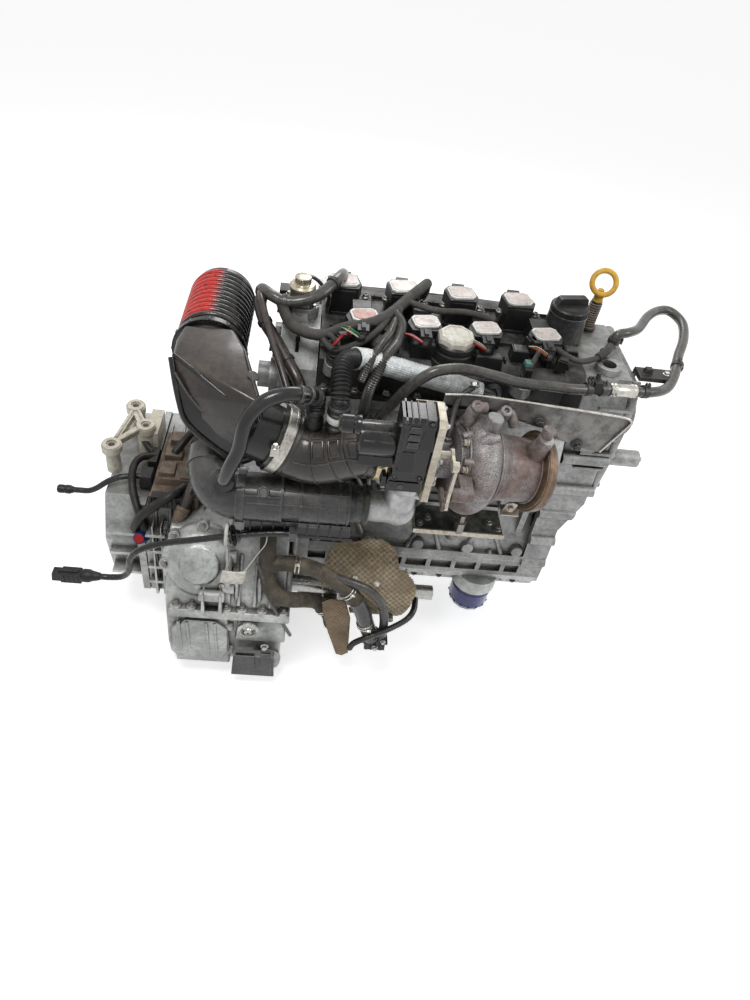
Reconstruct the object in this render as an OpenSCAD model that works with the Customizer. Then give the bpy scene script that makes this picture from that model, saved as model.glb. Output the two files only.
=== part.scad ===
// Turbocharged four-cylinder petrol engine with its transverse gearbox.
// It stands with its origin on the foot of the oil pan.
// +X runs along the crankshaft to the timing end, -Y is the exhaust side, +Z is up.
// The modules draw from the crankshaft's axis at the gearbox joint, and standing() moves them.

/* [Cylinder block] */
// Cylinder bore
bore_d = 82; // [70:1:86]
// Distance from one cylinder to the next
bore_pitch = 94; // [92:1:112]
// From each end face of the block to the nearest cylinder's centre
end_wall = 66; // [60:1:80]
// Crankshaft axis to the top face of the block
deck_h = 215; // [212:1:260]
// Width of the block round the cylinders
bank_w = 160; // [130:1:170]
// Width of the crankcase
crankcase_w = 230; // [216:1:290]
// Depth of the bedplate below the crankshaft axis
bedplate_h = 42; // [36:1:60]

/* [Crank train] */
// Piston stroke
stroke = 92; // [80:1:96]
// Connecting rod length between centres
rod_len = 138; // [134:1:142]
// Pin to crown height of the piston
crown_h = 30; // [25:1:30]
// Main journal diameter
main_d = 54; // [48:1:58]
// Crank pin diameter
pin_d = 48; // [42:1:50]
// Gap round the crank pins, where the bearing shells sit
shell_gap = 2; // [2:0.1:3]
// Running clearance of shafts, in radius
run_gap = 0.1; // [0.05:0.01:0.15]

/* [Cylinder head] */
// Width of the cylinder head
head_w = 224; // [210:1:260]
// Height of the cylinder head
head_h = 114; // [105:1:135]
// Height of the cam cover
cover_h = 68; // [57:1:82]
// Distance of each camshaft from the middle of the head
cam_offset = 48; // [40:1:52]

/* [Covers and sump] */
// Depth of the timing cover along the crankshaft
timing_d = 90; // [75:1:108]
// Depth of the timing cover round the crankshaft
timing_low_d = 45; // [38:1:54]
// Depth of the deep end of the oil pan, below the bedplate
pan_deep = 163; // [136:1:195]
// Depth of the shallow end of the oil pan
pan_shallow = 42; // [38:1:50]
// Wall of the castings
cast_wall = 6; // [5:0.5:8]

/* [Turbocharger] */
// Slope of the turbocharger's axis, outlet down
turbo_tilt = 9; // [8:1:11]
// Turn of the turbocharger's axis, outlet towards the head
turbo_yaw = 7; // [5:1:8]
// Turbine wheel diameter
turbine_d = 58; // [48:1:64]
// Compressor wheel diameter
compressor_d = 60; // [50:1:66]
// Outlet bore of the turbine housing
outlet_d = 76; // [64:1:84]

/* [Gearbox] */
// Length of the clutch housing
clutch_l = 110; // [92:1:132]
// Length of the gear case
case_l = 150; // [125:1:180]
// Radius of the clutch housing
bell_r = 168; // [160:1:185]

/* [Hidden] */
$fn = 48;

cylinders = 4;
throw = stroke / 2;
block_l = 2 * end_wall + (cylinders - 1) * bore_pitch;
bay_half = bore_pitch / 2 - 12;
web_r = throw + 26;
bay_r = web_r + 16;
main_r = main_d / 2;
pin_r = pin_d / 2;
half_case = crankcase_w / 2;
half_bank = bank_w / 2;
half_head = head_w / 2;
flange_y = half_case + 8;
head_z = deck_h;
cover_z = head_z + head_h;
cover_top = cover_z + cover_h;
cam_z = cover_z - 18;
half_cover = half_head - 7;
pan_flange = 10;
pan_z = -bedplate_h - pan_flange;
floor_z = -bedplate_h - pan_deep;
deep_x1 = 2.15 * bore_pitch;
foot_x = end_wall + 40;
wrist_z = sqrt(rod_len * rod_len - throw * throw);
rod_tilt = asin(throw / rod_len);
plug_well_r = 13;
coil_stem_r = 10;

// Turbocharger: its axis runs along X, tilted and turned, on the exhaust side.
turbine_r = turbine_d / 2;
compressor_r = compressor_d / 2;
turbo_x = end_wall + 2 * bore_pitch - 22;
turbo_y = -half_head - 100;
turbo_z = deck_h + 93;
turbo_axis = [cos(turbo_tilt) * cos(turbo_yaw), cos(turbo_tilt) * sin(turbo_yaw), -sin(turbo_tilt)];
function turbo_point(x) = [turbo_x, turbo_y, turbo_z] + x * turbo_axis;
outlet_r = outlet_d / 2;
shaft_r = 6;
volute_r = 76;
back_face = -28;
bearing_face = -74;
inlet_face = -150;
inlet_r = 34;

// Gearbox.
case_x1 = -clutch_l;
case_x0 = -clutch_l - case_l;
cover_x0 = case_x0 - 70;
diff_y = -185;
diff_z = -32;
stub_r = 14;
stub_end_r = 13;

// Throttle.
plenum_y = half_head + 118;
plenum_z = deck_h + 62;
throttle_r = 28;
throttle_x0 = -30;
throttle_x1 = 24;

function cyl_x(i) = end_wall + i * bore_pitch;
function main_x(i) = end_wall - bore_pitch / 2 + i * bore_pitch;
function unit(v) = v / norm(v);

// Smooth path through chosen points, n steps between each two.
function bend(a, b, c, d, t) =
    0.5 * (2 * b + (c - a) * t + (2 * a - 5 * b + 4 * c - d) * t * t
           + (3 * b - a - 3 * c + d) * t * t * t);
function smooth(p, n) = [
    for (i = [0 : len(p) - 2], k = [0 : n - 1])
        bend(p[max(i - 1, 0)], p[i], p[i + 1], p[min(i + 2, len(p) - 1)], k / n),
    p[len(p) - 1]
];
function tangents(p) = [
    for (i = [0 : len(p) - 1])
        unit(p[min(i + 1, len(p) - 1)] - p[max(i - 1, 0)])
];
function square_to(n, t) = unit(n - (n * t) * t);
function normals(t) = [
    for (i = 0, n = square_to(abs(t[0][2]) < 0.8 ? [0, 0, 1] : [1, 0, 0], t[0]);
         i < len(t);
         i = i + 1, n = i < len(t) ? square_to(n, t[i]) : n) n
];
function rings(p, r, sides) =
    let (t = tangents(p), n = normals(t))
    [
        for (i = [0 : len(p) - 1], j = [0 : sides - 1])
            let (a = 360 * j / sides, q = is_list(r) ? r[i] : r)
            p[i] + q * (cos(a) * n[i] + sin(a) * cross(t[i], n[i]))
    ];

// A solid tube swept along p.
module cord(p, r, sides = 10) {
    last = len(p) - 1;
    polyhedron(
        points = rings(p, r, sides),
        faces = [
            [for (j = [0 : sides - 1]) j],
            [for (j = [0 : sides - 1]) last * sides + sides - 1 - j],
            for (i = [0 : last - 1], j = [0 : sides - 1])
                [i * sides + j, (i + 1) * sides + j, (i + 1) * sides + (j + 1) % sides],
            for (i = [0 : last - 1], j = [0 : sides - 1])
                [i * sides + j, (i + 1) * sides + (j + 1) % sides, i * sides + (j + 1) % sides]
        ]
    );
}

// A hollow hose swept along p.
module hose(p, r, wall, sides = 12) {
    last = len(p) - 1;
    count = len(p) * sides;
    inner = is_list(r) ? [for (q = r) q - wall] : r - wall;
    polyhedron(
        points = concat(rings(p, r, sides), rings(p, inner, sides)),
        faces = [
            for (i = [0 : last - 1], j = [0 : sides - 1])
                [i * sides + j, (i + 1) * sides + j, (i + 1) * sides + (j + 1) % sides],
            for (i = [0 : last - 1], j = [0 : sides - 1])
                [i * sides + j, (i + 1) * sides + (j + 1) % sides, i * sides + (j + 1) % sides],
            for (i = [0 : last - 1], j = [0 : sides - 1])
                [count + (i + 1) * sides + (j + 1) % sides, count + (i + 1) * sides + j,
                 count + i * sides + j],
            for (i = [0 : last - 1], j = [0 : sides - 1])
                [count + i * sides + (j + 1) % sides, count + (i + 1) * sides + (j + 1) % sides,
                 count + i * sides + j],
            for (j = [0 : sides - 1])
                [j, (j + 1) % sides, count + (j + 1) % sides],
            for (j = [0 : sides - 1])
                [j, count + (j + 1) % sides, count + j],
            for (j = [0 : sides - 1])
                [last * sides + j, count + last * sides + (j + 1) % sides,
                 last * sides + (j + 1) % sides],
            for (j = [0 : sides - 1])
                [last * sides + j, count + last * sides + j,
                 count + last * sides + (j + 1) % sides]
        ]
    );
}

// Moves a part from the crankshaft's axis to the surface that the oil pan's foot stands on.
module standing() {
    translate([-foot_x, 0, -floor_z]) children();
}
module box(x0, x1, y0, y1, z0, z1) {
    translate([x0, y0, z0]) cube([x1 - x0, y1 - y0, z1 - z0]);
}
module xcyl(x0, x1, y, z, r) {
    translate([x0, y, z]) rotate([0, 90, 0]) cylinder(h = x1 - x0, r = r);
}
module ycyl(y0, y1, x, z, r) {
    translate([x, y0, z]) rotate([-90, 0, 0]) cylinder(h = y1 - y0, r = r);
}
module zcyl(z0, z1, x, y, r) {
    translate([x, y, z0]) cylinder(h = z1 - z0, r = r);
}
// Extrudes an outline drawn in Y and Z along X.
module along_x(x0, x1) {
    translate([x0, 0, 0]) rotate([90, 0, 90]) linear_extrude(height = x1 - x0) children();
}
// Spins an outline drawn in radius and length about the X axis.
module about_x() {
    rotate([0, 90, 0]) rotate_extrude() children();
}
module in_turbo_frame() {
    translate([turbo_x, turbo_y, turbo_z]) rotate([0, turbo_tilt, turbo_yaw]) children();
}

// ---- Cylinder block, bedplate and sump ----

module crank_bays(z0, z1) {
    intersection() {
        for (i = [0 : cylinders - 1])
            xcyl(cyl_x(i) - bay_half, cyl_x(i) + bay_half, 0, 0, bay_r);
        box(-1, block_l + 1, -bay_r - 1, bay_r + 1, z0, z1);
    }
}
module crank_tunnel() {
    xcyl(-1, block_l + 1, 0, 0, main_r + run_gap);
    xcyl(-1, main_x(0) - 13, 0, 0, main_r + 15);
}
module cylinder_block() color("silver") standing() {
    difference() {
        union() {
            box(0, block_l, -half_bank, half_bank, 60, deck_h);
            along_x(0, block_l)
                polygon([[-half_case, 0], [half_case, 0], [half_case, 30], [half_bank + 4, 118],
                         [-half_bank - 4, 118], [-half_case, 30]]);
            box(0, block_l, -flange_y, flange_y, 0, 14);
            box(0, block_l, -half_bank - 12, half_bank + 12, deck_h - 14, deck_h);
            intersection() {
                xcyl(0, 16, 0, 0, bell_r);
                box(0, 16, -bell_r, bell_r, 0, deck_h - 14);
            }
            for (i = [0 : cylinders])
                box(max(main_x(i) - 5, 0), min(main_x(i) + 5, block_l), -half_bank - 26,
                    -half_bank, 60, deck_h - 14);
            for (z = [100, 150])
                box(0, block_l, -half_bank - 14, -half_bank, z, z + 7);
            for (i = [0 : cylinders - 1])
                ycyl(-half_bank - 22, -half_bank, cyl_x(i) + 14, 128, 11);
            box(0, block_l, half_bank, half_bank + 14, 100, 107);
            for (i = [1 : cylinders - 1])
                box(main_x(i) - 4, main_x(i) + 4, half_bank, half_bank + 22, 60, deck_h - 14);
        }
        for (i = [0 : cylinders - 1])
            zcyl(70, deck_h + 1, cyl_x(i), 0, bore_d / 2);
        crank_bays(-1, bay_r);
        crank_tunnel();
        for (i = [0 : cylinders - 1])
            ycyl(-half_bank - 23, -half_bank - 6, cyl_x(i) + 14, 128, 4.2);
    }
}
module bedplate() color("gainsboro") standing() {
    difference() {
        union() {
            box(0, block_l, -half_case, half_case, -bedplate_h, 0);
            box(0, block_l, -flange_y, flange_y, -12, 0);
            box(0, block_l, -flange_y, flange_y, -bedplate_h, -bedplate_h + 10);
            for (i = [0 : 2 * cylinders])
                box(min(i * bore_pitch / 2 + 4, block_l - 8), min(i * bore_pitch / 2 + 12, block_l),
                    -flange_y, flange_y, -bedplate_h, 0);
            intersection() {
                xcyl(0, 16, 0, 0, bell_r);
                box(0, 16, -bell_r, bell_r, -bedplate_h, 0);
            }
            // Bearing of the intermediate drive shaft
            box(stay_x0, stay_x1, diff_y, -half_case, -bedplate_h, -12);
            xcyl(stay_x0, stay_x1, diff_y, diff_z, 32);
            ycyl(lower_shield_y - 74, diff_y - 28, (stay_x0 + stay_x1) / 2, diff_z, 5);
        }
        crank_bays(-bedplate_h - 1, 1);
        crank_tunnel();
        xcyl(stay_x0 - 1, stay_x1 + 1, diff_y, diff_z, stub_r + run_gap);
    }
}
shallow_z = -bedplate_h - pan_shallow;
pan_x1 = block_l + timing_low_d;
filter_x = block_l - 68;
filter_y = -half_case + 15;
module oil_pan() color("lightgray") standing() {
    difference() {
        union() {
            box(0, pan_x1, -flange_y, flange_y, pan_z, -bedplate_h);
            along_x(deep_x1 - 20, pan_x1)
                polygon([[-half_case, pan_z], [half_case, pan_z], [half_case - 12, shallow_z],
                         [12 - half_case, shallow_z]]);
            along_x(10, deep_x1)
                polygon([[-half_case + 6, pan_z], [half_case - 6, pan_z],
                         [half_case - 20, floor_z], [20 - half_case, floor_z]]);
            for (i = [0 : 2])
                box(30 + i * 62, 38 + i * 62, -half_case, half_case, floor_z + 40, pan_z);
            ycyl(-half_case - 4, 0, 60, floor_z + 24, 13);
            ycyl(pan_port[1], 0, pan_port[0], pan_port[2], 16);
            zcyl(shallow_z, pan_z, filter_x, filter_y, 42);
            for (x = [18 : (block_l - 36) / 5 : block_l])
                zcyl(pan_z - 8, pan_z, x, -flange_y + 8, 8);
        }
        along_x(deep_x1 - 30, pan_x1 - cast_wall)
            polygon([[-half_case + 20, -bedplate_h + 1], [half_case - 20, -bedplate_h + 1],
                     [half_case - 24, shallow_z + cast_wall], [24 - half_case, shallow_z + cast_wall]]);
        along_x(10 + cast_wall, deep_x1 - cast_wall)
            polygon([[-half_case + 20, -bedplate_h + 1], [half_case - 20, -bedplate_h + 1],
                     [half_case - 28, floor_z + cast_wall], [28 - half_case, floor_z + cast_wall]]);
    }
}
module oil_filter() color("mediumblue") standing() {
    translate([filter_x, filter_y, shallow_z]) rotate([180, 0, 0]) rotate_extrude()
        polygon([[0, 0], [26, 0], [36, 4], [38, 10], [38, 46], [34, 56], [26, 62], [0, 63]]);
}

// ---- Cylinder head and its covers ----

port_z = head_z + 50;
module cylinder_head() color("silver") standing() {
    well_z = head_z + 24;
    gallery_z = head_z + head_h - 42;
    difference() {
        union() {
            box(0, block_l, -half_head + 12, half_head - 12, head_z, cover_z);
            box(0, block_l, -half_head, half_head, cover_z - 14, cover_z);
            box(0, block_l, -half_head + 4, half_head - 4, head_z, head_z + 12);
            for (i = [0 : cylinders])
                box(max(main_x(i) - 6, 0), min(main_x(i) + 6, block_l), -half_head + 2,
                    half_head - 2, head_z, cover_z - 14);
            box(turbo_x - 56, turbo_x + 56, -half_head, 0, port_z - 38, port_z + 46);
            box(end_wall - 40, block_l - end_wall + 40, 0, half_head, port_z - 26, port_z + 26);
        }
        for (i = [0 : cylinders - 1]) {
            zcyl(head_z - 1, head_z + 8, cyl_x(i), 0, bore_d / 2 - 5);
            ycyl(30, half_head + 1, cyl_x(i), port_z, 17);
            zcyl(head_z, well_z, cyl_x(i), 0, 6);
            zcyl(well_z, cover_z + 1, cyl_x(i), 0, plug_well_r);
            difference() {
                box(cyl_x(i) - bore_pitch / 2 + 11, cyl_x(i) + bore_pitch / 2 - 11,
                    -half_head + 22, half_head - 22, gallery_z, cover_z + 1);
                zcyl(gallery_z - 1, cover_z + 1, cyl_x(i), 0, plug_well_r + 5);
            }
        }
        for (y = [-cam_offset, cam_offset])
            xcyl(-1, block_l + 1, y, cam_z, 14 + run_gap);
        ycyl(-half_head - 1, -40, turbo_x, port_z, 24);
    }
}
cap_x = block_l - 20;
cap_y = 24;
cap_base = cover_top + 46;
breather_x = cyl_x(1) + 41;
breather_y = -76;
module cam_cover() color([0.12, 0.12, 0.13]) standing() {
    difference() {
        union() {
            box(0, block_l, -half_cover - 6, half_cover + 6, cover_z, cover_z + 10);
            along_x(2, block_l - 2)
                polygon([[-half_cover, cover_z], [half_cover, cover_z],
                         [half_cover - 10, cover_top - 12], [half_cover - 26, cover_top],
                         [26 - half_cover, cover_top], [10 - half_cover, cover_top - 12]]);
            for (i = [0 : cylinders - 1])
                box(cyl_x(i) - 30, cyl_x(i) + 30, -half_cover, half_cover, cover_z, cover_top - 16);
            zcyl(cover_z + 60, cover_top + 2, cap_x, cap_y, 19);
            translate([cap_x, cap_y, cover_top + 2]) cylinder(h = 44, r1 = 33, r2 = 29);
            zcyl(cover_z, cover_top + 2, breather_x, breather_y, 33);
            box(breather_x - 44, breather_x + 56, breather_y - 6, breather_y + 34,
                cover_z + 10, cover_top + 12);
        }
        difference() {
            along_x(2 + cast_wall, block_l - 2 - cast_wall)
                polygon([[-half_cover + 6, cover_z - 1], [half_cover - 6, cover_z - 1],
                         [half_cover - 16, cover_top - 16], [half_cover - 30, cover_top - 6],
                         [30 - half_cover, cover_top - 6], [16 - half_cover, cover_top - 16]]);
            for (i = [0 : cylinders - 1])
                zcyl(cover_z - 1, cover_top, cyl_x(i), 0, coil_stem_r + 7);
        }
        for (i = [0 : cylinders - 1])
            zcyl(cover_z - 1, cover_top + 1, cyl_x(i), 0, coil_stem_r + 1);
        zcyl(cover_top + 2, cover_top + 13, breather_x, breather_y, 30.5);
        zcyl(cover_top - 10, cover_top + 4, cap_x, cap_y, 15);
        zcyl(cover_top + 3, cap_base + 1, cap_x, cap_y, 22);
    }
}
module oil_filler_cap() color([0.08, 0.08, 0.09]) standing() {
    zcyl(cap_base - 14, cap_base, cap_x, cap_y, 22 - 0.4);
    zcyl(cap_base, cap_base + 10, cap_x, cap_y, 31);
    zcyl(cap_base + 10, cap_base + 14, cap_x, cap_y, 27);
    translate([cap_x, cap_y, cap_base + 10]) rotate([0, 0, 12])
        translate([-28, -7, 0]) cube([56, 14, 15]);
}
module breather_valve() color([0.78, 0.76, 0.7]) standing() {
    zcyl(cover_top + 2, cover_top + 30, breather_x, breather_y, 30);
    translate([breather_x, breather_y, cover_top + 30]) cylinder(h = 13, r = 28, $fn = 8);
}
timing_x1 = block_l + timing_d;
timing_low_x1 = block_l + timing_low_d;
module timing_side(inset) {
    top = cover_top - 4 - inset;
    rotate([90, 0, 0]) linear_extrude(height = 2 * bell_r, center = true)
        polygon([[block_l - inset, -bedplate_h - inset], [timing_low_x1 - inset, -bedplate_h - inset],
                 [timing_low_x1 - inset, 84], [timing_x1 - inset, deck_h - 30 + inset],
                 [timing_x1 - inset, top], [block_l - inset, top]]);
}
module timing_cover() color("silver") standing() {
    top = cover_top - 4;
    difference() {
        union() {
            intersection() {
                timing_side(0);
                union() {
                    along_x(block_l, timing_x1 - 16)
                        polygon([[-flange_y, -bedplate_h], [flange_y, -bedplate_h], [flange_y, 20],
                                 [half_head - 8, deck_h], [half_head - 8, cover_z],
                                 [half_head - 30, top], [30 - half_head, top],
                                 [8 - half_head, cover_z], [8 - half_head, deck_h], [-flange_y, 20]]);
                    along_x(timing_x1 - 16, timing_x1)
                        polygon([[-flange_y + 16, 0], [flange_y - 16, 0],
                                 [half_head - 20, deck_h], [half_head - 36, top - 10],
                                 [36 - half_head, top - 10], [20 - half_head, deck_h]]);
                    for (z = [0, 60, 120, 180, 250])
                        for (y = [-half_head + 2, half_head - 2])
                            xcyl(block_l, timing_x1 - 12, y * (z < 100 ? 1.08 : 1), z, 10);
                }
            }
            for (y = [-cam_offset, cam_offset])
                xcyl(timing_x1 - 40, timing_x1 + 12, y, cam_z, 40);
            xcyl(block_l, timing_low_x1 + 4, 0, 0, min(44, bedplate_h - 1));
            box(timing_x1 - 60, timing_x1 + 12, -34, 60, deck_h - 22, deck_h + 36);
            xcyl(timing_x1, timing_x1 + 72, -50, deck_h - 3, 15);
            zcyl(top - 30, top + 12, block_l + 38, -60, 20);
        }
        intersection() {
            timing_side(cast_wall);
            along_x(block_l - 1, timing_x1 - cast_wall)
                polygon([[-flange_y + 16, -bedplate_h - 1], [flange_y - 16, -bedplate_h - 1],
                         [half_head - 14, deck_h], [half_head - 14, cover_z],
                         [half_head - 42, top - 12], [42 - half_head, top - 12],
                         [14 - half_head, cover_z], [14 - half_head, deck_h]]);
        }
        xcyl(block_l, timing_low_x1 + 5, 0, 0, 24);
        zcyl(top - 31, top + 13, block_l + 38, -60, 12);
        zcyl(top - 31, top + 1, dip_x, dip_y, 6.2);
    }
}
dip_x = timing_low_x1 - 9;
dip_y = half_head / 2 + 7;
dip_top = cover_top + 50;
module dipstick_tube() color([0.55, 0.55, 0.53]) standing() {
    difference() {
        union() {
            zcyl(cover_top - 14, dip_top, dip_x, dip_y, 6);
            zcyl(cover_top - 4, cover_top + 4, dip_x, dip_y, 12);
            zcyl(dip_top - 16, dip_top, dip_x, dip_y, 9);
        }
        zcyl(cover_top - 15, dip_top + 1, dip_x, dip_y, 4);
    }
}
module dipstick() color([0.95, 0.72, 0.12]) standing() {
    zcyl(pan_z - 18, dip_top + 10, dip_x, dip_y, 1.5);
    zcyl(dip_top, dip_top + 12, dip_x, dip_y, 8);
    translate([dip_x, dip_y, dip_top + 32]) rotate([60, 0, -10]) rotate_extrude()
        translate([19, 0]) circle(r = 4.5);
    zcyl(dip_top + 6, dip_top + 20, dip_x, dip_y, 5);
}
end_x0 = -72;
module cam_end_housing() color("silver") standing() {
    difference() {
        union() {
            along_x(end_x0 + 14, 0)
                polygon([[-92, port_z - 20], [92, port_z - 20], [98, cover_z], [70, cover_z + 26],
                         [30, cover_top + 6], [-40, cover_top + 6], [-84, cover_z + 26], [-98, cover_z]]);
            xcyl(end_x0, 0, cam_offset, cam_z, 36);
            xcyl(end_x0, 0, -cam_offset, cam_z, 30);
            zcyl(cover_top + 6, cover_top + 20, end_x0 + 40, 0, 28);
            xcyl(end_x0 - 22, 0, 10, port_z + 8, 22);
        }
        for (y = [-cam_offset, cam_offset])
            xcyl(-30, 1, y, cam_z, 20);
        xcyl(end_x0 - 23, -20, 10, port_z + 8, 17);
    }
}
module fuel_pump() color([0.72, 0.66, 0.5]) standing() {
    base = cover_top + 20;
    zcyl(base, base + 6, end_x0 + 40, 0, 28);
    zcyl(base + 6, base + 34, end_x0 + 40, 0, 20);
    zcyl(base + 34, base + 48, end_x0 + 40, 0, 13);
    ycyl(0, 40, end_x0 + 40, base + 20, 7);
}
module ignition_coils() color([0.1, 0.1, 0.11]) standing() {
    for (i = [0 : cylinders - 1]) {
        zcyl(head_z + 62, cover_top, cyl_x(i), 0, coil_stem_r);
        zcyl(cover_top, cover_top + 8, cyl_x(i), 0, 13);
        box(cyl_x(i) - 22, cyl_x(i) + 12, -24, 12, cover_top + 8, cover_top + 40);
        translate([cyl_x(i) - 4, -44, cover_top + 18]) rotate([0, 0, 15])
            cylinder(h = 30, r = 24, $fn = 6);
        box(cyl_x(i) - 12, cyl_x(i) + 4, -82, -62, cover_top + 20, cover_top + 38);
    }
}
module lift_actuators() color([0.1, 0.1, 0.11]) standing() {
    for (i = [0 : cylinders - 1]) {
        box(cyl_x(i) - 54, cyl_x(i) - 12, 18, 74, cover_top, cover_top + 48);
        box(cyl_x(i) - 44, cyl_x(i) - 20, 74, 90, cover_top + 12, cover_top + 38);
    }
}
module spark_plugs() color("gainsboro") standing() {
    for (i = [0 : cylinders - 1]) {
        zcyl(head_z + 6, head_z + 24, cyl_x(i), 0, 5.9);
        translate([cyl_x(i), 0, head_z + 24]) cylinder(h = 14, r = 9, $fn = 6);
        zcyl(head_z + 38, head_z + 61, cyl_x(i), 0, 4.6);
    }
}

// ---- Intake side ----

module intake_manifold() color([0.13, 0.13, 0.14]) standing() {
    difference() {
        union() {
            xcyl(throttle_x1, block_l - 30, plenum_y, plenum_z, 52);
            for (i = [0 : cylinders - 1]) {
                ycyl(half_head, plenum_y, cyl_x(i), port_z, 23);
                box(cyl_x(i) - 31, cyl_x(i) + 31, half_head, half_head + 10, port_z - 26, port_z + 26);
            }
        }
        xcyl(throttle_x1 + 6, block_l - 36, plenum_y, plenum_z, 46);
        xcyl(throttle_x1 - 1, throttle_x1 + 10, plenum_y, plenum_z, throttle_r);
        for (i = [0 : cylinders - 1])
            ycyl(half_head - 1, plenum_y, cyl_x(i), port_z, 17);
    }
}
module throttle_body() color("silver") standing() {
    difference() {
        union() {
            xcyl(throttle_x0 + 20, throttle_x1, plenum_y, plenum_z, 38);
            xcyl(throttle_x0, throttle_x1, plenum_y, plenum_z, 33);
            box(throttle_x1 - 10, throttle_x1, plenum_y - 38, plenum_y + 38, plenum_z - 38,
                plenum_z + 38);
            box(throttle_x0 + 26, throttle_x1 - 10, plenum_y - 20, plenum_y + 28, plenum_z + 30,
                plenum_z + 62);
        }
        xcyl(throttle_x0 - 1, throttle_x1 + 1, plenum_y, plenum_z, throttle_r);
        zcyl(plenum_z - 35, plenum_z + 48, 0, plenum_y, 4 + run_gap);
    }
}
module throttle_plate() color([0.75, 0.68, 0.45]) standing() {
    zcyl(plenum_z - 34, plenum_z + 46, 0, plenum_y, 4);
    xcyl(-1.2, 1.2, plenum_y, plenum_z, throttle_r - 0.3);
}
module fuel_rail() color("darkgray") standing() {
    z = port_z + 52;
    xcyl(30, block_l - 40, half_head + 18, z, 8);
    for (i = [0 : cylinders - 1])
        ycyl(half_head, half_head + 12, cyl_x(i) + 20, z - 2, 6);
    for (i = [0 : cylinders - 1])
        box(cyl_x(i) + 10, cyl_x(i) + 30, half_head, half_head + 26, z + 6, z + 11);
}

// ---- Turbocharger ----

crank_l = 22;
link_t = 4;
link_gap = 0.5;
act_pivot = [turbo_y - 88, turbo_z + 87];
gate_pivot = [turbo_y - 88, turbo_z + 17];
link_x = turbo_x - 52;
flange_x0 = 98;
flange_x1 = 112;
v_band_r = outlet_r + 22;
module turbine_housing() color([0.42, 0.33, 0.29]) standing() {
    difference() {
        union() {
            in_turbo_frame() {
                about_x() translate([volute_r - 24, 0]) circle(r = 24);
                xcyl(back_face, 30, 0, 0, volute_r - 22);
                about_x() polygon([[0, 24], [volute_r - 16, 24], [outlet_r + 12, 44],
                                   [outlet_r + 10, 92], [outlet_r + 10, 100], [0, 100]]);
                xcyl(flange_x0, flange_x1, 0, 0, v_band_r);
                zcyl(60, 86, 2, 0, 9);
                zcyl(40, 92, 84, -14, 9);
            }
            ycyl(turbo_y, -half_head, turbo_x, port_z, 34);
            box(turbo_x - 52, turbo_x + 52, -half_head - 14, -half_head, port_z - 34, port_z + 42);
            xcyl(link_x + 12, turbo_x - 10, gate_pivot[0], gate_pivot[1], 10);
            box(turbo_x - 28, turbo_x - 10, gate_pivot[0], turbo_y - 50, gate_pivot[1] - 9,
                gate_pivot[1] + 9);
        }
        in_turbo_frame() {
            xcyl(back_face - 1, 26, 0, 0, turbine_r + 0.6);
            xcyl(24, flange_x1 + 1, 0, 0, outlet_r);
            about_x() translate([volute_r - 26, 0]) circle(r = 14);
            xcyl(back_face + 8, back_face + 16, 0, 0, volute_r - 32);
            xcyl(back_face - 12, back_face, 0, 0, turbo_flange_r + 6);
        }
        ycyl(turbo_y + 26, -half_head + 1, turbo_x, port_z, 24);
        xcyl(link_x + 11, turbo_x - 20, gate_pivot[0], gate_pivot[1], 5 + run_gap);
    }
}
mid_turbo = (bearing_face + back_face) / 2;
turbo_flange_r = 50;
module bearing_housing() color([0.5, 0.42, 0.37]) standing() {
    in_turbo_frame() difference() {
        union() {
            xcyl(bearing_face, back_face, 0, 0, 27);
            xcyl(back_face - 7, back_face, 0, 0, turbo_flange_r);
            xcyl(bearing_face, bearing_face + 9, 0, 0, turbo_flange_r);
            zcyl(0, 36, mid_turbo, 0, 10);
            zcyl(-42, 0, mid_turbo, 0, 12);
        }
        xcyl(bearing_face - 1, back_face + 1, 0, 0, shaft_r + run_gap);
    }
}

// The compressor's outlet turns down and towards the gearbox, into the charge pipe.
charge_y = turbo_y - 16;
charge_z = deck_h + 5;
charge_pipe_r = 24;
comp_x = turbo_point(bearing_face - 20)[0];
comp_z = turbo_point(bearing_face - 20)[2];
pad_z = comp_z + 64;
res_x1 = 92;
module compressor_housing() color("gainsboro") standing() {
    difference() {
        union() {
            in_turbo_frame() {
                translate([bearing_face - 20, 0, 0]) about_x() translate([42, 0]) circle(r = 20);
                xcyl(bearing_face - 36, bearing_face, 0, 0, 48);
                xcyl(inlet_face, bearing_face - 30, 0, 0, inlet_r);
            }
            zcyl(charge_z, turbo_z - 20, comp_x, charge_y, charge_pipe_r);
            translate([comp_x, charge_y, charge_z]) sphere(r = charge_pipe_r + 3);
            xcyl(res_x1 - 24, comp_x, charge_y, charge_z, charge_pipe_r);
            // Pad that carries the wastegate actuator
            box(comp_x - 22, comp_x + 8, turbo_y - 64, turbo_y - 20, comp_z + 30, pad_z);
        }
        in_turbo_frame() {
            xcyl(bearing_face - 26, bearing_face + 1, 0, 0, compressor_r + 0.6);
            xcyl(inlet_face - 1, bearing_face - 20, 0, 0, inlet_r - 5);
            translate([bearing_face - 20, 0, 0]) about_x() translate([46, 0]) circle(r = 13);
            xcyl(bearing_face - 9, bearing_face - 4, 0, 0, 42);
            xcyl(bearing_face, bearing_face + 14, 0, 0, turbo_flange_r + 6);
        }
        xcyl(res_x1 - 25, comp_x, charge_y, charge_z, charge_pipe_r - 5);
        zcyl(charge_z, turbo_z - 34, comp_x, charge_y, charge_pipe_r - 5);
    }
}
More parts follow.
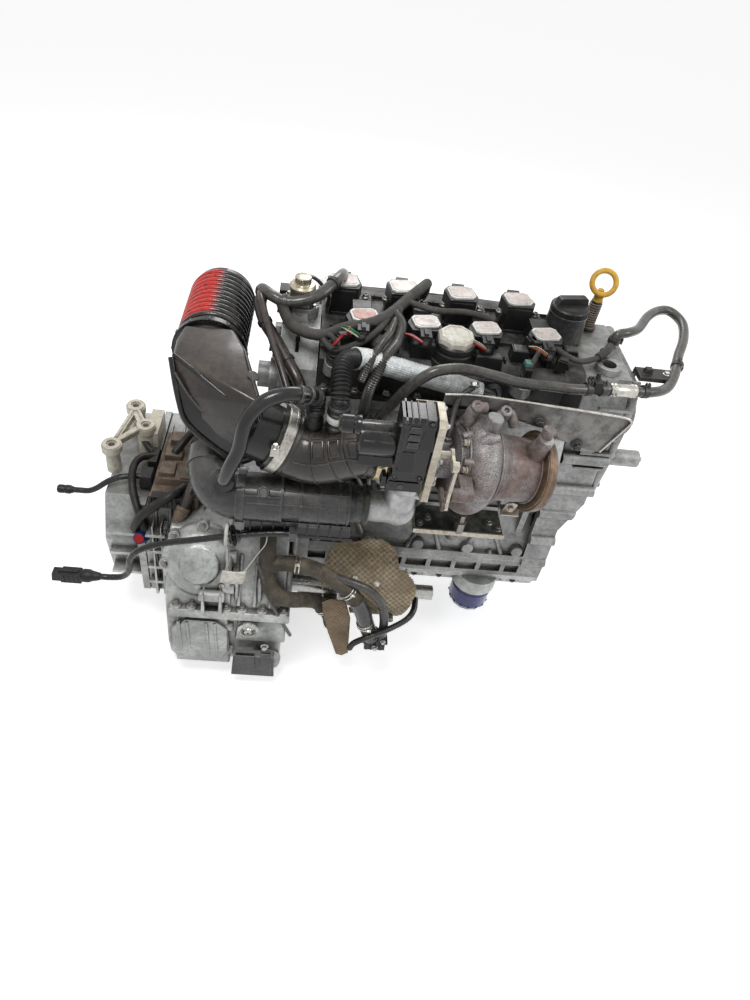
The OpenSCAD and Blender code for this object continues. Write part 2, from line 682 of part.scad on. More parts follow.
module turbo_rotor() color("silver") standing() {
    in_turbo_frame() {
        xcyl(bearing_face - 26, back_face + 24, 0, 0, shaft_r);
        about_x() polygon([[0, bearing_face - 24], [15, bearing_face - 24], [17, bearing_face - 14],
                           [compressor_r, bearing_face - 8], [compressor_r, bearing_face - 3],
                           [0, bearing_face - 3]]);
        about_x() polygon([[0, back_face + 7], [turbine_r, back_face + 7],
                           [turbine_r, back_face + 14], [20, back_face + 22],
                           [22, back_face + 40], [0, back_face + 40]]);
    }
}

// Wastegate drive: two equal cranks and a link, so the link keeps its direction.
act_y0 = act_pivot[0] - 26;
act_y1 = act_pivot[0] + 22;
act_z0 = act_pivot[1] - 28;
act_z1 = act_pivot[1] + 70;
act_x0 = link_x - 126;
act_x1 = link_x - 78;
act_x2 = link_x - 34;
act_x3 = link_x - 24;
module wastegate_actuator() color([0.1, 0.1, 0.11]) standing() {
    difference() {
        union() {
            box(act_x0, act_x1, act_y0 + 4, act_y1 - 4, act_z0 + 6, act_z1 - 18);
            box(act_x1, act_x2, act_y0, act_y1, act_z0, act_z1);
            box(act_x2, act_x3, act_y0 - 3, act_y1 + 2, act_z0 - 3, act_z1 + 2);
            box(act_x1 - 6, act_x2, act_y0, act_y0 + 26, act_z0 - 22, act_z0);
            box(act_x2, act_x3, act_y0, act_y0 + 36, act_z0 - 34, act_z0);
            xcyl(act_x0 - 26, act_x0, act_pivot[0], act_z1 - 34, 13);
            box(comp_x - 22, act_x3, act_y1 + 2, turbo_y - 40, pad_z, pad_z + 6);
            box(comp_x - 22, act_x3, act_y1, act_y1 + 2, pad_z, act_z1);
        }
        xcyl(act_x1 + 20, act_x3 + 1, act_pivot[0], act_pivot[1], 5 + run_gap);
    }
}
// An arm that points towards -Y, with a pin for the link at its end.
module wastegate_arm(pivot) {
    translate([link_x - link_t, pivot[0], pivot[1]]) {
        xcyl(0, link_t, 0, 0, 9);
        box(0, link_t, -crank_l, 0, -6, 6);
        xcyl(0, link_t, -crank_l, 0, 8);
        xcyl(0, 2 * link_t + 2, -crank_l, 0, 3);
    }
}
module wastegate_crank() color([0.8, 0.76, 0.66]) standing() {
    xcyl(act_x1 + 24, link_x, act_pivot[0], act_pivot[1], 5);
    wastegate_arm(act_pivot);
}
module wastegate_link() color([0.8, 0.76, 0.66]) standing() {
    drop = act_pivot[1] - gate_pivot[1];
    x0 = link_x + link_gap;
    difference() {
        union() {
            for (p = [act_pivot, gate_pivot])
                xcyl(x0, x0 + link_t, p[0] - crank_l, p[1], 7);
            box(x0, x0 + link_t, act_pivot[0] - crank_l - 3.5, act_pivot[0] - crank_l + 3.5,
                gate_pivot[1], gate_pivot[1] + drop);
        }
        for (p = [act_pivot, gate_pivot])
            xcyl(link_x, link_x + 2 * link_t, p[0] - crank_l, p[1], 3 + run_gap);
    }
}
module wastegate_lever() color([0.62, 0.52, 0.42]) standing() {
    xcyl(link_x - link_t, turbo_x - 22, gate_pivot[0], gate_pivot[1], 5);
    wastegate_arm(gate_pivot);
}

// ---- Shields, ducts and hoses ----

shield_y = -half_head - 54;
module heat_shield_upper() color([0.55, 0.53, 0.5]) standing() {
    z = turbo_z;
    translate([0, shield_y, 0]) rotate([90, 0, 0]) linear_extrude(height = 2)
        polygon([[turbo_x - 49, z + 87], [turbo_x + 227, z + 76], [turbo_x + 238, z + 68],
                 [turbo_x + 207, z + 5], [turbo_x + 140, z + 22], [turbo_x + 122, z + 42],
                 [turbo_x + 70, z + 52], [turbo_x + 30, z + 66], [turbo_x - 49, z + 68]]);
    ycyl(shield_y, -half_head, block_l - 14, cover_z - 7, 6);
    ycyl(shield_y, -half_cover, cyl_x(3) - 18, cover_z + 31, 6);
}

// Intake duct: a flat moulded box between the bellows and the inlet elbow.
duct_x = -162;
duct_y = -80;
duct_z = deck_h + 149;
duct_neck_r = 48;
spigot = [-40, -205, deck_h + 99];
spigot_tilt = 24;
spigot_dir = [-cos(spigot_tilt), 0, sin(spigot_tilt)];
spigot_r = 44;
duct_corners = [
    [-195, -115, 402], [-190, -90, 405], [-130, -88, 405], [-108, -130, 400],
    [-90, -190, 390], [-80, -215, 384], [-194, -152, 400], [-180, -176, 357],
    [-167, -186, 324], [-132, -195, 294], [-104, -204, 282], [-80, -215, 304], [-84, -165, 324]
];
module duct_shell(r) {
    hull() {
        for (p = duct_corners)
            translate([p[0], p[1], p[2] - 215 + deck_h]) sphere(r = r, $fn = 14);
        ycyl(duct_y - 4, duct_y, duct_x, duct_z, duct_neck_r - 8 + r);
    }
}
module at_spigot() {
    translate(spigot) rotate([0, -90 + spigot_tilt, 0]) children();
}
module intake_duct() color([0.2, 0.17, 0.15]) standing() {
    difference() {
        union() {
            duct_shell(8);
            at_spigot() cylinder(h = 62, r = spigot_r);
            ycyl(duct_y - 20, duct_y + 14, duct_x, duct_z, duct_neck_r);
        }
        duct_shell(5);
        at_spigot() translate([0, 0, -1]) cylinder(h = 80, r = spigot_r - 3);
        ycyl(duct_y - 24, duct_y + 15, duct_x, duct_z, duct_neck_r - 3);
    }
}
bellows_y1 = 96;
module intake_bellows() color([0.09, 0.09, 0.1]) standing() {
    pitch = 13;
    count = floor((bellows_y1 - duct_y - 24) / pitch);
    difference() {
        union() {
            ycyl(duct_y + 2, bellows_y1, duct_x, duct_z, duct_neck_r + 2);
            ycyl(duct_y + 2, duct_y + 16, duct_x, duct_z, duct_neck_r + 6);
            for (i = [0 : count - 1])
                translate([duct_x, duct_y + 24 + (i + 0.5) * pitch, duct_z]) rotate([-90, 0, 0])
                    rotate_extrude() translate([duct_neck_r + 1, 0]) circle(r = 5);
        }
        ycyl(duct_y + 1, duct_y + 15, duct_x, duct_z, duct_neck_r + 0.2);
        ycyl(duct_y + 14, bellows_y1 + 1, duct_x, duct_z, duct_neck_r - 2);
    }
}
sleeve = 20;
elbow_wall = 4;
elbow_path = smooth([
    turbo_point(inlet_face + sleeve), turbo_point(inlet_face + 10), turbo_point(inlet_face),
    turbo_point(inlet_face - 18), [38, turbo_y - 12, deck_h + 102], [6, turbo_y - 4, deck_h + 90],
    [-20, turbo_y + 5, deck_h + 91], spigot, spigot + sleeve * spigot_dir
], 3);
function ramp(t) = min(1, max(0, (t - 0.35) / 0.4));
function elbow_radii(add) = [
    for (i = [0 : len(elbow_path) - 1])
        inlet_r + 1 + add + (spigot_r - inlet_r) * ramp(i / (len(elbow_path) - 1))
];
elbow_last = len(elbow_path) - 1;
elbow_outer = elbow_radii(elbow_wall);
function elbow_top(x) = lookup(x, [
    for (i = [elbow_last : -1 : 0]) [elbow_path[i][0], elbow_path[i][2] + elbow_outer[i]]
]);
function elbow_y(x) = lookup(x, [for (i = [elbow_last : -1 : 0]) [elbow_path[i][0], elbow_path[i][1]]]);
// Vent stubs on the elbow: each ends clear above the elbow's rising top.
function stub_at(x, reach) = [x, elbow_y(x), elbow_top(x + reach) + 2];
stub_a = stub_at(0, 18);
stub_b = stub_at(32, 21);
module inlet_elbow() color([0.07, 0.07, 0.08]) standing() {
    hose(elbow_path, elbow_outer, elbow_wall, 28);
    zcyl(elbow_top(stub_a[0]) - 3, stub_a[2], stub_a[0], stub_a[1], 11);
    zcyl(elbow_top(stub_b[0]) - 3, stub_b[2], stub_b[0], stub_b[1], 13);
}
module band_clamps() color("silver") standing() {
    at_spigot() translate([0, 0, 4]) difference() {
        cylinder(h = 12, r = spigot_r + 8);
        translate([0, 0, -1]) cylinder(h = 14, r = spigot_r + 1.3 + elbow_wall);
    }
    in_turbo_frame() difference() {
        xcyl(inlet_face + 4, inlet_face + 14, 0, 0, inlet_r + 8);
        xcyl(inlet_face + 3, inlet_face + 15, 0, 0, inlet_r + 1.3 + elbow_wall);
    }
}
// Turns +Z to the direction d at the place p.
module aim(p, d) {
    translate(p) rotate([0, acos(d[2] / norm(d)), atan2(d[1], d[0])]) children();
}
// Charge pipe: a resonator along X and an elbow that turns back under the intake duct.
res_r = 38;
res_x0 = -97;
res_bend = 44;
res_rise = 20;
port_base = [res_x0 - res_bend * sin(45), charge_y + res_bend * (1 - cos(45)) * cos(res_rise),
             charge_z + res_bend * (1 - cos(45)) * sin(res_rise)];
port_dir = unit([8, -31, 39]);
port_tip = port_base + 58 * port_dir;
lead_exit = [-20, charge_y - 36, charge_z - 38];
res_wall = 4;
// The elbow's curved length; its ends run into the collars of the straight pipes.
module res_curve(r) {
    translate([0, res_bend, 0]) rotate([0, 0, 180]) rotate_extrude(angle = 90)
        translate([res_bend, 0]) circle(r = r);
}
module res_tail(y0, y1, r) {
    translate([-res_bend, y0, 0]) rotate([-90, 0, 0]) cylinder(h = y1 - y0, r = r);
}
module at_elbow() {
    translate([res_x0, charge_y, charge_z]) rotate([res_rise, 0, 0]) children();
}
module charge_resonator() color([0.16, 0.16, 0.17]) standing() {
    difference() {
        union() {
            at_elbow() {
                res_curve(res_r);
                res_tail(res_bend - 4, res_bend + 24, res_r + 2);
            }
            xcyl(res_x0 - 4, res_x0 + 8, charge_y, charge_z, res_r + 3);
            xcyl(res_x0 + 2, -36, charge_y, charge_z, res_r);
            xcyl(-38, 66, charge_y, charge_z, res_r - 4);
            xcyl(64, res_x1, charge_y, charge_z, charge_pipe_r + 5);
            aim(port_base, port_dir) cylinder(h = 58, r = 12);
            box(-86, 70, charge_y - 30, charge_y - 24, charge_z - 44, charge_z - 20);
            box(lead_exit[0], lead_exit[0] + 12, lead_exit[1] - 8, charge_y - 24,
                lead_exit[2] - 8, lead_exit[2] + 8);
        }
        at_elbow() {
            res_curve(res_r - res_wall);
            res_tail(res_bend - 1, res_bend + 25, res_r - res_wall - 0.5);
        }
        xcyl(res_x0 - 1, -40, charge_y, charge_z, res_r - res_wall - 1);
        xcyl(-42, 62, charge_y, charge_z, res_r - 2 * res_wall);
        xcyl(60, res_x1 + 1, charge_y, charge_z, charge_pipe_r + 0.3);
    }
}
breather_path = smooth([
    stub_a, stub_a + [0, 0, 12], stub_a + [0, 0, 24], stub_a + [-1, -2, 40],
    [-16, turbo_y - 18, deck_h + 201], [-40, turbo_y - 27, deck_h + 206],
    [-68, turbo_y - 38, deck_h + 198], [-89, turbo_y - 48, deck_h + 171],
    [-97, turbo_y - 55, deck_h + 127], [-108, turbo_y - 57, deck_h + 97],
    port_tip + 22 * port_dir, port_tip + 11 * port_dir, port_tip
], 3);
module breather_hose() color([0.08, 0.08, 0.09]) standing() {
    cord(breather_path, 10, 12);
    zcyl(stub_a[2], stub_a[2] + 24, stub_a[0], stub_a[1], 14);
}
sleeved_y = -half_head - 20;
sleeved_end = [cyl_x(2) + 14, -half_cover, deck_h + 153];
sleeved_route = smooth([
    stub_b, stub_b + [0, 0, 14], stub_b + [0, 0, 28], stub_b + [0, 12, 46],
    [31, turbo_y + 30, deck_h + 211], [38, sleeved_y - 26, deck_h + 213],
    [60, sleeved_y - 6, deck_h + 205], [90, sleeved_y, deck_h + 196],
    [133, sleeved_y, deck_h + 187], [192, sleeved_y, deck_h + 175],
    [232, sleeved_y, deck_h + 165], sleeved_end + [-8, -26, 4], sleeved_end + [0, -16, 0],
    sleeved_end + [0, -9, 0], sleeved_end + [0, -2, 0]
], 3);
module sleeved_pipe() color([0.75, 0.77, 0.78]) standing() {
    radii = [for (p = sleeved_route) p[0] > 52 && p[0] < 240 ? 17 : 11];
    cord(sleeved_route, radii, 12);
    zcyl(stub_b[2], stub_b[2] + 30, stub_b[0], stub_b[1], 17);
    ycyl(sleeved_end[1] - 12, sleeved_end[1], sleeved_end[0], sleeved_end[2], 13);
}
hose_r = 8.5;
// Heater hose: from the head's front, over the cover's flange, round to the timing cover's top.
upper_end = [block_l + 68, 16, cover_top - 4];
upper_hose = smooth([
    [90, 12 - half_head, deck_h + 75], [90, -half_head, deck_h + 75],
    [90, -half_head - 12, deck_h + 75], [95, -half_head - 27, deck_h + 92],
    [104, -half_head - 34, deck_h + 118], [117, -half_head - 39, deck_h + 148],
    [131, -half_head - 44, deck_h + 176], [147, -half_head - 48, deck_h + 198],
    [168, -half_head - 45, deck_h + 211], [204, -half_head - 38, deck_h + 213],
    [250, -half_head - 35, deck_h + 205], [block_l - 122, -half_head - 33, deck_h + 196],
    [block_l - 78, -half_head - 29, deck_h + 193], [block_l - 36, -half_head - 25, deck_h + 189],
    [block_l + 6, -half_head - 14, deck_h + 186], [block_l + 44, -half_head - 6, deck_h + 183],
    [block_l + 90, -half_head, deck_h + 180], [timing_x1 + 38, -88, deck_h + 174],
    [timing_x1 + 64, -50, deck_h + 176], [timing_x1 + 86, 0, deck_h + 180],
    [timing_x1 + 111, 50, deck_h + 185], [timing_x1 + 124, 98, deck_h + 189],
    [timing_x1 + 112, 130, deck_h + 192], [timing_x1 + 86, 122, deck_h + 195],
    [timing_x1 + 56, 92, deck_h + 197], [timing_x1 + 26, 48, cover_top + 15],
    [timing_x1, 24, cover_top + 19], [block_l + 74, 18, cover_top + 18],
    upper_end + [0, 0, 16], upper_end + [0, 0, 9], upper_end + [0, 0, 2]
], 2);
module coolant_hose_upper() color([0.17, 0.17, 0.17]) standing() {
    tee = [block_l + 48, -half_head - 7, deck_h + 181];
    cord(upper_hose, hose_r, 10);
    xcyl(tee[0] - 14, tee[0] + 12, tee[1], tee[2], 11);
    aim(tee, [0.6, 0.75, -0.5]) cylinder(h = 30, r = 6);
    zcyl(upper_end[2], upper_end[2] + 12, upper_end[0], upper_end[1], 11);
}
pan_port = [68, -half_case - 14, -100];
hose_v = smooth([
    [-30, -98, cover_z - 67], [-30, -108, cover_z - 67], [-31, -120, cover_z - 69],
    [-38, -140, deck_h + 15], [-45, -160, deck_h - 25], [-50, -184, 156], [-51, -208, 147],
    [-51, -232, 136], [-50, -247, 112], [-49, -251, 84], [-45, -261, 57], [-29, -270, 38],
    [-6, -268, 28], [17, -254, 12], [35, -241, -7], [50, -238, -25], [62, -237, -47],
    [68, -232, -76], [68, -205, -96], [68, -170, -100], [68, -150, -100], pan_port
], 2);
hose_b = smooth([
    [-49, -251, 90], [-30, -252, 98], [-6, -254, 101], [18, -256, 98], [42, -258, 88],
    [66, -262, 72], [92, -266, 48], [112, -267, 12], [126, -268, -30], [138, -268, -60]
], 3);
hose_s = smooth([
    [42, -258, 88], [80, -263, 80], [116, -263, 62], [138, -264, 38], [148, -266, 12],
    [154, -268, -20], [155, -268, -60]
], 2);
module coolant_hose_lower() color([0.35, 0.31, 0.25]) standing() {
    cord(hose_v, 13, 12);
    cord(hose_b, 13, 12);
    cord(hose_s, 7, 10);
    box(128, 164, -278, -254, -86, -50);
}
lower_shield_y = diff_y + 7;
module heat_shield_lower() color([0.5, 0.42, 0.31]) standing() {
    difference() {
        union() {
            intersection() {
                xcyl(45, 205, lower_shield_y, -8, 66);
                union() {
                    box(44, 206, -260, -150, 20, 80);
                    box(98, 206, -260, -150, -80, 21);
                }
            }
            box(56, 82, -258, -236, 20, 22);
            translate([0, -256.5, 0]) rotate([90, 0, 0]) linear_extrude(height = 1.5)
                polygon([[45, 12], [58, 22], [83, 22], [97, -24], [105, -128], [95, -138],
                         [84, -134], [63, -69]]);
        }
        xcyl(44, 206, lower_shield_y, -8, 64.5);
        ycyl(-260, -230, (stay_x0 + stay_x1) / 2, diff_z, 5.3);
    }
}
stay_x0 = 150;
stay_x1 = 185;
module turbo_support() color([0.2, 0.24, 0.23]) standing() {
    z = 118;
    difference() {
        box(turbo_x - 44, turbo_x + 106, -178, -half_bank - 40, z, z + 6);
        for (x = [turbo_x - 22, turbo_x + 84])
            zcyl(z - 1, z + 7, x, -150, 5.5);
    }
    for (i = [2, 3])
        box(main_x(i) - 5, main_x(i) + 5, -half_bank - 48, -half_bank - 26, z - 24, z);
}

// ---- Gearbox ----

case_top = 100;
diff_case = [[-236, floor_z], [-268, -120], [-268, 0], [-215, 80], [-190, case_top],
             [100, case_top], [135, 60], [130, -80], [60, -160], [-40, floor_z]];
diff_case_inside = [[-230, floor_z + 8], [-261, -118], [-261, -2], [-211, 74], [-187, case_top - 7],
                    [97, case_top - 7], [128, 57], [123, -77], [57, -153], [-42, floor_z + 8]];
upper_case = [[-168, -100], [-176, 20], [-150, case_top], [100, case_top], [135, 60],
              [130, -80], [60, -130], [-100, -140]];
upper_case_inside = [[-161, -97], [-168, 18], [-145, case_top - 7], [97, case_top - 7], [128, 57],
                     [123, -77], [57, -123], [-97, -133]];
diff_left = case_x1 - 100;
ring_x = case_x1 - 40;
module clutch_housing() color("gainsboro") standing() {
    difference() {
        union() {
            xcyl(case_x1, 0, 0, 0, bell_r);
            along_x(case_x1, -14) polygon(diff_case);
            for (a = [20 : 32 : 340])
                rotate([a, 0, 0]) box(case_x1 + 3, -10, bell_r - 4, bell_r + 6, -4, 4);
            xcyl(-30, -8, diff_y, diff_z, 40);
            box(case_x1 + 6, -20, -284, -200, -176, -96);
            ycyl(-278, -240, -73, -45, 17);
            box(-105, -101, -271, -250, -20, 162);
            xcyl(-106, -100, lead_clip[1], lead_clip[2], 12);
        }
        xcyl(-50, 1, 0, 0, bell_r - 20);
        difference() {
            xcyl(case_x1 + 6, -49, 0, 0, bell_r - 50);
            xcyl(case_x1, case_x1 + 22, shaft_yz[0], shaft_yz[1], out_shaft_r + 10);
        }
        xcyl(case_x1 - 1, case_x1 + 16, shaft_yz[0], shaft_yz[1], out_shaft_r + run_gap);
        difference() {
            intersection() {
                along_x(case_x1 + 6, -20) polygon(diff_case_inside);
                box(case_x1, 0, -262, -194, -190, 70);
            }
            xcyl(case_x1 + 11, 0, diff_y, diff_z, diff_journal + 8);
        }
        xcyl(case_x1 - 1, case_x1 + 11, diff_y, diff_z, 56);
        xcyl(case_x1, -5, diff_y, diff_z, diff_journal + run_gap);
        xcyl(-107, -99, lead_clip[1], lead_clip[2], 5.6);
        ycyl(-279, -262, -73, -45, 6);
    }
}
lead_clip = [-103, -264, 168];
diff_journal = 25;
module gear_case() color("gainsboro") standing() {
    difference() {
        union() {
            along_x(diff_left, case_x1) polygon(diff_case);
            along_x(case_x0, case_x1) polygon(upper_case);
            for (i = [0 : 3])
                box(diff_left + 14 + i * 24, diff_left + 20 + i * 24, -276, -60, -150, 10);
        }
        along_x(diff_left + 8, case_x1 + 1) polygon(diff_case_inside);
        along_x(case_x0 - 1, case_x1 + 1) polygon(upper_case_inside);
        xcyl(diff_left - 1, diff_left + 9, diff_y, diff_z, diff_journal + run_gap);
    }
    difference() {
        xcyl(diff_left + 7, diff_left + 40, diff_y, diff_z, diff_journal + 9);
        xcyl(diff_left, diff_left + 41, diff_y, diff_z, diff_journal + run_gap);
    }
}
module gear_case_cover() color("gainsboro") standing() {
    difference() {
        union() {
            along_x(case_x0 - 12, case_x0) polygon(upper_case);
            along_x(cover_x0, case_x0)
                polygon([[-140, -70], [-160, 20], [-130, case_top], [90, case_top], [125, 50],
                         [118, -70], [40, -112], [-80, -118]]);
            xcyl(cover_x0 - 12, cover_x0 + 20, -60, -50, 16);
            for (z = [-60, -10, 40])
                box(cover_x0 + 6, case_x0, -168, 120, z, z + 6);
        }
        difference() {
            along_x(cover_x0 + 8, case_x0 + 1)
                polygon([[-132, -66], [-152, 20], [-125, case_top - 8], [86, case_top - 8],
                         [117, 48], [110, -66], [38, -104], [-78, -110]]);
            xcyl(cover_x0, cover_x0 + 30, shaft_yz[0], shaft_yz[1], out_shaft_r + 10);
        }
        xcyl(cover_x0 + 10, cover_x0 + 31, shaft_yz[0], shaft_yz[1], out_shaft_r + run_gap);
    }
}
mesh_gap = 0.3;
ring_gear_r = 70;
pinion_r = 26;
out_shaft_r = 14;
drive_bore_r = 11;
shaft_yz = [diff_y + (ring_gear_r + pinion_r + mesh_gap) * cos(30),
            diff_z + (ring_gear_r + pinion_r + mesh_gap) * sin(30)];
module final_drive() color("lightgray") standing() {
    difference() {
        union() {
            xcyl(diff_left + 1, ring_x, diff_y, diff_z, diff_journal);
            xcyl(ring_x, ring_x + 22, diff_y, diff_z, ring_gear_r);
            xcyl(ring_x + 22, case_x1 + 6, diff_y, diff_z, 46);
            xcyl(case_x1 + 6, -6, diff_y, diff_z, diff_journal);
            xcyl(-6, 200, diff_y, diff_z, stub_r);
            xcyl(200, 246, diff_y, diff_z, stub_end_r);
        }
        xcyl(diff_left, diff_left + 35, diff_y, diff_z, drive_bore_r);
    }
}
module output_shaft() color("lightgray") standing() {
    y = shaft_yz[0];
    z = shaft_yz[1];
    xcyl(cover_x0 + 12, case_x1 + 14, y, z, out_shaft_r);
    xcyl(ring_x, ring_x + 22, y, z, pinion_r);
    xcyl(case_x0 + 40, case_x0 + 62, y, z, 50);
}
module control_unit() color([0.26, 0.2, 0.16]) standing() {
    z = case_top;
    box(-256, -166, -140, 20, z, z + 14);
    box(-250, -172, -120, 10, z + 14, z + 24);
    box(-250, -176, -152, -140, z + 2, z + 26);
    box(-276, -256, -118, -86, z + 6, z + 30);
    box(-270, -256, -70, -30, z + 4, z + 24);
}
mount_holes = [[-311, 39], [-283, -13], [-328, -70]];
mount_top = case_top + 56;
mount_t = 12;
module mount_bracket() color([0.86, 0.81, 0.7]) standing() {
    difference() {
        union() {
            for (p = mount_holes)
                zcyl(mount_top - mount_t, mount_top, p[0], p[1], 17);
            translate([0, 0, mount_top - mount_t]) linear_extrude(height = mount_t)
                polygon(mount_holes);
            zcyl(case_top, mount_top - 2, mount_holes[1][0], mount_holes[1][1], 15);
            zcyl(case_top, mount_top - 2, mount_holes[0][0], mount_holes[0][1], 15);
            zcyl(case_top, mount_top - 2, mount_holes[2][0], mount_holes[2][1], 12);
            box(-283, -262, -22, 46, case_top, mount_top - 10);
        }
        for (p = mount_holes)
            zcyl(mount_top - 30, mount_top + 1, p[0], p[1], 5.5);
        translate([0, 0, mount_top - mount_t - 1]) linear_extrude(height = mount_t + 2)
            polygon([for (p = mount_holes) [p[0] * 0.52 - 147.5, p[1] * 0.52 - 7]]);
    }
}

// ---- Free leads ----

lead_r = 5;
sensor_route = [
    lead_exit, lead_exit - [6, 0, 0], lead_exit - [12, 0, 0], [-52, -264, 179], [-78, -264, 174],
    lead_clip, [-135, -264, 159], [-167, -264, 150], [-200, -264, 141],
    [-228, -265, 130], [-248, -265, 116], [-260, -264, 96], [-263, -262, 74], [-268, -260, 56],
    [-280, -258, 43], [-298, -258, 40], [-306, -258, 40], [-314, -258, 40]
];
bracket_route = [
    [-276, -102, 118], [-282, -102, 118], [-288, -102, 118], [-302, -107, 119], [-316, -111, 117],
    [-330, -114, 110], [-345, -117, 98], [-359, -118, 90], [-372, -118, 89], [-379, -118, 89],
    [-386, -118, 89]
];
module sensor_lead() color([0.06, 0.06, 0.06]) standing() {
    cord(smooth(sensor_route, 3), lead_r, 10);
}
module bracket_lead() color([0.08, 0.08, 0.08]) standing() {
    cord(smooth(bracket_route, 2), lead_r, 10);
}
module lead_plugs() color([0.05, 0.05, 0.05]) standing() {
    xcyl(-386, -314, -258, 40, 11);
    xcyl(-412, -386, -118, 89, 8);
}

// ---- Moving parts of the crank drive ----

web_t = 19.5;
chain_x = block_l + 14;
sprocket_t = 12;
crank_sprocket_r = 26;
cam_sprocket_r = 34;
function pin_side(i) = i == 0 || i == 3 ? 1 : -1;
module crank_web(x0, side) {
    xcyl(x0, x0 + web_t, side * throw, 0, pin_r + 9);
    box(x0, x0 + web_t, min(0, side * throw), max(0, side * throw), -30, 30);
    intersection() {
        xcyl(x0, x0 + web_t, 0, 0, web_r);
        box(x0, x0 + web_t, side > 0 ? -web_r : 10, side > 0 ? -10 : web_r, -web_r, web_r);
    }
    xcyl(x0, x0 + web_t, 0, 0, main_r + 3);
}
module crankshaft() color("silver") standing() {
    for (i = [0 : cylinders - 1]) {
        xcyl(cyl_x(i) - 15, cyl_x(i) + 15, pin_side(i) * throw, 0, pin_r);
        crank_web(cyl_x(i) - 14 - web_t, pin_side(i));
        crank_web(cyl_x(i) + 14, pin_side(i));
    }
    for (i = [0 : cylinders])
        xcyl(max(main_x(i) - 14, 2), min(main_x(i) + 14, block_l - 2), 0, 0, main_r);
    xcyl(-6, 5, 0, 0, 40);
    xcyl(block_l - 20, timing_x1, 0, 0, 22);
    xcyl(chain_x, chain_x + sprocket_t, 0, 0, crank_sprocket_r);
}
module crank_pulley() color([0.15, 0.15, 0.15]) standing() {
    x0 = timing_low_x1 + 8;
    difference() {
        xcyl(x0, x0 + 28, 0, 0, 52);
        xcyl(x0 - 1, x0 + 29, 0, 0, 22);
        for (i = [0 : 3])
            translate([x0 + 6 + i * 5, 0, 0]) about_x() polygon([[49, 0], [53, -2], [53, 2]]);
        xcyl(x0 + 12, x0 + 29, 0, 0, 38);
    }
    difference() {
        xcyl(x0 + 11, x0 + 20, 0, 0, 32);
        xcyl(x0 + 10, x0 + 21, 0, 0, 22);
    }
}
module flywheel() color("darkgray") standing() {
    difference() {
        union() {
            xcyl(-26, -6, 0, 0, bell_r - 28);
            xcyl(-40, -26, 0, 0, bell_r - 44);
        }
        xcyl(-41, -20, 0, 0, 40);
        for (a = [0 : 60 : 300])
            rotate([a, 0, 0]) xcyl(-27, -5, 28, 0, 5);
    }
}
piston_low = 24;
module piston(i) {
    difference() {
        zcyl(wrist_z - piston_low, wrist_z + crown_h, cyl_x(i), 0, bore_d / 2 - run_gap);
        zcyl(wrist_z - piston_low - 1, wrist_z + crown_h - 10, cyl_x(i), 0, bore_d / 2 - 7);
        xcyl(cyl_x(i) - bore_d, cyl_x(i) + bore_d, 0, wrist_z, 11);
    }
    xcyl(cyl_x(i) - bore_d / 2 + 4, cyl_x(i) + bore_d / 2 - 4, 0, wrist_z, 10.9);
}
module rod(i) {
    side = pin_side(i);
    translate([cyl_x(i), 0, wrist_z]) rotate([side * rod_tilt, 0, 0]) difference() {
        union() {
            xcyl(-11, 11, 0, 0, 16);
            xcyl(-12, 12, 0, -rod_len, pin_r + shell_gap + 9);
            box(-8, 8, -9, 9, -rod_len + pin_r, -10);
        }
        xcyl(-12, 12, 0, 0, 11);
        xcyl(-13, 13, 0, -rod_len, pin_r + shell_gap);
    }
}
module pistons_outer() color("gainsboro") standing() { for (i = [0, 3]) piston(i); }
module pistons_inner() color("gainsboro") standing() { for (i = [1, 2]) piston(i); }
module rods_outer() color("gray") standing() { for (i = [0, 3]) rod(i); }
module rods_inner() color("gray") standing() { for (i = [1, 2]) rod(i); }
module camshaft(y, phase) {
    translate([0, y, cam_z]) {
        xcyl(-24, chain_x + sprocket_t, 0, 0, 14);
        for (i = [0 : cylinders - 1], s = [-1, 1])
            translate([cyl_x(i) + s * 22, 0, 0]) rotate([phase + 90 * i, 0, 0])
                xcyl(-6, 6, 4, 0, 17);
        xcyl(chain_x, chain_x + sprocket_t, 0, 0, cam_sprocket_r);
    }
}
module intake_camshaft() color("silver") standing() { camshaft(cam_offset, 30); }
module exhaust_camshaft() color("silver") standing() { camshaft(-cam_offset, 70); }
chain_gap = 0.6;
chain_h = 5;
module chain_loop(add) {
    hull() {
        circle(r = crank_sprocket_r + add);
        for (y = [-cam_offset, cam_offset])
            translate([y, cam_z]) circle(r = cam_sprocket_r + add);
    }
}
module timing_chain() color("dimgray") standing() {
    along_x(chain_x + 2, chain_x + sprocket_t - 2) difference() {
        chain_loop(chain_gap + chain_h);
        chain_loop(chain_gap);
    }
}

cylinder_block();
bedplate();
oil_pan();
oil_filter();
cylinder_head();
cam_cover();
timing_cover();
cam_end_housing();
fuel_pump();
breather_valve();
dipstick_tube();
ignition_coils();
lift_actuators();
spark_plugs();
intake_manifold();
throttle_body();
fuel_rail();
turbine_housing();
bearing_housing();
compressor_housing();
wastegate_actuator();
heat_shield_upper();
intake_duct();
intake_bellows();
inlet_elbow();
band_clamps();
breather_hose();
charge_resonator();
sleeved_pipe();
coolant_hose_upper();
coolant_hose_lower();
heat_shield_lower();
turbo_support();
clutch_housing();
gear_case();
gear_case_cover();
control_unit();
mount_bracket();
timing_chain();
sensor_lead();
lead_plugs();
bracket_lead();
crankshaft();
crank_pulley();
flywheel();
pistons_outer();
pistons_inner();
rods_outer();
rods_inner();
intake_camshaft();
exhaust_camshaft();
turbo_rotor();
wastegate_crank();
wastegate_link();
wastegate_lever();
throttle_plate();
oil_filler_cap();
dipstick();
final_drive();
output_shaft();
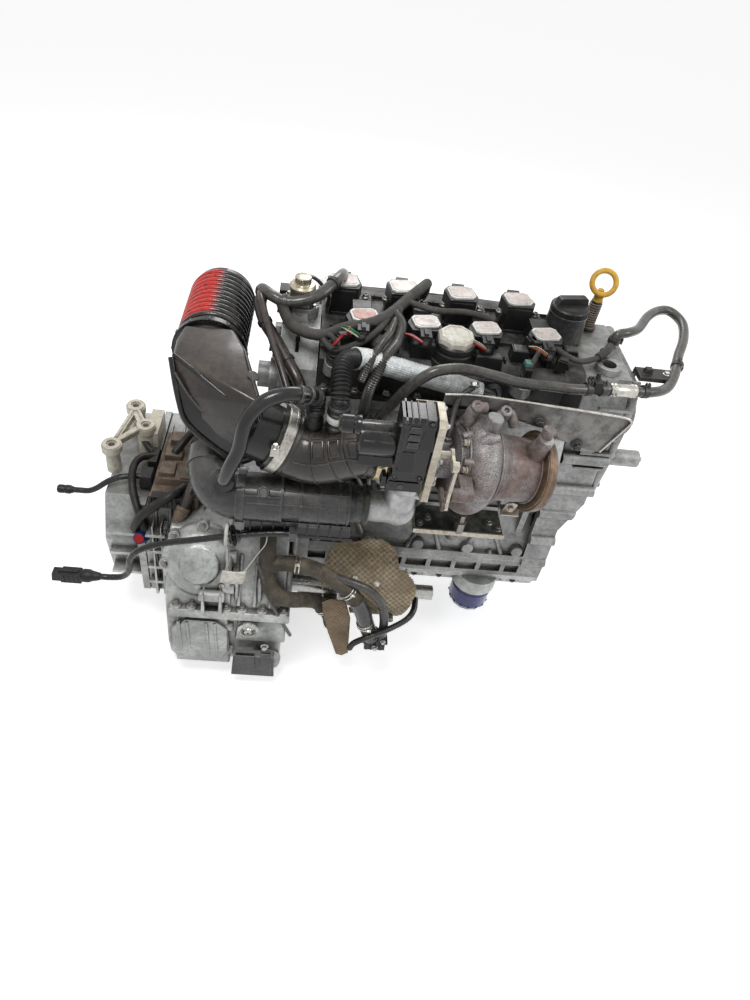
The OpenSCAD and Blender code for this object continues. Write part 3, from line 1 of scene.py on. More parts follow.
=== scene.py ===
"""Turbocharged four-cylinder petrol engine with its transverse gearbox: finishes and fine parts.

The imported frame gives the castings, the covers and everything that moves. The classes below dress
those nodes and build the fine parts round them. Sizes are in millimetres from the crankshaft's axis
at the gearbox joint, with X to the timing end, -Y to the exhaust side and Z up; at() turns them
into the frame's metres.
"""

import logging
import random
from collections.abc import Callable
from dataclasses import dataclass
from enum import Enum
from functools import cache
from math import cos, degrees, exp, pi, radians, sin

import bmesh
import bpy
import numpy as np
from mathutils import Matrix, Vector, noise


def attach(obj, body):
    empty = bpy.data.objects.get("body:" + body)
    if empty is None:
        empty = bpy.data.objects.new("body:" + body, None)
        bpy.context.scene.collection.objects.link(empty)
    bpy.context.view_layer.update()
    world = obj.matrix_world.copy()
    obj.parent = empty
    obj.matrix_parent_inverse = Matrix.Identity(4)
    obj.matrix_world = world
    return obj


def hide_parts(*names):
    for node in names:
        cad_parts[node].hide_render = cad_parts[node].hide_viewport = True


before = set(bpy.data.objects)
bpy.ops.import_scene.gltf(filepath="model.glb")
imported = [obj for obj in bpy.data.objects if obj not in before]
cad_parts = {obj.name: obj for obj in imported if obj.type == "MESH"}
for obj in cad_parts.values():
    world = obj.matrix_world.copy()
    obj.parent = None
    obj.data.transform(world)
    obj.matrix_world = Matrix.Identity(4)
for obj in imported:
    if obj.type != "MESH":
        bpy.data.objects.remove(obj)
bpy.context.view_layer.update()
LOG = logging.getLogger("engine")

FOOT_X = 106.0
FLOOR_DROP = 205.0
MM = 0.001
TURBO_AT = (232.0, -212.0, 308.0)
SHAFT = Vector((0.98032626, 0.12036893, -0.15643447))
UP, ALONG, REAR, FRONT = (0, 0, 1), (1, 0, 0), (0, 1, 0), (0, -1, 0)
Pair = tuple[float, float]
Point = tuple[float, float, float]
Colour = tuple[float, float, float]
Face = tuple[int, ...]


class Body(str, Enum):
  """The bodies that pieces ride on."""

  ENGINE = "engine"
  CAP = "filler_cap"


def at(point: Point) -> Vector:
  """Turns a point in millimetres from the crankshaft's axis into the frame's metres."""
  x, y, z = point
  return Vector(((x - FOOT_X) * MM, y * MM, (z + FLOOR_DROP) * MM))


def round_by(angle: float) -> Pair:
  """Returns the cosine and the sine of an angle in degrees."""
  return cos(radians(angle)), sin(radians(angle))


def linear(colour: Colour) -> tuple[float, ...]:
  """Turns a colour as it looks on a screen into linear light, with alpha 1."""
  parts = [c / 12.92 if c <= 0.04045 else ((c + 0.055) / 1.055) ** 2.4 for c in colour]
  return (*parts, 1.0)


def tinted(colour: Colour, factor: float) -> Colour:
  """Returns a colour made darker by a factor."""
  return tuple(factor * c for c in colour)


# ---- Shader graphs ----


def maths(operation: str, reflected: bool = False) -> Callable:
  """Makes a method of Socket that adds one Math node.

  Args:
    operation: The node's operation.
    reflected: Whether the other value comes first.

  Returns:
    The method.
  """

  def method(self: "Socket", *other: object) -> "Socket":
    """Adds the node on self and the other value."""
    values = (*other, self) if reflected else (self, *other)
    return self.graph.node("Math", {"operation": operation}, dict(enumerate(values)))

  return method


class Socket:
  """A node's output that takes part in Python expressions."""

  __add__, __radd__ = maths("ADD"), maths("ADD", True)
  __sub__, __rsub__ = maths("SUBTRACT"), maths("SUBTRACT", True)
  __mul__, __rmul__ = maths("MULTIPLY"), maths("MULTIPLY", True)
  __pow__, sine, most = maths("POWER"), maths("SINE"), maths("MAXIMUM")

  def __init__(self, graph: "Graph", link: bpy.types.NodeSocket | None) -> None:
    """Keeps the graph that the output belongs to."""
    self.graph, self.link = graph, link

  def ramp(self, low: float, high: float) -> "Socket":
    """Rises smoothly from 0 at low to 1 at high."""
    settings = {"interpolation_type": "SMOOTHSTEP", "clamp": True}
    return self.graph.node("MapRange", settings, {0: self, 1: low, 2: high, 3: 0.0, 4: 1.0})


class Graph:
  """The node tree of one material or of the world."""

  def __init__(self, tree: bpy.types.NodeTree) -> None:
    """Empties the tree."""
    self.tree = tree
    tree.nodes.clear()

  def node(self, kind: str, settings: dict | None = None, inputs: dict | None = None,
          out: int | str = 0) -> Socket:
    """Adds one node.

    Args:
      kind: The node's type, without "ShaderNode".
      settings: Its properties, set before its inputs.
      inputs: Socket name or number to a value or a Socket.
      out: The output that is wanted.

    Returns:
      That output.
    """
    made = self.tree.nodes.new("ShaderNode" + kind)
    for key, value in (settings or {}).items():
      setattr(made, key, value)
    for key, value in (inputs or {}).items():
      if isinstance(value, Socket):
        self.tree.links.new(value.link, made.inputs[key])
      else:
        made.inputs[key].default_value = value
    return Socket(self, made.outputs[out] if len(made.outputs) else None)

  def place(self) -> Socket:
    """Returns the place on the object, in metres."""
    return self.node("TexCoord", out="Object")

  def axis(self, index: int, vector: Socket | None = None) -> Socket:
    """Returns one coordinate of a vector, which is the place if none is given."""
    return self.node("SeparateXYZ", {}, {0: vector or self.place()}, out=index)

  def cloud(self, scale: float, detail: float = 3.0, rough: float = 0.55) -> Socket:
    """Returns cloudy noise round 0.5, with a scale in clouds per metre."""
    inputs = {"Vector": self.place(), "Scale": scale, "Detail": detail, "Roughness": rough}
    return self.node("TexNoise", {}, inputs)

  def cells(self, scale: float) -> Socket:
    """Returns the distance in a pattern of cells."""
    return self.node("TexVoronoi", {}, {"Vector": self.place(), "Scale": scale}, "Distance")

  def blend(self, factor: object, low: object, high: object) -> Socket:
    """Mixes two colours as they look, or Sockets, with a factor of the second."""
    ends = [c if isinstance(c, Socket) else linear(c) for c in (low, high)]
    return self.node("Mix", {"data_type": "RGBA"}, {0: factor, 6: ends[0], 7: ends[1]}, out=2)

  def worn_edge(self, radius: float) -> Socket:
    """Returns where an edge lies, from how a rounded normal differs from the true one."""
    soft = self.node("Bevel", {"samples": 4}, {"Radius": radius})
    true = self.node("NewGeometry", out="Normal")
    spread = self.node("VectorMath", {"operation": "DOT_PRODUCT"}, {0: soft, 1: true}, out=1)
    return (1 - spread).ramp(0.03, 0.22)

  def bump(self, height: Socket, strength: float, depth: float) -> Socket:
    """Turns a height into a normal."""
    return self.node("Bump", {}, {"Strength": strength, "Distance": depth, "Height": height})


@dataclass(frozen=True)
class Finish:
  """A surface with cloudy tones, stains, dust on top, painted shade in corners and worn edges.

  Colours are as they look; scales are clouds per metre; the amounts run from 0 to 1.
  """

  name: str
  colour: Colour
  second: Colour | None = None
  clouds: float = 16.0
  stain: Colour = (0.36, 0.29, 0.22)
  stained: float = 0.0
  stain_scale: float = 34.0
  dust: Colour = (0.62, 0.59, 0.53)
  dusty: float = 0.0
  # Painted shade in corners and crevices: its colour, its amount and the AO node's reach in metres.
  crevice_shade_colour: Colour = (0.09, 0.08, 0.07)
  crevice_shade: float = 0.0
  crevice_shade_reach: float = 0.012
  edge: Colour = (0.86, 0.85, 0.83)
  worn: float = 0.0
  rough: float = 0.5
  swing: float = 0.16
  metal: float = 0.0
  grain: float = 0.25
  grain_scale: float = 900.0
  dents: float = 0.0
  dents_scale: float = 60.0
  coat: float = 0.0
  grime: float = 0.4
  grime_scale: float = 130.0
  slot: str = ""

  def tone(self, graph: Graph) -> Socket:
    """Returns the colour before stains, dust and wear."""
    low = graph.cloud(self.clouds, 5.0, 0.6).ramp(0.36, 0.66)
    return graph.blend(low, self.colour, self.second or tinted(self.colour, 0.82))

  def relief(self, graph: Graph) -> Socket:
    """Returns the height of the grain and the dents."""
    fine = graph.cloud(self.grain_scale, 3.0, 0.7) * self.grain
    if not self.dents:
      return fine
    return fine + graph.cloud(self.dents_scale, 2.0) * (self.dents * 6.0)

  def aged(self, graph: Graph) -> Socket:
    """Returns the tone with its stains, grime, painted shade in corners, dust and worn edges.

    Args:
      graph: The material's graph.

    Returns:
      The colour.
    """
    colour = self.tone(graph)
    if self.stained:
      spots = graph.cloud(self.stain_scale, 6.0, 0.68).ramp(0.55, 0.72)
      colour = graph.blend(spots * self.stained, colour, self.stain)
    if self.grime:
      spots = graph.cloud(self.grime_scale, 8.0, 0.72).ramp(0.44, 0.64)
      colour = graph.blend(spots * self.grime, colour, tinted(self.colour, 0.55))
    # Painted shade: the dark colour is blended in where the AO node finds corners, creases and
    # gaps.
    if self.crevice_shade:
      sky = graph.node("AmbientOcclusion", {"samples": 5}, {"Distance": self.crevice_shade_reach}, "AO")
      colour = graph.blend((1 - sky.ramp(0.25, 0.95)) * self.crevice_shade, colour, self.crevice_shade_colour)
    if self.dusty:
      upward = graph.axis(2, graph.node("NewGeometry", out="Normal")).ramp(0.25, 0.95)
      fall = upward * graph.cloud(48.0, 5.0, 0.65).ramp(0.4, 0.7)
      colour = graph.blend(fall * self.dusty, colour, self.dust)
    if self.worn:
      worn = graph.worn_edge(0.0018) * graph.cloud(90.0, 3.0).ramp(0.3, 0.55)
      colour = graph.blend(worn * self.worn, colour, self.edge)
    return colour

  @cache
  def build(self) -> bpy.types.Material:
    """Builds the material, once for each finish."""
    material = bpy.data.materials.new(self.name)
    material.use_nodes = True
    graph = Graph(material.node_tree)
    colour = self.aged(graph)
    swing = graph.cloud(self.clouds * 2.3, 4.0).ramp(0.3, 0.7)
    inputs = {"Base Color": colour, "Roughness": swing * self.swing + (self.rough - self.swing / 2),
        "Metallic": self.metal, "Specular IOR Level": 0.5 if self.metal else 0.3,
        "Coat Weight": self.coat, "Coat Roughness": 0.12, "Normal": graph.bump(self.relief(graph),
        0.6, 0.0006)}
    shader = graph.node("BsdfPrincipled", {}, inputs)
    graph.node("OutputMaterial", {}, {"Surface": shader})
    return material


@dataclass(frozen=True)
class RustyIron(Finish):
  """Exhaust casting: brown scale that turns blue-grey in patches, pitted like sand."""

  heat: Colour = (0.68, 0.69, 0.7)

  def tone(self, graph: Graph) -> Socket:
    """Returns brown scale with blue-grey speckle and rust in patches."""
    speckle = graph.cloud(560.0, 4.0, 0.8).ramp(0.4, 0.6)
    patch = graph.cloud(11.0, 4.0).ramp(0.4, 0.58)
    brown = graph.blend(graph.cloud(60.0, 5.0, 0.7).ramp(0.35, 0.7), self.colour,
        self.second or self.colour)
    return graph.blend(patch * (speckle * 0.85 + 0.08), brown, self.heat)


@dataclass(frozen=True)
class EmbossedSheet(Finish):
  """Thin heat shield pressed with a fine grid of square dimples."""

  pitch: float = 0.0105

  def grid(self, graph: Graph) -> Socket:
    """Returns the height of the square dimples."""
    turns = 2 * pi / self.pitch
    across = (graph.axis(0) * turns).sine()
    along = ((graph.axis(2) + graph.axis(1) * 0.7) * turns).sine()
    return (across * along).ramp(-0.5, 0.75)

  def tone(self, graph: Graph) -> Socket:
    """Returns painted shade in the hollows between pale raised squares."""
    base = Finish.tone(self, graph)
    # Painted shade: the grid's hollows are darkened to 0.62 of the colour.
    return graph.blend(self.grid(graph) * 0.7, base, tuple(0.62 * c for c in self.colour))

  def relief(self, graph: Graph) -> Socket:
    """Returns the dimples with a little grain."""
    return graph.cloud(700.0) * 0.4 - self.grid(graph) * 2.2


@dataclass(frozen=True)
class WovenFoil(Finish):
  """Silver sleeve of foil over glass weave."""

  def relief(self, graph: Graph) -> Socket:
    """Returns a fine diagonal weave."""
    turns = 2 * pi / 0.0034
    one = ((graph.axis(0) + graph.axis(2) * 0.8) * turns).sine()
    two = ((graph.axis(0) * 0.8 - graph.axis(1)) * turns).sine()
    return one * two * 0.8 + graph.cloud(60.0, 3.0) * 2.0


@dataclass(frozen=True)
class PaintedRidges(Finish):
  """Black rubber bellows with red overspray on the ridges of one side."""

  paint: Colour = (0.82, 0.13, 0.09)
  limit: float = -0.272
  crest: float = 0.0508
  centre_z: float = 0.569

  def tone(self, graph: Graph) -> Socket:
    """Returns black rubber, red where a ridge's crest faces up on the left."""
    base = Finish.tone(self, graph)
    x, y, z = (graph.axis(i) for i in range(3))
    side = 1 - x.ramp(self.limit - 0.006, self.limit + 0.012)
    top = z.ramp(self.centre_z + 0.01, self.centre_z + 0.024)
    radius = ((x + 0.268) ** 2.0 + (z - self.centre_z) ** 2.0) ** 0.5
    crest = radius.ramp(self.crest - 0.0015, self.crest + 0.0015)
    breaks = graph.cloud(85.0, 5.0, 0.75).ramp(0.32, 0.46)
    near = y.ramp(-0.052, -0.044)
    return graph.blend(side * top * crest * breaks * near, base, self.paint)


@dataclass(frozen=True)
class TapedLead(Finish):
  """Black cloth tape with pale specks where the weave shows."""

  speck: Colour = (0.62, 0.62, 0.6)
  specks: float = 0.8

  def tone(self, graph: Graph) -> Socket:
    """Returns black tape with small pale specks."""
    dots = 1 - graph.cells(420.0).ramp(0.1, 0.17)
    patch = graph.cloud(38.0, 2.0).ramp(0.5, 0.62)
    return graph.blend(dots * patch * self.specks, Finish.tone(self, graph), self.speck)

  def relief(self, graph: Graph) -> Socket:
    """Returns slanted turns of tape."""
    turns = (graph.axis(0) * 460.0 + graph.axis(2) * 240.0).sine()
    return turns * 0.5 + graph.cloud(600.0, 3.0) * 0.7


# ---- Finishes ----

# Near-black colour of the painted shade in the castings' corners and crevices.
GREY_CREVICE_SHADE = (0.17, 0.16, 0.145)
CAST_BLOCK = Finish("cast_block", (0.56, 0.565, 0.56), (0.71, 0.715, 0.71), stained=0.45,
    stain=(0.4, 0.375, 0.34), crevice_shade_colour=GREY_CREVICE_SHADE, crevice_shade=0.95, crevice_shade_reach=0.03, dusty=0.2, worn=0.8,
    rough=0.44, metal=0.35, grain=0.7, dents=0.1)
CASE = Finish("cast_case", (0.82, 0.83, 0.82), (0.63, 0.64, 0.63), stained=0.4, stain=(0.47, 0.42,
    0.35), crevice_shade_colour=(0.22, 0.205, 0.185), crevice_shade=0.95, crevice_shade_reach=0.03, dusty=0.1, worn=0.8, rough=0.4,
    metal=0.35, grain=0.7, dents=0.1, dents_scale=34.0)
CAST_CLEAN = Finish("cast_clean", (0.84, 0.845, 0.84), (0.7, 0.705, 0.7), stained=0.15,
    crevice_shade_colour=GREY_CREVICE_SHADE, crevice_shade=0.85, crevice_shade_reach=0.03, worn=0.5, rough=0.36, metal=0.4, grain=0.45)
CREAM_CAST = Finish("cream_cast", (0.87, 0.85, 0.79), (0.79, 0.76, 0.69), stained=0.3,
    crevice_shade_colour=(0.36, 0.33, 0.28), crevice_shade=0.35, rough=0.5, metal=0.15, grain=0.5)
COVER = Finish("cover_plastic", (0.125, 0.125, 0.13), (0.2, 0.195, 0.19), dusty=0.6,
    dust=(0.42, 0.41, 0.39), edge=(0.33, 0.33, 0.33), worn=0.5, rough=0.42, grain=0.5)
GLOSS = Finish("gloss_black", (0.035, 0.035, 0.038), (0.075, 0.073, 0.07), dusty=0.12, rough=0.16,
    swing=0.12, grain=0.12, coat=0.3, edge=(0.5, 0.5, 0.5), worn=0.5)
DUCT_PLASTIC = Finish("duct_plastic", (0.255, 0.225, 0.21), (0.165, 0.147, 0.137), dusty=0.5,
    dust=(0.36, 0.32, 0.28), edge=(0.52, 0.5, 0.48), worn=0.55, rough=0.3, swing=0.24, grain=0.35,
    coat=0.3, grime=0.7)
# Dark duct plastic; it also paints the shade of the duct's front recess.
DUCT_DARK = Finish("duct_dark", (0.075, 0.075, 0.08), (0.13, 0.125, 0.12), dusty=0.3,
    dust=(0.3, 0.3, 0.29), rough=0.3, grain=0.3, coat=0.25, slot="duct_plastic")
BROWN_PLASTIC = Finish("brown_plastic", (0.36, 0.31, 0.27), (0.46, 0.4, 0.35), stained=0.3,
    dusty=0.55, dust=(0.56, 0.5, 0.43), crevice_shade=0.6, edge=(0.5, 0.46, 0.42), worn=0.5, rough=0.5)
PLASTIC = Finish("black_plastic", (0.1, 0.1, 0.105), (0.15, 0.148, 0.145), dusty=0.3,
    dust=(0.33, 0.32, 0.3), edge=(0.3, 0.3, 0.3), worn=0.4, rough=0.38, grain=0.4,
    slot="cover_plastic")
# Grey plastic; also used for painted highlights on the actuator and painted shade on the gearbox's
# front.
GREY = Finish("grey_plastic", (0.31, 0.31, 0.31), (0.19, 0.19, 0.19), stained=0.35, coat=0.25,
    stain=(0.42, 0.39, 0.34), dusty=0.35, dust=(0.48, 0.46, 0.43), edge=(0.6, 0.6, 0.6), worn=0.7,
    rough=0.28, grain=0.4, grime=0.75, slot="cover_plastic")
PALE_PLASTIC = Finish("pale_plastic", (0.86, 0.85, 0.81), (0.78, 0.76, 0.7), stained=0.35,
    stain=(0.62, 0.53, 0.38), stain_scale=55.0, crevice_shade=0.4, crevice_shade_colour=(0.4, 0.36, 0.3), rough=0.42,
    grain=0.3)
COIL_PLATE = Finish("coil_plate", (0.82, 0.78, 0.76), (0.73, 0.68, 0.655), stained=0.35,
    stain=(0.45, 0.41, 0.36), rough=0.4, metal=0.15, grain=0.3, slot="pale_plastic")
COIL_TINT = Finish("coil_tint", (0.66, 0.48, 0.44), (0.66, 0.6, 0.56), stained=0.3,
    stain=(0.45, 0.41, 0.36), rough=0.4, metal=0.15, grain=0.3, slot="pale_plastic")
COIL_RIM = Finish("coil_rim", (0.88, 0.88, 0.86), (0.8, 0.8, 0.78), rough=0.35, grain=0.2,
    slot="pale_plastic")
YELLOW_PLASTIC = Finish("yellow_plastic", (0.9, 0.74, 0.33), (0.82, 0.63, 0.24), rough=0.36,
    stained=0.2, grain=0.2, slot="pale_plastic")
RUBBER = Finish("black_rubber", (0.1, 0.098, 0.095), (0.155, 0.145, 0.135), dusty=0.4,
    dust=(0.33, 0.3, 0.27), edge=(0.36, 0.34, 0.32), worn=0.35, rough=0.44, grain=0.5)
ELBOW_RUBBER = Finish("elbow_rubber", (0.115, 0.108, 0.102), (0.2, 0.18, 0.165), dusty=0.5,
    dust=(0.34, 0.31, 0.28), edge=(0.42, 0.39, 0.36), worn=0.5, rough=0.3, grain=0.5, crevice_shade=0.5,
    coat=0.45, slot="black_rubber")
GLOSS_HOSE = Finish("gloss_hose", (0.065, 0.065, 0.068), (0.12, 0.115, 0.11), dusty=0.3,
    dust=(0.36, 0.34, 0.32), rough=0.26, grain=0.15, coat=0.35, slot="black_rubber")
GREY_HOSE = Finish("grey_hose", (0.25, 0.245, 0.235), (0.32, 0.31, 0.295), dusty=0.35,
    dust=(0.48, 0.46, 0.43), stained=0.2, rough=0.3, grain=0.4, coat=0.4, grime=0.7,
    slot="black_rubber")
DUSTY_RUBBER = Finish("dusty_rubber", (0.36, 0.335, 0.29), (0.24, 0.225, 0.195), clouds=28.0,
    stained=0.4, stain=(0.17, 0.155, 0.14), dusty=0.5, dust=(0.58, 0.53, 0.45), rough=0.7,
    grain=0.8)
HOT_IRON = RustyIron("hot_iron", (0.5, 0.43, 0.405), (0.35, 0.28, 0.255), stained=0.2,
    stain=(0.5, 0.33, 0.22), stain_scale=46.0, crevice_shade=0.7, crevice_shade_colour=(0.12, 0.08, 0.06),
    edge=(0.62, 0.62, 0.63), worn=0.5, rough=0.5, metal=0.3, grain=1.0, grain_scale=620.0)
RUST_BAND = RustyIron("rust_band", (0.53, 0.43, 0.34), (0.4, 0.31, 0.245), heat=(0.45, 0.4, 0.36),
    edge=(0.8, 0.74, 0.66), worn=0.8, rough=0.42, metal=0.45, grain=0.8, slot="hot_iron")
WARM_IRON = RustyIron("warm_iron", (0.4, 0.33, 0.3), (0.3, 0.24, 0.22), rough=0.5, metal=0.4,
    crevice_shade=0.5, edge=(0.7, 0.68, 0.65), worn=0.5, grain=0.8)
SHIELD_STEEL = Finish("shield_steel", (0.52, 0.51, 0.5), (0.27, 0.265, 0.255), stained=0.7,
    grime=0.7, grime_scale=32.0, stain=(0.31, 0.27, 0.23), edge=(0.9, 0.88, 0.85), worn=0.8,
    rough=0.4, metal=0.45, grain=0.3, dents=0.12, dents_scale=26.0)
TAN_SHIELD = EmbossedSheet("tan_shield", (0.82, 0.75, 0.64), (0.62, 0.55, 0.45), clouds=22.0,
    stained=0.6, stain=(0.36, 0.29, 0.22), edge=(0.75, 0.68, 0.58), worn=0.6, rough=0.62, metal=0.0)
TAN_WEAVE = EmbossedSheet("tan_weave", (0.66, 0.57, 0.46), (0.54, 0.46, 0.37), pitch=0.0075,
    rough=0.65, edge=(0.85, 0.82, 0.78), worn=0.8, slot="tan_shield")
BAND = Finish("clamp_steel", (0.82, 0.81, 0.78), (0.7, 0.69, 0.66), stained=0.5, stain=(0.45, 0.33,
    0.22), stain_scale=60.0, rough=0.28, metal=0.85, grain=0.3)
GOLD_CLAMP = Finish("gold_clamp", (0.8, 0.74, 0.58), (0.72, 0.68, 0.6), stained=0.4, rough=0.3,
    metal=0.8, grain=0.3, slot="clamp_steel")
MACHINED = Finish("machined_steel", (0.74, 0.74, 0.73), (0.64, 0.64, 0.63), stained=0.2, rough=0.28,
    metal=0.85, grain=0.15)
BOLT = Finish("bolt_steel", (0.56, 0.55, 0.53), (0.45, 0.44, 0.42), stained=0.4, stain=(0.36, 0.27,
    0.2), edge=(0.9, 0.9, 0.88), worn=0.6, rough=0.35, metal=0.8, grain=0.3, slot="machined_steel")
DARK = Finish("dark_steel", (0.24, 0.24, 0.24), (0.31, 0.3, 0.29), stained=0.4, edge=(0.6, 0.6,
    0.6), worn=0.6, rough=0.42, metal=0.6, grain=0.4)
PLATED = Finish("plated_steel", (0.8, 0.775, 0.72), (0.69, 0.655, 0.59), stained=0.45,
    stain=(0.5, 0.4, 0.27), crevice_shade=0.4, edge=(0.95, 0.93, 0.88), worn=0.5, rough=0.34, metal=0.6,
    grain=0.3)
SUPPORT_PAINT = Finish("support_paint", (0.2, 0.235, 0.23), (0.15, 0.17, 0.17), dusty=0.3,
    stained=0.2, edge=(0.72, 0.68, 0.62), worn=0.95, rough=0.36, grain=0.3, coat=0.2,
    slot="plated_steel")
FILTER_PAINT = Finish("filter_paint", (0.05, 0.13, 0.5), (0.035, 0.09, 0.38), dusty=0.1, rough=0.22,
    grain=0.1, coat=0.6)
PUMP_BRASS = Finish("pump_brass", (0.82, 0.8, 0.74), (0.72, 0.68, 0.59), stained=0.35, rough=0.3,
    metal=0.75, grain=0.2)
FOIL = WovenFoil("foil_sleeve", (0.86, 0.87, 0.87), (0.76, 0.78, 0.78), stained=0.15,
    stain=(0.5, 0.47, 0.43), crevice_shade=0.3, crevice_shade_colour=(0.3, 0.29, 0.28), rough=0.38, metal=0.35,
    slot="foil_sleeve")
PISTON = Finish("piston_alloy", (0.72, 0.72, 0.71), (0.62, 0.62, 0.61), rough=0.34, metal=0.7)
BELLOWS = PaintedRidges("bellows_rubber", (0.06, 0.06, 0.062), (0.1, 0.098, 0.095), rough=0.24,
    grain=0.2, coat=0.4, dusty=0.15)
LEAD_TAPE = TapedLead("lead_tape", (0.05, 0.05, 0.052), (0.08, 0.08, 0.08), rough=0.3, coat=0.3,
    slot="black_rubber")
LOOM_TAPE = TapedLead("loom_tape", (0.3, 0.29, 0.275), (0.21, 0.205, 0.195), specks=0.2, rough=0.62,
    slot="black_rubber")
PAPER = Finish("tag_paper", (0.93, 0.92, 0.88), (0.86, 0.84, 0.79), stained=0.3, stain=(0.7, 0.66,
    0.58), rough=0.7, grain=0.2, slot="pale_plastic")
PAINT_DOT = Finish("paint_dot", (0.13, 0.6, 0.38), (0.1, 0.5, 0.32), rough=0.4, grain=0.2,
    slot="brown_plastic")
BLUE_PART = Finish("blue_part", (0.16, 0.22, 0.45), (0.12, 0.16, 0.34), rough=0.4, grain=0.2,
    slot="cover_plastic")
TEAL_PART = Finish("teal_part", (0.36, 0.56, 0.53), (0.3, 0.46, 0.44), rough=0.4, grain=0.2,
    slot="cover_plastic")
RED_PART = Finish("red_part", (0.74, 0.12, 0.1), (0.6, 0.1, 0.08), rough=0.36, grain=0.2,
    slot="cover_plastic")
WIRES = {"red": Finish("wire_red", (0.72, 0.16, 0.12), rough=0.4, grain=0.1, slot="cover_plastic"),
    "green": Finish("wire_green", (0.15, 0.5, 0.3), rough=0.4, grain=0.1, slot="cover_plastic"),
    "white": Finish("wire_white", (0.85, 0.84, 0.8), rough=0.4, grain=0.1, slot="cover_plastic"),
    "pink": Finish("wire_pink", (0.8, 0.45, 0.48), rough=0.4, grain=0.1, slot="cover_plastic")}


# ---- Mesh work ----


def listed(rows: str | list) -> list:
  """Returns rows of numbers, read from text such as "0 0, 52 0, 0 7.8" if they aren't a list."""
  if isinstance(rows, str):
    return [tuple(float(v) if "." in v else int(v) for v in row.split()) for row in rows.split(",")]
  return rows


def catmull(points: str | list[Point], steps: int) -> list[Vector]:
  """Runs a smooth path through points.

  Args:
    points: The points, in millimetres.
    steps: Pieces between each two.

  Returns:
    The path.
  """
  p = [Vector(q) for q in listed(points)]
  path = []
  for i in range(len(p) - 1):
    a, b, c, d = p[max(i - 1, 0)], p[i], p[i + 1], p[min(i + 2, len(p) - 1)]
    for t in (k / steps for k in range(steps)):
      path.append(0.5 * (2 * b + (c - a) * t + (2 * a - 5 * b + 4 * c - d) * t * t + (3 * b - a - 3
          * c + d) * t ** 3))
  return path + [p[-1]]


def basis(axis: Vector, hint: Vector | None = None) -> tuple[Vector, Vector, Vector]:
  """Returns two directions square to an axis, and the axis."""
  w = Vector(axis).normalized()
  hint = hint or Vector(UP if abs(w.z) < 0.9 else ALONG)
  u = (hint - w * hint.dot(w)).normalized()
  return u, w.cross(u), w


def spin(base: Point, axis: Point, rows: list[Pair], sides: int, turn: float = 0.0) -> list[Vector]:
  """Returns rows of points round an axis, from radius and height pairs."""
  u, v, w = basis(axis)
  angles = [2 * pi * j / sides + radians(turn) for j in range(sides)]
  return [Vector(base) + w * h + r * (cos(a) * u + sin(a) * v) for r, h in rows for a in angles]


def quads(rows: int, sides: int, closed: bool = False) -> list[Face]:
  """Returns the faces between rows of points that run round a tube, or a closed ring."""
  return [(i * sides + j, i * sides + (j + 1) % sides, (i + 1) % rows * sides + (j + 1) % sides,
      (i + 1) % rows * sides + j) for i in range(rows if closed else rows - 1)
      for j in range(sides)]


def thicken(made: bpy.types.Object, thick: float, offset: float = 0.0) -> bpy.types.Object:
  """Gives a sheet its thickness, in millimetres."""
  wall = made.modifiers.new("thickness", "SOLIDIFY")
  wall.thickness, wall.offset = thick * MM, offset
  return made


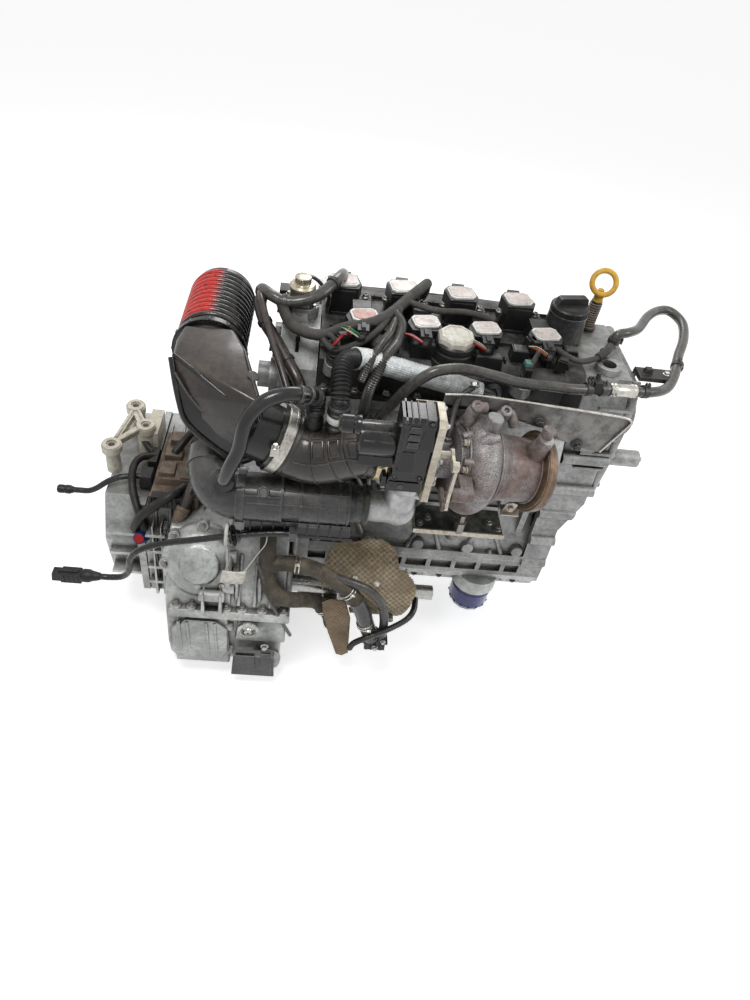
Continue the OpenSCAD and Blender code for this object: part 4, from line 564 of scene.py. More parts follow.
class Mould:
  """Gathers the faces of one piece, in millimetres from the crankshaft's axis."""

  def __init__(self) -> None:
    """Starts empty."""
    self.points: list[Vector] = []
    self.faces: list[Face] = []

  def add(self, points: list[Vector], faces: list[Face]) -> "Mould":
    """Adds points and the faces between them."""
    first = len(self.points)
    self.points += [Vector(p) for p in points]
    self.faces += [tuple(first + i for i in face) for face in faces]
    return self

  def take(self, shape: bmesh.types.BMesh) -> "Mould":
    """Adds a whole bmesh, and frees it."""
    shape.verts.index_update()
    self.add([v.co.copy() for v in shape.verts], [tuple(v.index for v in f.verts)
        for f in shape.faces])
    shape.free()
    return self

  def tube(self, points: list[Vector], sides: int) -> "Mould":
    """Adds rows of points as a tube with flat ends."""
    rows = len(points) // sides
    ends = [tuple(range(sides - 1, -1, -1)), tuple(range((rows - 1) * sides, rows * sides))]
    return self.add(points, quads(rows, sides) + ends)

  def sweep(self, path: list[Vector], radius: float | list[float], sides: int = 24) -> "Mould":
    """Sweeps a round section along a path.

    Args:
      path: Centre points.
      radius: One radius, or one for each point.
      sides: Corners of the section.

    Returns:
      The mould.
    """
    path = [Vector(p) for p in path]
    radii = radius if isinstance(radius, (list, tuple)) else [radius] * len(path)
    last, normal, points = len(path) - 1, None, []
    for i, p in enumerate(path):
      along = (path[min(i + 1, last)] - path[max(i - 1, 0)]).normalized()
      if normal is None:
        normal = basis(along)[0]
      normal = (normal - along * normal.dot(along)).normalized()
      side = along.cross(normal)
      for a in (2 * pi * j / sides for j in range(sides)):
        points.append(p + radii[i] * (cos(a) * normal + sin(a) * side))
    return self.tube(points, sides)

  def run(self, points: str | list[Point], steps: int, radius: float, sides: int) -> "Mould":
    """Sweeps a round section along a smooth path through points."""
    return self.sweep(catmull(points, steps), radius, sides)

  def lathe(self, base: Point, axis: Point, profile: str | list[Pair], sides: int = 40,
          turn: float = 0.0) -> "Mould":
    """Spins a profile about an axis.

    Args:
      base: A point on the axis.
      axis: Its direction.
      profile: Radius and height pairs; both ends are closed flat.
      sides: Corners round the axis.
      turn: Angle of the first corner, in degrees.

    Returns:
      The mould.
    """
    return self.tube(spin(base, axis, listed(profile), sides, turn), sides)

  def ring(self, base: Point, axis: Point, inner: float, outer: float, height: float,
          sides: int = 48) -> "Mould":
    """Makes a flat ring with rounded shoulders."""
    soft = min(height, outer - inner) * 0.22
    rows = [(inner, 0), (outer - soft, 0), (outer, soft), (outer, height - soft), (outer - soft,
        height), (inner, height)]
    return self.add(spin(base, axis, rows, sides), quads(len(rows), sides, True))

  def loop(self, centre: Point, axis: Point, major: float, minor: float,
          sides: int = 40) -> "Mould":
    """Makes a closed wire ring."""
    turns = [round_by(30 * k) for k in range(12)]
    rows = [(major + minor * c, minor * s) for c, s in turns]
    return self.add(spin(centre, axis, rows, sides), quads(len(rows), sides, True))

  def block(self, low: Point, high: Point, taper: float = 0.0,
          turn: Matrix | None = None) -> "Mould":
    """Makes a box whose top is drawn in by the taper.

    Args:
      low: Lowest corner.
      high: Highest corner.
      taper: How far the top's edges stand in.
      turn: Rotation about the box's middle.

    Returns:
      The mould.
    """
    (x0, y0, z0), (x1, y1, z1) = low, high
    points = [Vector((x, y, z)) for t, z in ((0, z0), (taper, z1)) for x, y in ((x0 + t, y0 + t),
        (x1 - t, y0 + t), (x1 - t, y1 - t), (x0 + t, y1 - t))]
    if turn is not None:
      middle = (Vector(low) + Vector(high)) / 2
      points = [middle + turn @ (p - middle) for p in points]
    return self.add(points, [(3, 2, 1, 0), (4, 5, 6, 7), (0, 1, 5, 4), (1, 2, 6, 5), (2, 3, 7, 6),
        (3, 0, 4, 7)])

  def plate(self, outline: str | list[Pair], origin: Point, u: Point, v: Point,
          thick: float) -> "Mould":
    """Extrudes an outline.

    Args:
      outline: Points in the plate's plane, anticlockwise seen from its normal.
      origin: Where the outline's own zero lies.
      u: Direction of the outline's first coordinate.
      v: Direction of its second.
      thick: Thickness along the normal, u x v.

    Returns:
      The mould.
    """
    a, b = Vector(u), Vector(v)
    w = a.cross(b).normalized()
    flat = [Vector(origin) + a * p + b * q for p, q in listed(outline)]
    return self.tube(flat + [p + w * thick for p in flat], len(flat))

  def bolt(self, seat: Point, axis: Point, size: float = 6.0, domed: bool = False) -> "Mould":
    """Makes a flanged hexagon bolt head, or a domed one with a socket."""
    flange = [(1.15, 0), (1.15, 0.18), (0.95, 0.32)]
    if domed:
      flange += [(0.8, 0.5), (0.72, 0.85), (0.5, 1.02), (0.36, 1.05), (0.34, 0.7)]
    self.lathe(seat, axis, [(size * r, size * h) for r, h in flange], 24)
    if domed:
      return self
    head = [(0.84, 0.3), (0.84, 0.95), (0.7, 1.1), (0.5, 1.12)]
    return self.lathe(seat, axis, [(size * r, size * h) for r, h in head], 6, 15)

  def piece(self, name: str, finish: Finish, bevel: float = 0.6, body: Body = Body.ENGINE,
          sharp: float = 34.0, stands: tuple[str, ...] = ()) -> bpy.types.Object:
    """Turns the mould into an object of the scene.

    Args:
      name: The piece's name.
      finish: Its finish.
      bevel: Width of the rounded edges, in millimetres, or 0.
      body: The body that it rides on.
      sharp: Angle from which an edge shows, in degrees.
      stands: Nodes of the frame that it stands for.

    Returns:
      The object.
    """
    mesh = bpy.data.meshes.new(name)
    mesh.from_pydata([at(p) for p in self.points], [], self.faces)
    shape = bmesh.new()
    shape.from_mesh(mesh)
    bmesh.ops.recalc_face_normals(shape, faces=shape.faces)
    shape.to_mesh(mesh)
    shape.free()
    mesh.polygons.foreach_set("use_smooth", [True] * len(mesh.polygons))
    mesh.set_sharp_from_angle(angle=radians(sharp))
    made = bpy.data.objects.new(name, mesh)
    bpy.context.scene.collection.objects.link(made)
    if bevel:
      rounding = made.modifiers.new("rounding", "BEVEL")
      rounding.width, rounding.segments = bevel * MM, 2
      rounding.limit_method, rounding.angle_limit = "ANGLE", radians(30)
      rounding.harden_normals = True
    mesh.materials.append(finish.build())
    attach(made, body.value)
    if stands:
      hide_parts(*stands)
    LOG.info("%s: %d faces on %s", name, len(self.faces), body.value)
    return made


def moulds(count: int) -> list[Mould]:
  """Returns some empty moulds."""
  return [Mould() for _ in range(count)]


def dress(finish: Finish, *nodes: str) -> None:
  """Gives a finish to nodes of the frame."""
  for name in nodes:
    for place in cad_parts[name].material_slots:
      place.material = finish.build()
    LOG.info("%s: %s", name, finish.name)


def ridged_tube(mould: Mould, path: list[Vector], pitch: float, low: float, high: float,
        sides: int = 28) -> Mould:
  """Sweeps a tube with rounded ridges along a path.

  Args:
    mould: Where it goes.
    path: Centre points.
    pitch: From one ridge to the next.
    low: Radius between ridges.
    high: Radius on them.
    sides: Corners of the section.

  Returns:
    The mould.
  """
  ends = [0.0]
  for a, b in zip(path, path[1:]):
    ends.append(ends[-1] + (b - a).length)
  count = max(1, round(ends[-1] / pitch)) * 6
  rows, radii = [], []
  for k in range(count + 1):
    d = ends[-1] * k / count
    i = min(max(np.searchsorted(ends, d) - 1, 0), len(path) - 2)
    t = (d - ends[i]) / max(ends[i + 1] - ends[i], 1e-6)
    rows.append(path[i].lerp(path[i + 1], min(max(t, 0.0), 1.0)))
    radii.append(low + (high - low) * (0.5 - 0.5 * cos(2 * pi * k / 6)))
  return mould.sweep(rows, radii, sides)


# ---- Studio and leads ----


@dataclass
class Studio:
  """Camera, soft lamps, pale floor and white surround."""

  azimuth: float = -7.0
  elevation: float = 41.8
  roll: float = 9.7
  distance: float = 1265.0
  target: Point = (89.0, -60.0, 144.0)
  lens: float = 25.99
  shift: tuple[float, float] = (0.018, -0.033)
  floor_half: float = 14.0

  def build(self) -> None:
    """Makes the camera, the lamps, the surround and the floor."""
    scene = bpy.context.scene
    scene.view_settings.view_transform = "Standard"
    self.camera(scene)
    self.lamp("key_lamp", (-300, -700, 1900), 0.55, 15.5)
    self.lamp("side_lamp", (1500, -500, 1200), 0.6, 7.0)
    self.lamp("rear_lamp", (200, 1500, 1500), 0.7, 10.0)
    self.surround(scene)
    self.floor(scene)

  def camera(self, scene: bpy.types.Scene) -> None:
    """Makes the camera."""
    a, e, r = (radians(v) for v in (self.azimuth, self.elevation, self.roll))
    right = Vector((cos(a), sin(a), 0))
    up = Vector((-sin(a) * sin(e), cos(a) * sin(e), cos(e)))
    back = Vector((sin(a) * cos(e), -cos(a) * cos(e), sin(e)))
    across = right * cos(r) + up * sin(r)
    tall = up * cos(r) - right * sin(r)
    data = bpy.data.cameras.new("camera")
    data.lens, data.sensor_width = self.lens, 36.0
    data.shift_x, data.shift_y = self.shift
    data.clip_start, data.clip_end = 0.01, 30.0
    made = bpy.data.objects.new("camera", data)
    made.matrix_world = Matrix((across, tall, back)).transposed().to_4x4()
    made.matrix_world.translation = at(self.target) + back * (self.distance * MM)
    scene.collection.objects.link(made)
    scene.camera = made

  def lamp(self, name: str, place: Point, size: float, power: float) -> None:
    """Makes one square lamp that faces the engine."""
    data = bpy.data.lights.new(name, "AREA")
    data.size, data.energy = size, power
    made = bpy.data.objects.new(name, data)
    made.location = at(place)
    aim = at(self.target) - made.location
    made.rotation_euler = aim.to_track_quat("-Z", "Y").to_euler()
    bpy.context.scene.collection.objects.link(made)

  def seen(self, graph: Graph) -> Socket:
    """Returns 1 for rays that show the background."""
    rays = [graph.node("LightPath", out=f"Is {kind} Ray") for kind in ("Camera", "Glossy",
        "Transmission")]
    return rays[0].most(rays[1]).most(rays[2])

  def surround(self, scene: bpy.types.Scene) -> None:
    """Makes a white surround that lights the engine more softly than it shows."""
    world = bpy.data.worlds.new("surround")
    world.use_nodes = True
    scene.world = world
    graph = Graph(world.node_tree)
    strength = self.seen(graph) * 0.62 + 0.38
    glow = graph.node("Background", {}, {"Color": linear((1, 1, 1)), "Strength": strength})
    graph.node("OutputWorld", {}, {"Surface": glow})

  def floor(self, scene: bpy.types.Scene) -> None:
    """Makes the pale floor."""
    half = self.floor_half
    mesh = bpy.data.meshes.new("floor")
    mesh.from_pydata([(-half, -half, 0), (half, -half, 0), (half, half, 0), (-half, half, 0)], [],
        [(0, 1, 2, 3)])
    made = bpy.data.objects.new("floor", mesh)
    scene.collection.objects.link(made)
    material = bpy.data.materials.new("floor")
    material.use_nodes = True
    graph = Graph(material.node_tree)
    matt = graph.node("BsdfDiffuse", {}, {"Color": linear((0.93, 0.93, 0.93))})
    glow = graph.node("Emission", {}, {"Color": linear((1, 1, 1)),
        "Strength": self.seen(graph) * 0.62})
    both = graph.node("AddShader", {}, {0: matt, 1: glow})
    graph.node("OutputMaterial", {}, {"Surface": both})
    mesh.materials.append(material)


@dataclass
class Leads:
  """The two free leads, each with its plug."""

  radius: float = 5.0
  sensor_length: float = 0.3568
  bracket_length: float = 0.1204
  sensor_route: str = ("-20 -264 182, -26 -264 182, -32 -264 182, -52 -264 179, -78 -264 174, "
      "-103 -264 168, -135 -264 159, -167 -264 150, -200 -264 141, -228 -265 130, -248 -265 116, "
      "-260 -264 96, -263 -262 74, -268 -260 56, -280 -258 43, -298 -258 40, -306 -258 40, "
      "-314 -258 40")
  bracket_route: str = ("-276 -102 118, -282 -102 118, -288 -102 118, -302 -107 119, "
      "-316 -111 117, -330 -114 110, -345 -117 98, -359 -118 90, -372 -118 89, -379 -118 89, "
      "-386 -118 89")

  def build(self) -> None:
    """Makes both leads."""
    plug = self.sensor_plug()
    self.lead("taped_sensor_lead", listed(self.sensor_route), 3, LEAD_TAPE,
        "sensor_lead")
    boot = self.bracket_plug()
    self.lead("taped_bracket_lead", listed(self.bracket_route), 2, LEAD_TAPE,
        "bracket_lead")

  def lead(self, name: str, route: list[Point], steps: int, finish: Finish,
          node: str) -> None:
    """Makes one taped lead along its route.

    Args:
      name: The piece's name.
      route: Route points.
      steps: Pieces between each two.
      finish: Its finish.
      node: The node that it stands for.
    """
    path = catmull(route, steps)
    made = Mould().sweep(path, self.radius, 20).piece(name, finish, 0, stands=(node,))

  def sensor_plug(self) -> bpy.types.Object:
    """Makes the sensor's plug: a latched shell with a waisted back end."""
    x, y, z = -314.0, -258.0, 40.0
    mould = Mould().lathe((x + 2, y, z), (-1, 0, 0), "6 0, 7.4 6, 8.6 12, 10.8 17, 10.8 26, 9.6 29",
        28).block((x - 58, y - 10, z - 9.5), (x - 26, y + 10, z + 8.5), 1.0).block((x - 72, y - 8.6,
        z - 8), (x - 56, y + 8.6, z + 7.4), 1.2).block((x - 62, y - 3.4, z + 7), (x - 30, y + 3.4,
        z + 10.8), 0.8)
    for i in range(4):
      mould.block((x - 54 + 7 * i, y - 10.8, z - 7), (x - 51 + 7 * i, y + 10.8, z + 6), 0.4)
    return mould.piece("sensor_plug", PLASTIC, stands=("lead_plugs",))

  def bracket_plug(self) -> bpy.types.Object:
    """Makes the slim plug by the mount bracket."""
    x, y, z = -386.0, -118.0, 89.0
    mould = Mould().lathe((x + 1, y, z), (-1, 0, 0), "5.6 0, 6.4 3, 7.7 6, 7.7 12, 6.8 14, "
        "7.4 17, 7.4 24, 5.6 26.6", 28).block((x - 22, y - 2.4, z + 6), (x - 6, y + 2.4, z + 7.9),
        0.5)
    return mould.piece("bracket_plug", PLASTIC, stands=("lead_plugs",))


# ---- Intake tract ----


@dataclass
class IntakeTract:
  """Duct, bellows, inlet elbow, its clamps and the breather hose."""

  duct_rim: float = 4.5
  breather_r: float = 10.0

  def build(self) -> None:
    """Makes the tract's pieces."""
    self.duct()
    dress(BELLOWS, "intake_bellows")
    self.collar()
    self.elbow()
    self.clamps()
    self.breather()

  def duct(self) -> None:
    """Makes the flat duct: shell, a dark sheet over the front recess as painted shade, rims and
    ridge.
    """
    bulk = listed("-195 -115 402, -190 -90 405, -130 -88 405, -108 -130 400, -90 -190 390, "
        "-80 -215 384, -194 -152 400, -180 -176 357, -167 -186 324, -132 -195 294, -104 -204 282, "
        "-80 -215 304, -84 -165 324")
    ball = [Vector((cos(a) * cos(b), sin(a) * cos(b), sin(b))) * 7.6 for a in (pi * i / 6
        for i in range(12)) for b in (pi * j / 8 for j in range(-4, 5))]
    cloud = [Vector(p) + q for p in bulk for q in ball]
    cloud += [Vector((-162 + 47 * cos(a), -81, 364 + 47 * sin(a))) for a in (pi * i / 24
        for i in range(48))]
    self.hull("intake_duct_shell", cloud, DUCT_PLASTIC)
    Mould().lathe((-162, -100, 364), REAR,
        "47.5 0, 47.8 16, 49 18, 49 30, 46 34, 44 34, 44 10").lathe(self.spigot(0),
        self.spigot_axis(), "43.8 0, 43.8 52").piece("intake_duct_necks", DUCT_DARK)
    rims = Mould()
    front = listed("-203 -155 403, -190 -185 357, -176 -196 320, -134 -206 286, -103 -214 273, "
        "-76 -223 295")
    rims.run(front, 6, self.duct_rim, 12).run("-76 -222 297, -73 -224 330, -73 -224 360, "
        "-74 -222 386", 5, 3.6, 12).run("-200 -153 406, -160 -180 395, -118 -204 378, "
        "-92 -216 372, -76 -221 378", 6, 3.2, 12).piece("intake_duct_rims", GLOSS, 0)
    high = catmull("-196 -170 388, -174 -187 362, -146 -198.5 338, -116 -209 322, -80 -222 318", 6)
    # A dark sheet laid between the ridge and the front rim: painted shade in the recess.
    recess = Mould()
    edge = catmull(front, 6)
    for i, p in enumerate(high):
      q = edge[round(i * (len(edge) - 1) / (len(high) - 1))]
      recess.points += [p.lerp(q, k / 4) for k in range(5)]
    recess.faces = [(i * 5 + k, i * 5 + k + 1, i * 5 + k + 6,
        i * 5 + k + 5) for i in range(len(high) - 1) for k in range(4)]
    made = recess.piece("intake_duct_recess_shade", DUCT_DARK, 0)
    thicken(made, 1.6)
    Mould().sweep(high, 2.0, 10).run("-187 -178 376, -160 -190 345, -128 -203 318, -98 -214 300, "
        "-82 -221 296", 6, 1.6, 10).run("-106 -126 408.5, -96 -160 404, -87 -190 398, -79 -212 392",
        6, 1.3, 10).piece("intake_duct_ridge", GREY, 0)
    panel = Mould().block((-99, -223, 300), (-83, -216, 350), 1.5).block((-95, -226, 306),
        (-87, -221, 344), 1.2)
    for z in (312, 322, 332):
      panel.block((-98, -224.5, z), (-84, -221, z + 3), 0.6)
    panel.piece("intake_duct_latch", PLASTIC)
    Mould().lathe((-88, -176, 399.5), (0.5, -0.2, 1), "9 0, 8 1.6, 4 2.4",
        28).piece("intake_duct_seal", GREY)

  def hull(self, name: str, cloud: list[Vector], finish: Finish) -> bpy.types.Object:
    """Makes the smooth closed skin round a cloud of points."""
    shape = bmesh.new()
    for p in cloud:
      shape.verts.new(p)
    bmesh.ops.convex_hull(shape, input=shape.verts)
    loose = [v for v in shape.verts if not v.link_faces]
    bmesh.ops.delete(shape, geom=loose, context="VERTS")
    bmesh.ops.dissolve_limit(shape, angle_limit=radians(3), verts=shape.verts, edges=shape.edges)
    return Mould().take(shape).piece(name, finish, 0, sharp=28, stands=("intake_duct",))

  def spigot(self, along: float) -> Point:
    """Returns a point on the spigot's axis."""
    p = Vector((-40, -205, 314)) + Vector(self.spigot_axis()) * along
    return p

  def spigot_axis(self) -> Point:
    """Returns the spigot's direction, into the duct."""
    return (-cos(radians(24)), 0.0, sin(radians(24)))

  def collar(self) -> None:
    """Makes the strap and its ring of pegs at the bellows' near end."""
    mould = Mould().ring((-162, -77, 364), REAR, 54.2, 56.4, 9, 64)
    for a in range(0, 360, 30):
      out = Vector((cos(radians(a)), 0, sin(radians(a)))) * 56
      p = Vector((-162, -76, 364)) + out
      mould.lathe(p, REAR, "1.6 0, 1.6 7", 10)
    mould.piece("bellows_strap", DUCT_DARK)

  def elbow_path(self) -> list[Vector]:
    """Returns the elbow's centre line, from the compressor to the duct."""
    axis = SHAFT
    inlet = [tuple(Vector(TURBO_AT) + axis * d) for d in (-130, -140, -150, -168)]
    tail = [(38, -224, 317), (6, -216, 305), (-20, -207, 306), (-40, -205, 314), self.spigot(20)]
    return catmull(inlet + tail, 8)

  def elbow(self) -> None:
    """Makes the rubber elbow with raised frames, ribs and the two stubs."""
    path = self.elbow_path()
    last = len(path) - 1
    radii = []
    for i in range(last + 1):
      t = i / last
      radius = 39 + 10 * min(1, max(0, (t - 0.35) / 0.4))
      lip = 1.6 if t < 0.045 or 0.145 < t < 0.17 or 0.8 < t < 0.83 else 0.0
      radii.append(radius - 0.2 + lip)
    Mould().sweep(path, radii, 56).piece("inlet_elbow_skin", ELBOW_RUBBER, 0, sharp=60,
        stands=("inlet_elbow",))
    raised = Mould()
    for i in (16, 21, 26, 31, 38):
      self.hoop(raised, path, radii, i, -150, 70, 1.7)
    for angle in (-74, -30, 12):
      self.runner(raised, path, radii, angle, 12, 44, 1.7)
    for i, j, a0, a1 in listed("17 20 -68 -36, 22 25 -68 -36, 27 30 -66 -34, 33 37 -64 -32, "
            "17 20 -24 6, 33 37 -26 4"):
      self.frame(raised, path, radii, (i, j), (a0, a1))
    raised.piece("inlet_elbow_frames", ELBOW_RUBBER, 0)
    stubs = Mould()
    for x, r in ((0, 11), (32, 13)):
      y = -214.5 if x == 0 else -222
      stubs.lathe((x, y, 342), UP, [(r, 0), (r, 13), (r + 2.4, 14.5), (r + 2.4, 19), (r, 20.5)], 36)
    stubs.piece("inlet_elbow_stubs", RUBBER)

  def skin_point(self, path: list[Vector], radii: list[float], i: int, angle: float,
          rise: float) -> Vector:
    """Returns a point above the elbow's skin.

    Args:
      path: The elbow's centre line.
      radii: Its radii.
      i: Index along it.
      angle: From the top towards the front, negative to the front, in degrees.
      rise: Height above the skin.

    Returns:
      The point.
    """
    last = len(path) - 1
    along = (path[min(i + 1, last)] - path[max(i - 1, 0)]).normalized()
    top = (Vector((0, 0, 1)) - along * along.z).normalized()
    side = along.cross(top)
    if side.y < 0:
      side = -side
    a = radians(angle)
    return path[i] + (top * cos(a) + side * sin(a)) * (radii[i] + rise)

  def hoop(self, mould: Mould, path: list[Vector], radii: list[float], i: int, a0: float, a1: float,
          r: float) -> None:
    """Adds a raised rib round the elbow."""
    steps = [a0 + (a1 - a0) * k / 20 for k in range(21)]
    mould.sweep([self.skin_point(path, radii, i, a, 0) for a in steps], r, 10)

  def runner(self, mould: Mould, path: list[Vector], radii: list[float], angle: float, i: int,
          j: int, r: float) -> None:
    """Adds a raised rib along the elbow."""
    mould.sweep([self.skin_point(path, radii, k, angle, 0) for k in range(i, j + 1)], r, 10)

  def frame(self, mould: Mould, path: list[Vector], radii: list[float], span: tuple[int, int],
          angles: tuple[float, float]) -> None:
    """Adds a raised frame on the elbow's skin."""
    i, j = span
    steps = [angles[0] + (angles[1] - angles[0]) * k / 6 for k in range(7)]
    for k in (i, j):
      mould.sweep([self.skin_point(path, radii, k, a, 0.2) for a in steps], 1.5, 8)
    for a in angles:
      mould.sweep([self.skin_point(path, radii, k, a, 0.2) for k in range(i, j + 1)], 1.5, 8)

  def clamps(self) -> None:
    """Makes the two worm-drive clamps."""
    wide = Mould().ring(self.spigot(-1), self.spigot_axis(), 49.4, 51.2, 15,
        72).ring(self.spigot(1), self.spigot_axis(), 51, 51.9, 2, 72).ring(self.spigot(11),
        self.spigot_axis(), 51, 51.9, 2, 72)
    for a in range(20, 100, 5):
      self.tooth(wide, self.spigot(6.5), self.spigot_axis(), a, 51.4)
    wide.block((-56, -262, 331), (-42, -250, 343), 1.5).bolt((-49, -256, 343), UP,
        5).piece("elbow_clamp_wide", BAND, stands=("band_clamps",))
    slim = Mould()
    base = Vector(TURBO_AT) + SHAFT * -148
    slim.ring(base, SHAFT, 39.6, 41.4, 13, 72)
    for a in range(200, 300, 6):
      self.tooth(slim, tuple(base + SHAFT * 6), SHAFT, a, 41.6)
    slim.block(base + Vector((2, -48, -6)), base + Vector((14, -40, 10)), 1).bolt(base + Vector((8,
        -44, 10)), UP, 4.5).piece("elbow_clamp_slim", GOLD_CLAMP, stands=("band_clamps",))

  def tooth(self, mould: Mould, base: Point, axis: Point, angle: float, r: float) -> None:
    """Adds one worm slot's raised edge on a clamp band."""
    u, v, w = basis(Vector(axis))
    a = radians(angle)
    out = u * cos(a) + v * sin(a)
    p = Vector(base) + out * r
    mould.sweep([p - w * 3, p + w * 3], 0.6, 6)

  def breather(self) -> None:
    """Makes the breather hose, its ridges, its boot and the ribbed grommet."""
    tip = self.port_tip()
    route = listed("0 -214.5 363, 0 -214.5 375, 0 -214.5 387, -1 -216 404, -16 -230 416, "
        "-40 -239 421, -68 -250 413, -89 -260 386, -97 -267 342, -108 -269 312")
    route += [tuple(Vector(tip) + Vector(self.port_dir()) * d) for d in (22, 11, 0)]
    path = catmull(route, 6)
    Mould().sweep(path, self.breather_r, 28).piece("breather_hose_tube", GLOSS_HOSE, 0,
        stands=("breather_hose",))
    fit = Mould()
    ridged_tube(fit, path[12:21], 5.2, 10.2, 13.2)
    fit.lathe((0, -214.5, 361), UP, "13.6 0, 13.6 5, 12.4 7, 12.4 15, 13.8 17, 13.8 24, 11 26",
        36).piece("breather_hose_fitting", PLASTIC, 0.3)
    cuff = Mould()
    for i in (22, 25):
      axis = (path[i + 1] - path[i]).normalized()
      cuff.ring(path[i], axis, 9.8, 12.4, 5, 40)
    cuff.piece("breather_hose_bands", GREY, 0.2)
    grommet = Mould()
    base = Vector(tip) - Vector(self.port_dir()) * 6
    grommet.lathe(base, self.port_dir(), "17 0, 17 3, 14.4 5, 16 8, 13.6 10, 15 13, 12.6 15, "
        "13.4 18, 11 20", 36).piece("breather_grommet", GLOSS, 0.3)
    mark = Mould()
    out = Vector((0.25, -0.95, 0.1)).normalized()
    p = Vector(tip) - Vector(self.port_dir()) * 22 + out * 11.5
    mark.block(p - Vector((3, 1, 7)), p + Vector((3, 1, 7)), 0.5).piece("breather_mark", BLUE_PART)

  def port_dir(self) -> Point:
    """Returns the direction of the resonator's upper port."""
    return tuple(Vector((8, -31, 39)).normalized())

  def port_tip(self) -> Point:
    """Returns the end of the resonator's upper port."""
    s, c = sin(radians(45)), cos(radians(45))
    base = Vector((-97 - 44 * s, -228 + 44 * (1 - c) * cos(radians(20)),
        220 + 44 * (1 - c) * sin(radians(20))))
    return tuple(base + Vector(self.port_dir()) * 58)


@dataclass
class ChargePipe:
  """Details on the resonator: seam, bands, boss, skirt and ribs."""

  y: float = -228.0
  z: float = 220.0

  def build(self) -> None:
    """Makes the details and dresses the resonator."""
    dress(GREY, "charge_resonator")
    bands = Mould()
    for x, r in listed("-92 41.2, -36 39.2, -8 35.2, 20 35.2, 48 35.2, 62 35.4"):
      bands.ring((x, self.y, self.z), ALONG, r - 3, r, 3.4, 64)
    for a in (28, 62):
      c, s = round_by(a)
      bands.sweep([(x, self.y - 38.2 * c, self.z + 38.2 * s) for x in (-90, -38)], 1.3,
          8).sweep([(x, self.y - 34.2 * c, self.z + 34.2 * s) for x in (-38, 62)], 1.3, 8)
    seam = [(x, self.y - 39 * 0.72, self.z + 39 * 0.7) for x in (-91, -37)]
    bands.sweep([Vector(p) for p in seam], 2.2, 10)
    boss = (-62, self.y - 22, self.z + 30)
    bands.lathe(boss, (0, -0.6, 0.8), "9.5 0, 9.5 4.5, 8 6, 6.4 6, 5.6 4.6",
        32).piece("resonator_bands", GREY, 0.3)
    skirt = Mould().block((-88, self.y - 31, self.z - 46), (72, self.y - 25.5, self.z - 20), 1.5)
    for i in range(9):
      x = -80 + i * 17
      skirt.block((x, self.y - 34, self.z - 42), (x + 3, self.y - 29, self.z - 22), 0.8)
    skirt.block((-92, self.y - 33, self.z - 49), (76, self.y - 28, self.z - 44),
        0.8).piece("resonator_skirt", DUCT_DARK)
    Mould().lathe((64, self.y, self.z), ALONG,
        "30.5 0, 30.5 8, 29 10, 29 20, 30.8 22, 30.8 27").ring((86, self.y, self.z), ALONG, 24.3,
        32, 8, 56).piece("resonator_outlet_lock", SUPPORT_PAINT)


@dataclass
class SleevedPipe:
  """Vent pipe with its connector, the foil sleeve and the pipe's end."""

  route: str = ("32 -222 366, 32 -222 380, 32 -222 394, 32 -210 412, 31 -182 426, 38 -158 428, "
      "60 -138 420, 90 -132 411, 133 -132 402, 192 -132 390, 232 -132 380, 260 -131 372, "
      "268 -121 368, 268 -107 368")

  def build(self) -> None:
    """Makes the pipe's pieces."""
    path = catmull(self.route, 8)
    split = next(i for i, p in enumerate(path) if p.x > 52 and p.y > -160)
    stop = next(i for i, p in enumerate(path) if p.x > 240)
    Mould().sweep(path, 10.6, 28).piece("vent_pipe", GLOSS_HOSE, 0, stands=("sleeved_pipe",))
    ribs = Mould()
    ridged_tube(ribs, path[20:split + 2], 5.4, 11, 14.4)
    ribs.lathe((32, -222, 360), UP, "15 0, 16.6 2, 16.6 6, 14 8, 14 14", 36).lathe((32, -222, 384),
        UP, "14 0, 16.4 2, 16.4 5, 14 7, 14 9, 16.4 11, 16.4 14, 13 16, 13 20",
        36).piece("vent_connector", PLASTIC, 0.3)
    Mould().lathe((32, -219, 400), (0, 0.4, 1), "8 -10.5, 12 -5, 13.4 0, 12 5, 8 10.5",
        32).piece("vent_elbow", PLASTIC, 0)
    Mould().lathe((32, -222, 373), UP, "15.4 0, 15.8 1, 15.8 11, 15.4 12",
        40).piece("vent_connector_ring", COIL_RIM)
    Mould().lathe((34, -237.6, 379), FRONT, "2.8 0, 2.4 0.8", 20).piece("vent_connector_dot",
        YELLOW_PLASTIC)
    self.sleeve(path[split - 1:stop + 1])
    Mould().lathe((268, -119, 368), REAR, "12.6 0, 12.8 11", 32).ring((264, -129, 370.5),
        (1, 0.2, -0.2), 10, 13.2, 7, 32).piece("vent_pipe_end", DARK)

  def sleeve(self, path: list[Vector]) -> None:
    """Makes the foil sleeve: wrapped ridges with soft creases, open at its near end."""
    dense = []
    for a, b in zip(path, path[1:]):
      dense += [a.lerp(b, k / 4) for k in range(4)]
    dense.append(path[-1])
    radii, run = [], 0.0
    for i, p in enumerate(dense):
      run += (p - dense[max(i - 1, 0)]).length
      radii.append(15.7 + 0.45 * sin(run * 2 * pi / 4.6))
    made = Mould().sweep(dense, radii, 48)
    for i, p in enumerate(made.points):
      centre = dense[min(i // 48, len(dense) - 1)]
      push = noise.noise(p / 11.0) * 0.7
      made.points[i] = p + (p - centre).normalized() * push
    made.piece("foil_sleeve", FOIL, 0, sharp=60)
    lip = Mould()
    axis = (dense[1] - dense[0]).normalized()
    lip.loop(dense[0], axis, 15.2, 1.3, 48).loop(dense[-1], (dense[-1] - dense[-2]).normalized(),
        15.0, 1.1, 48).piece("foil_sleeve_hems", FOIL, 0)
    Mould().lathe(dense[0] - axis * 0.8, axis,
        "11 0, 14.6 0, 14.6 0.6, 11 0.6").piece("foil_sleeve_mouth", RUBBER, 0)


# ---- Turbocharger ----


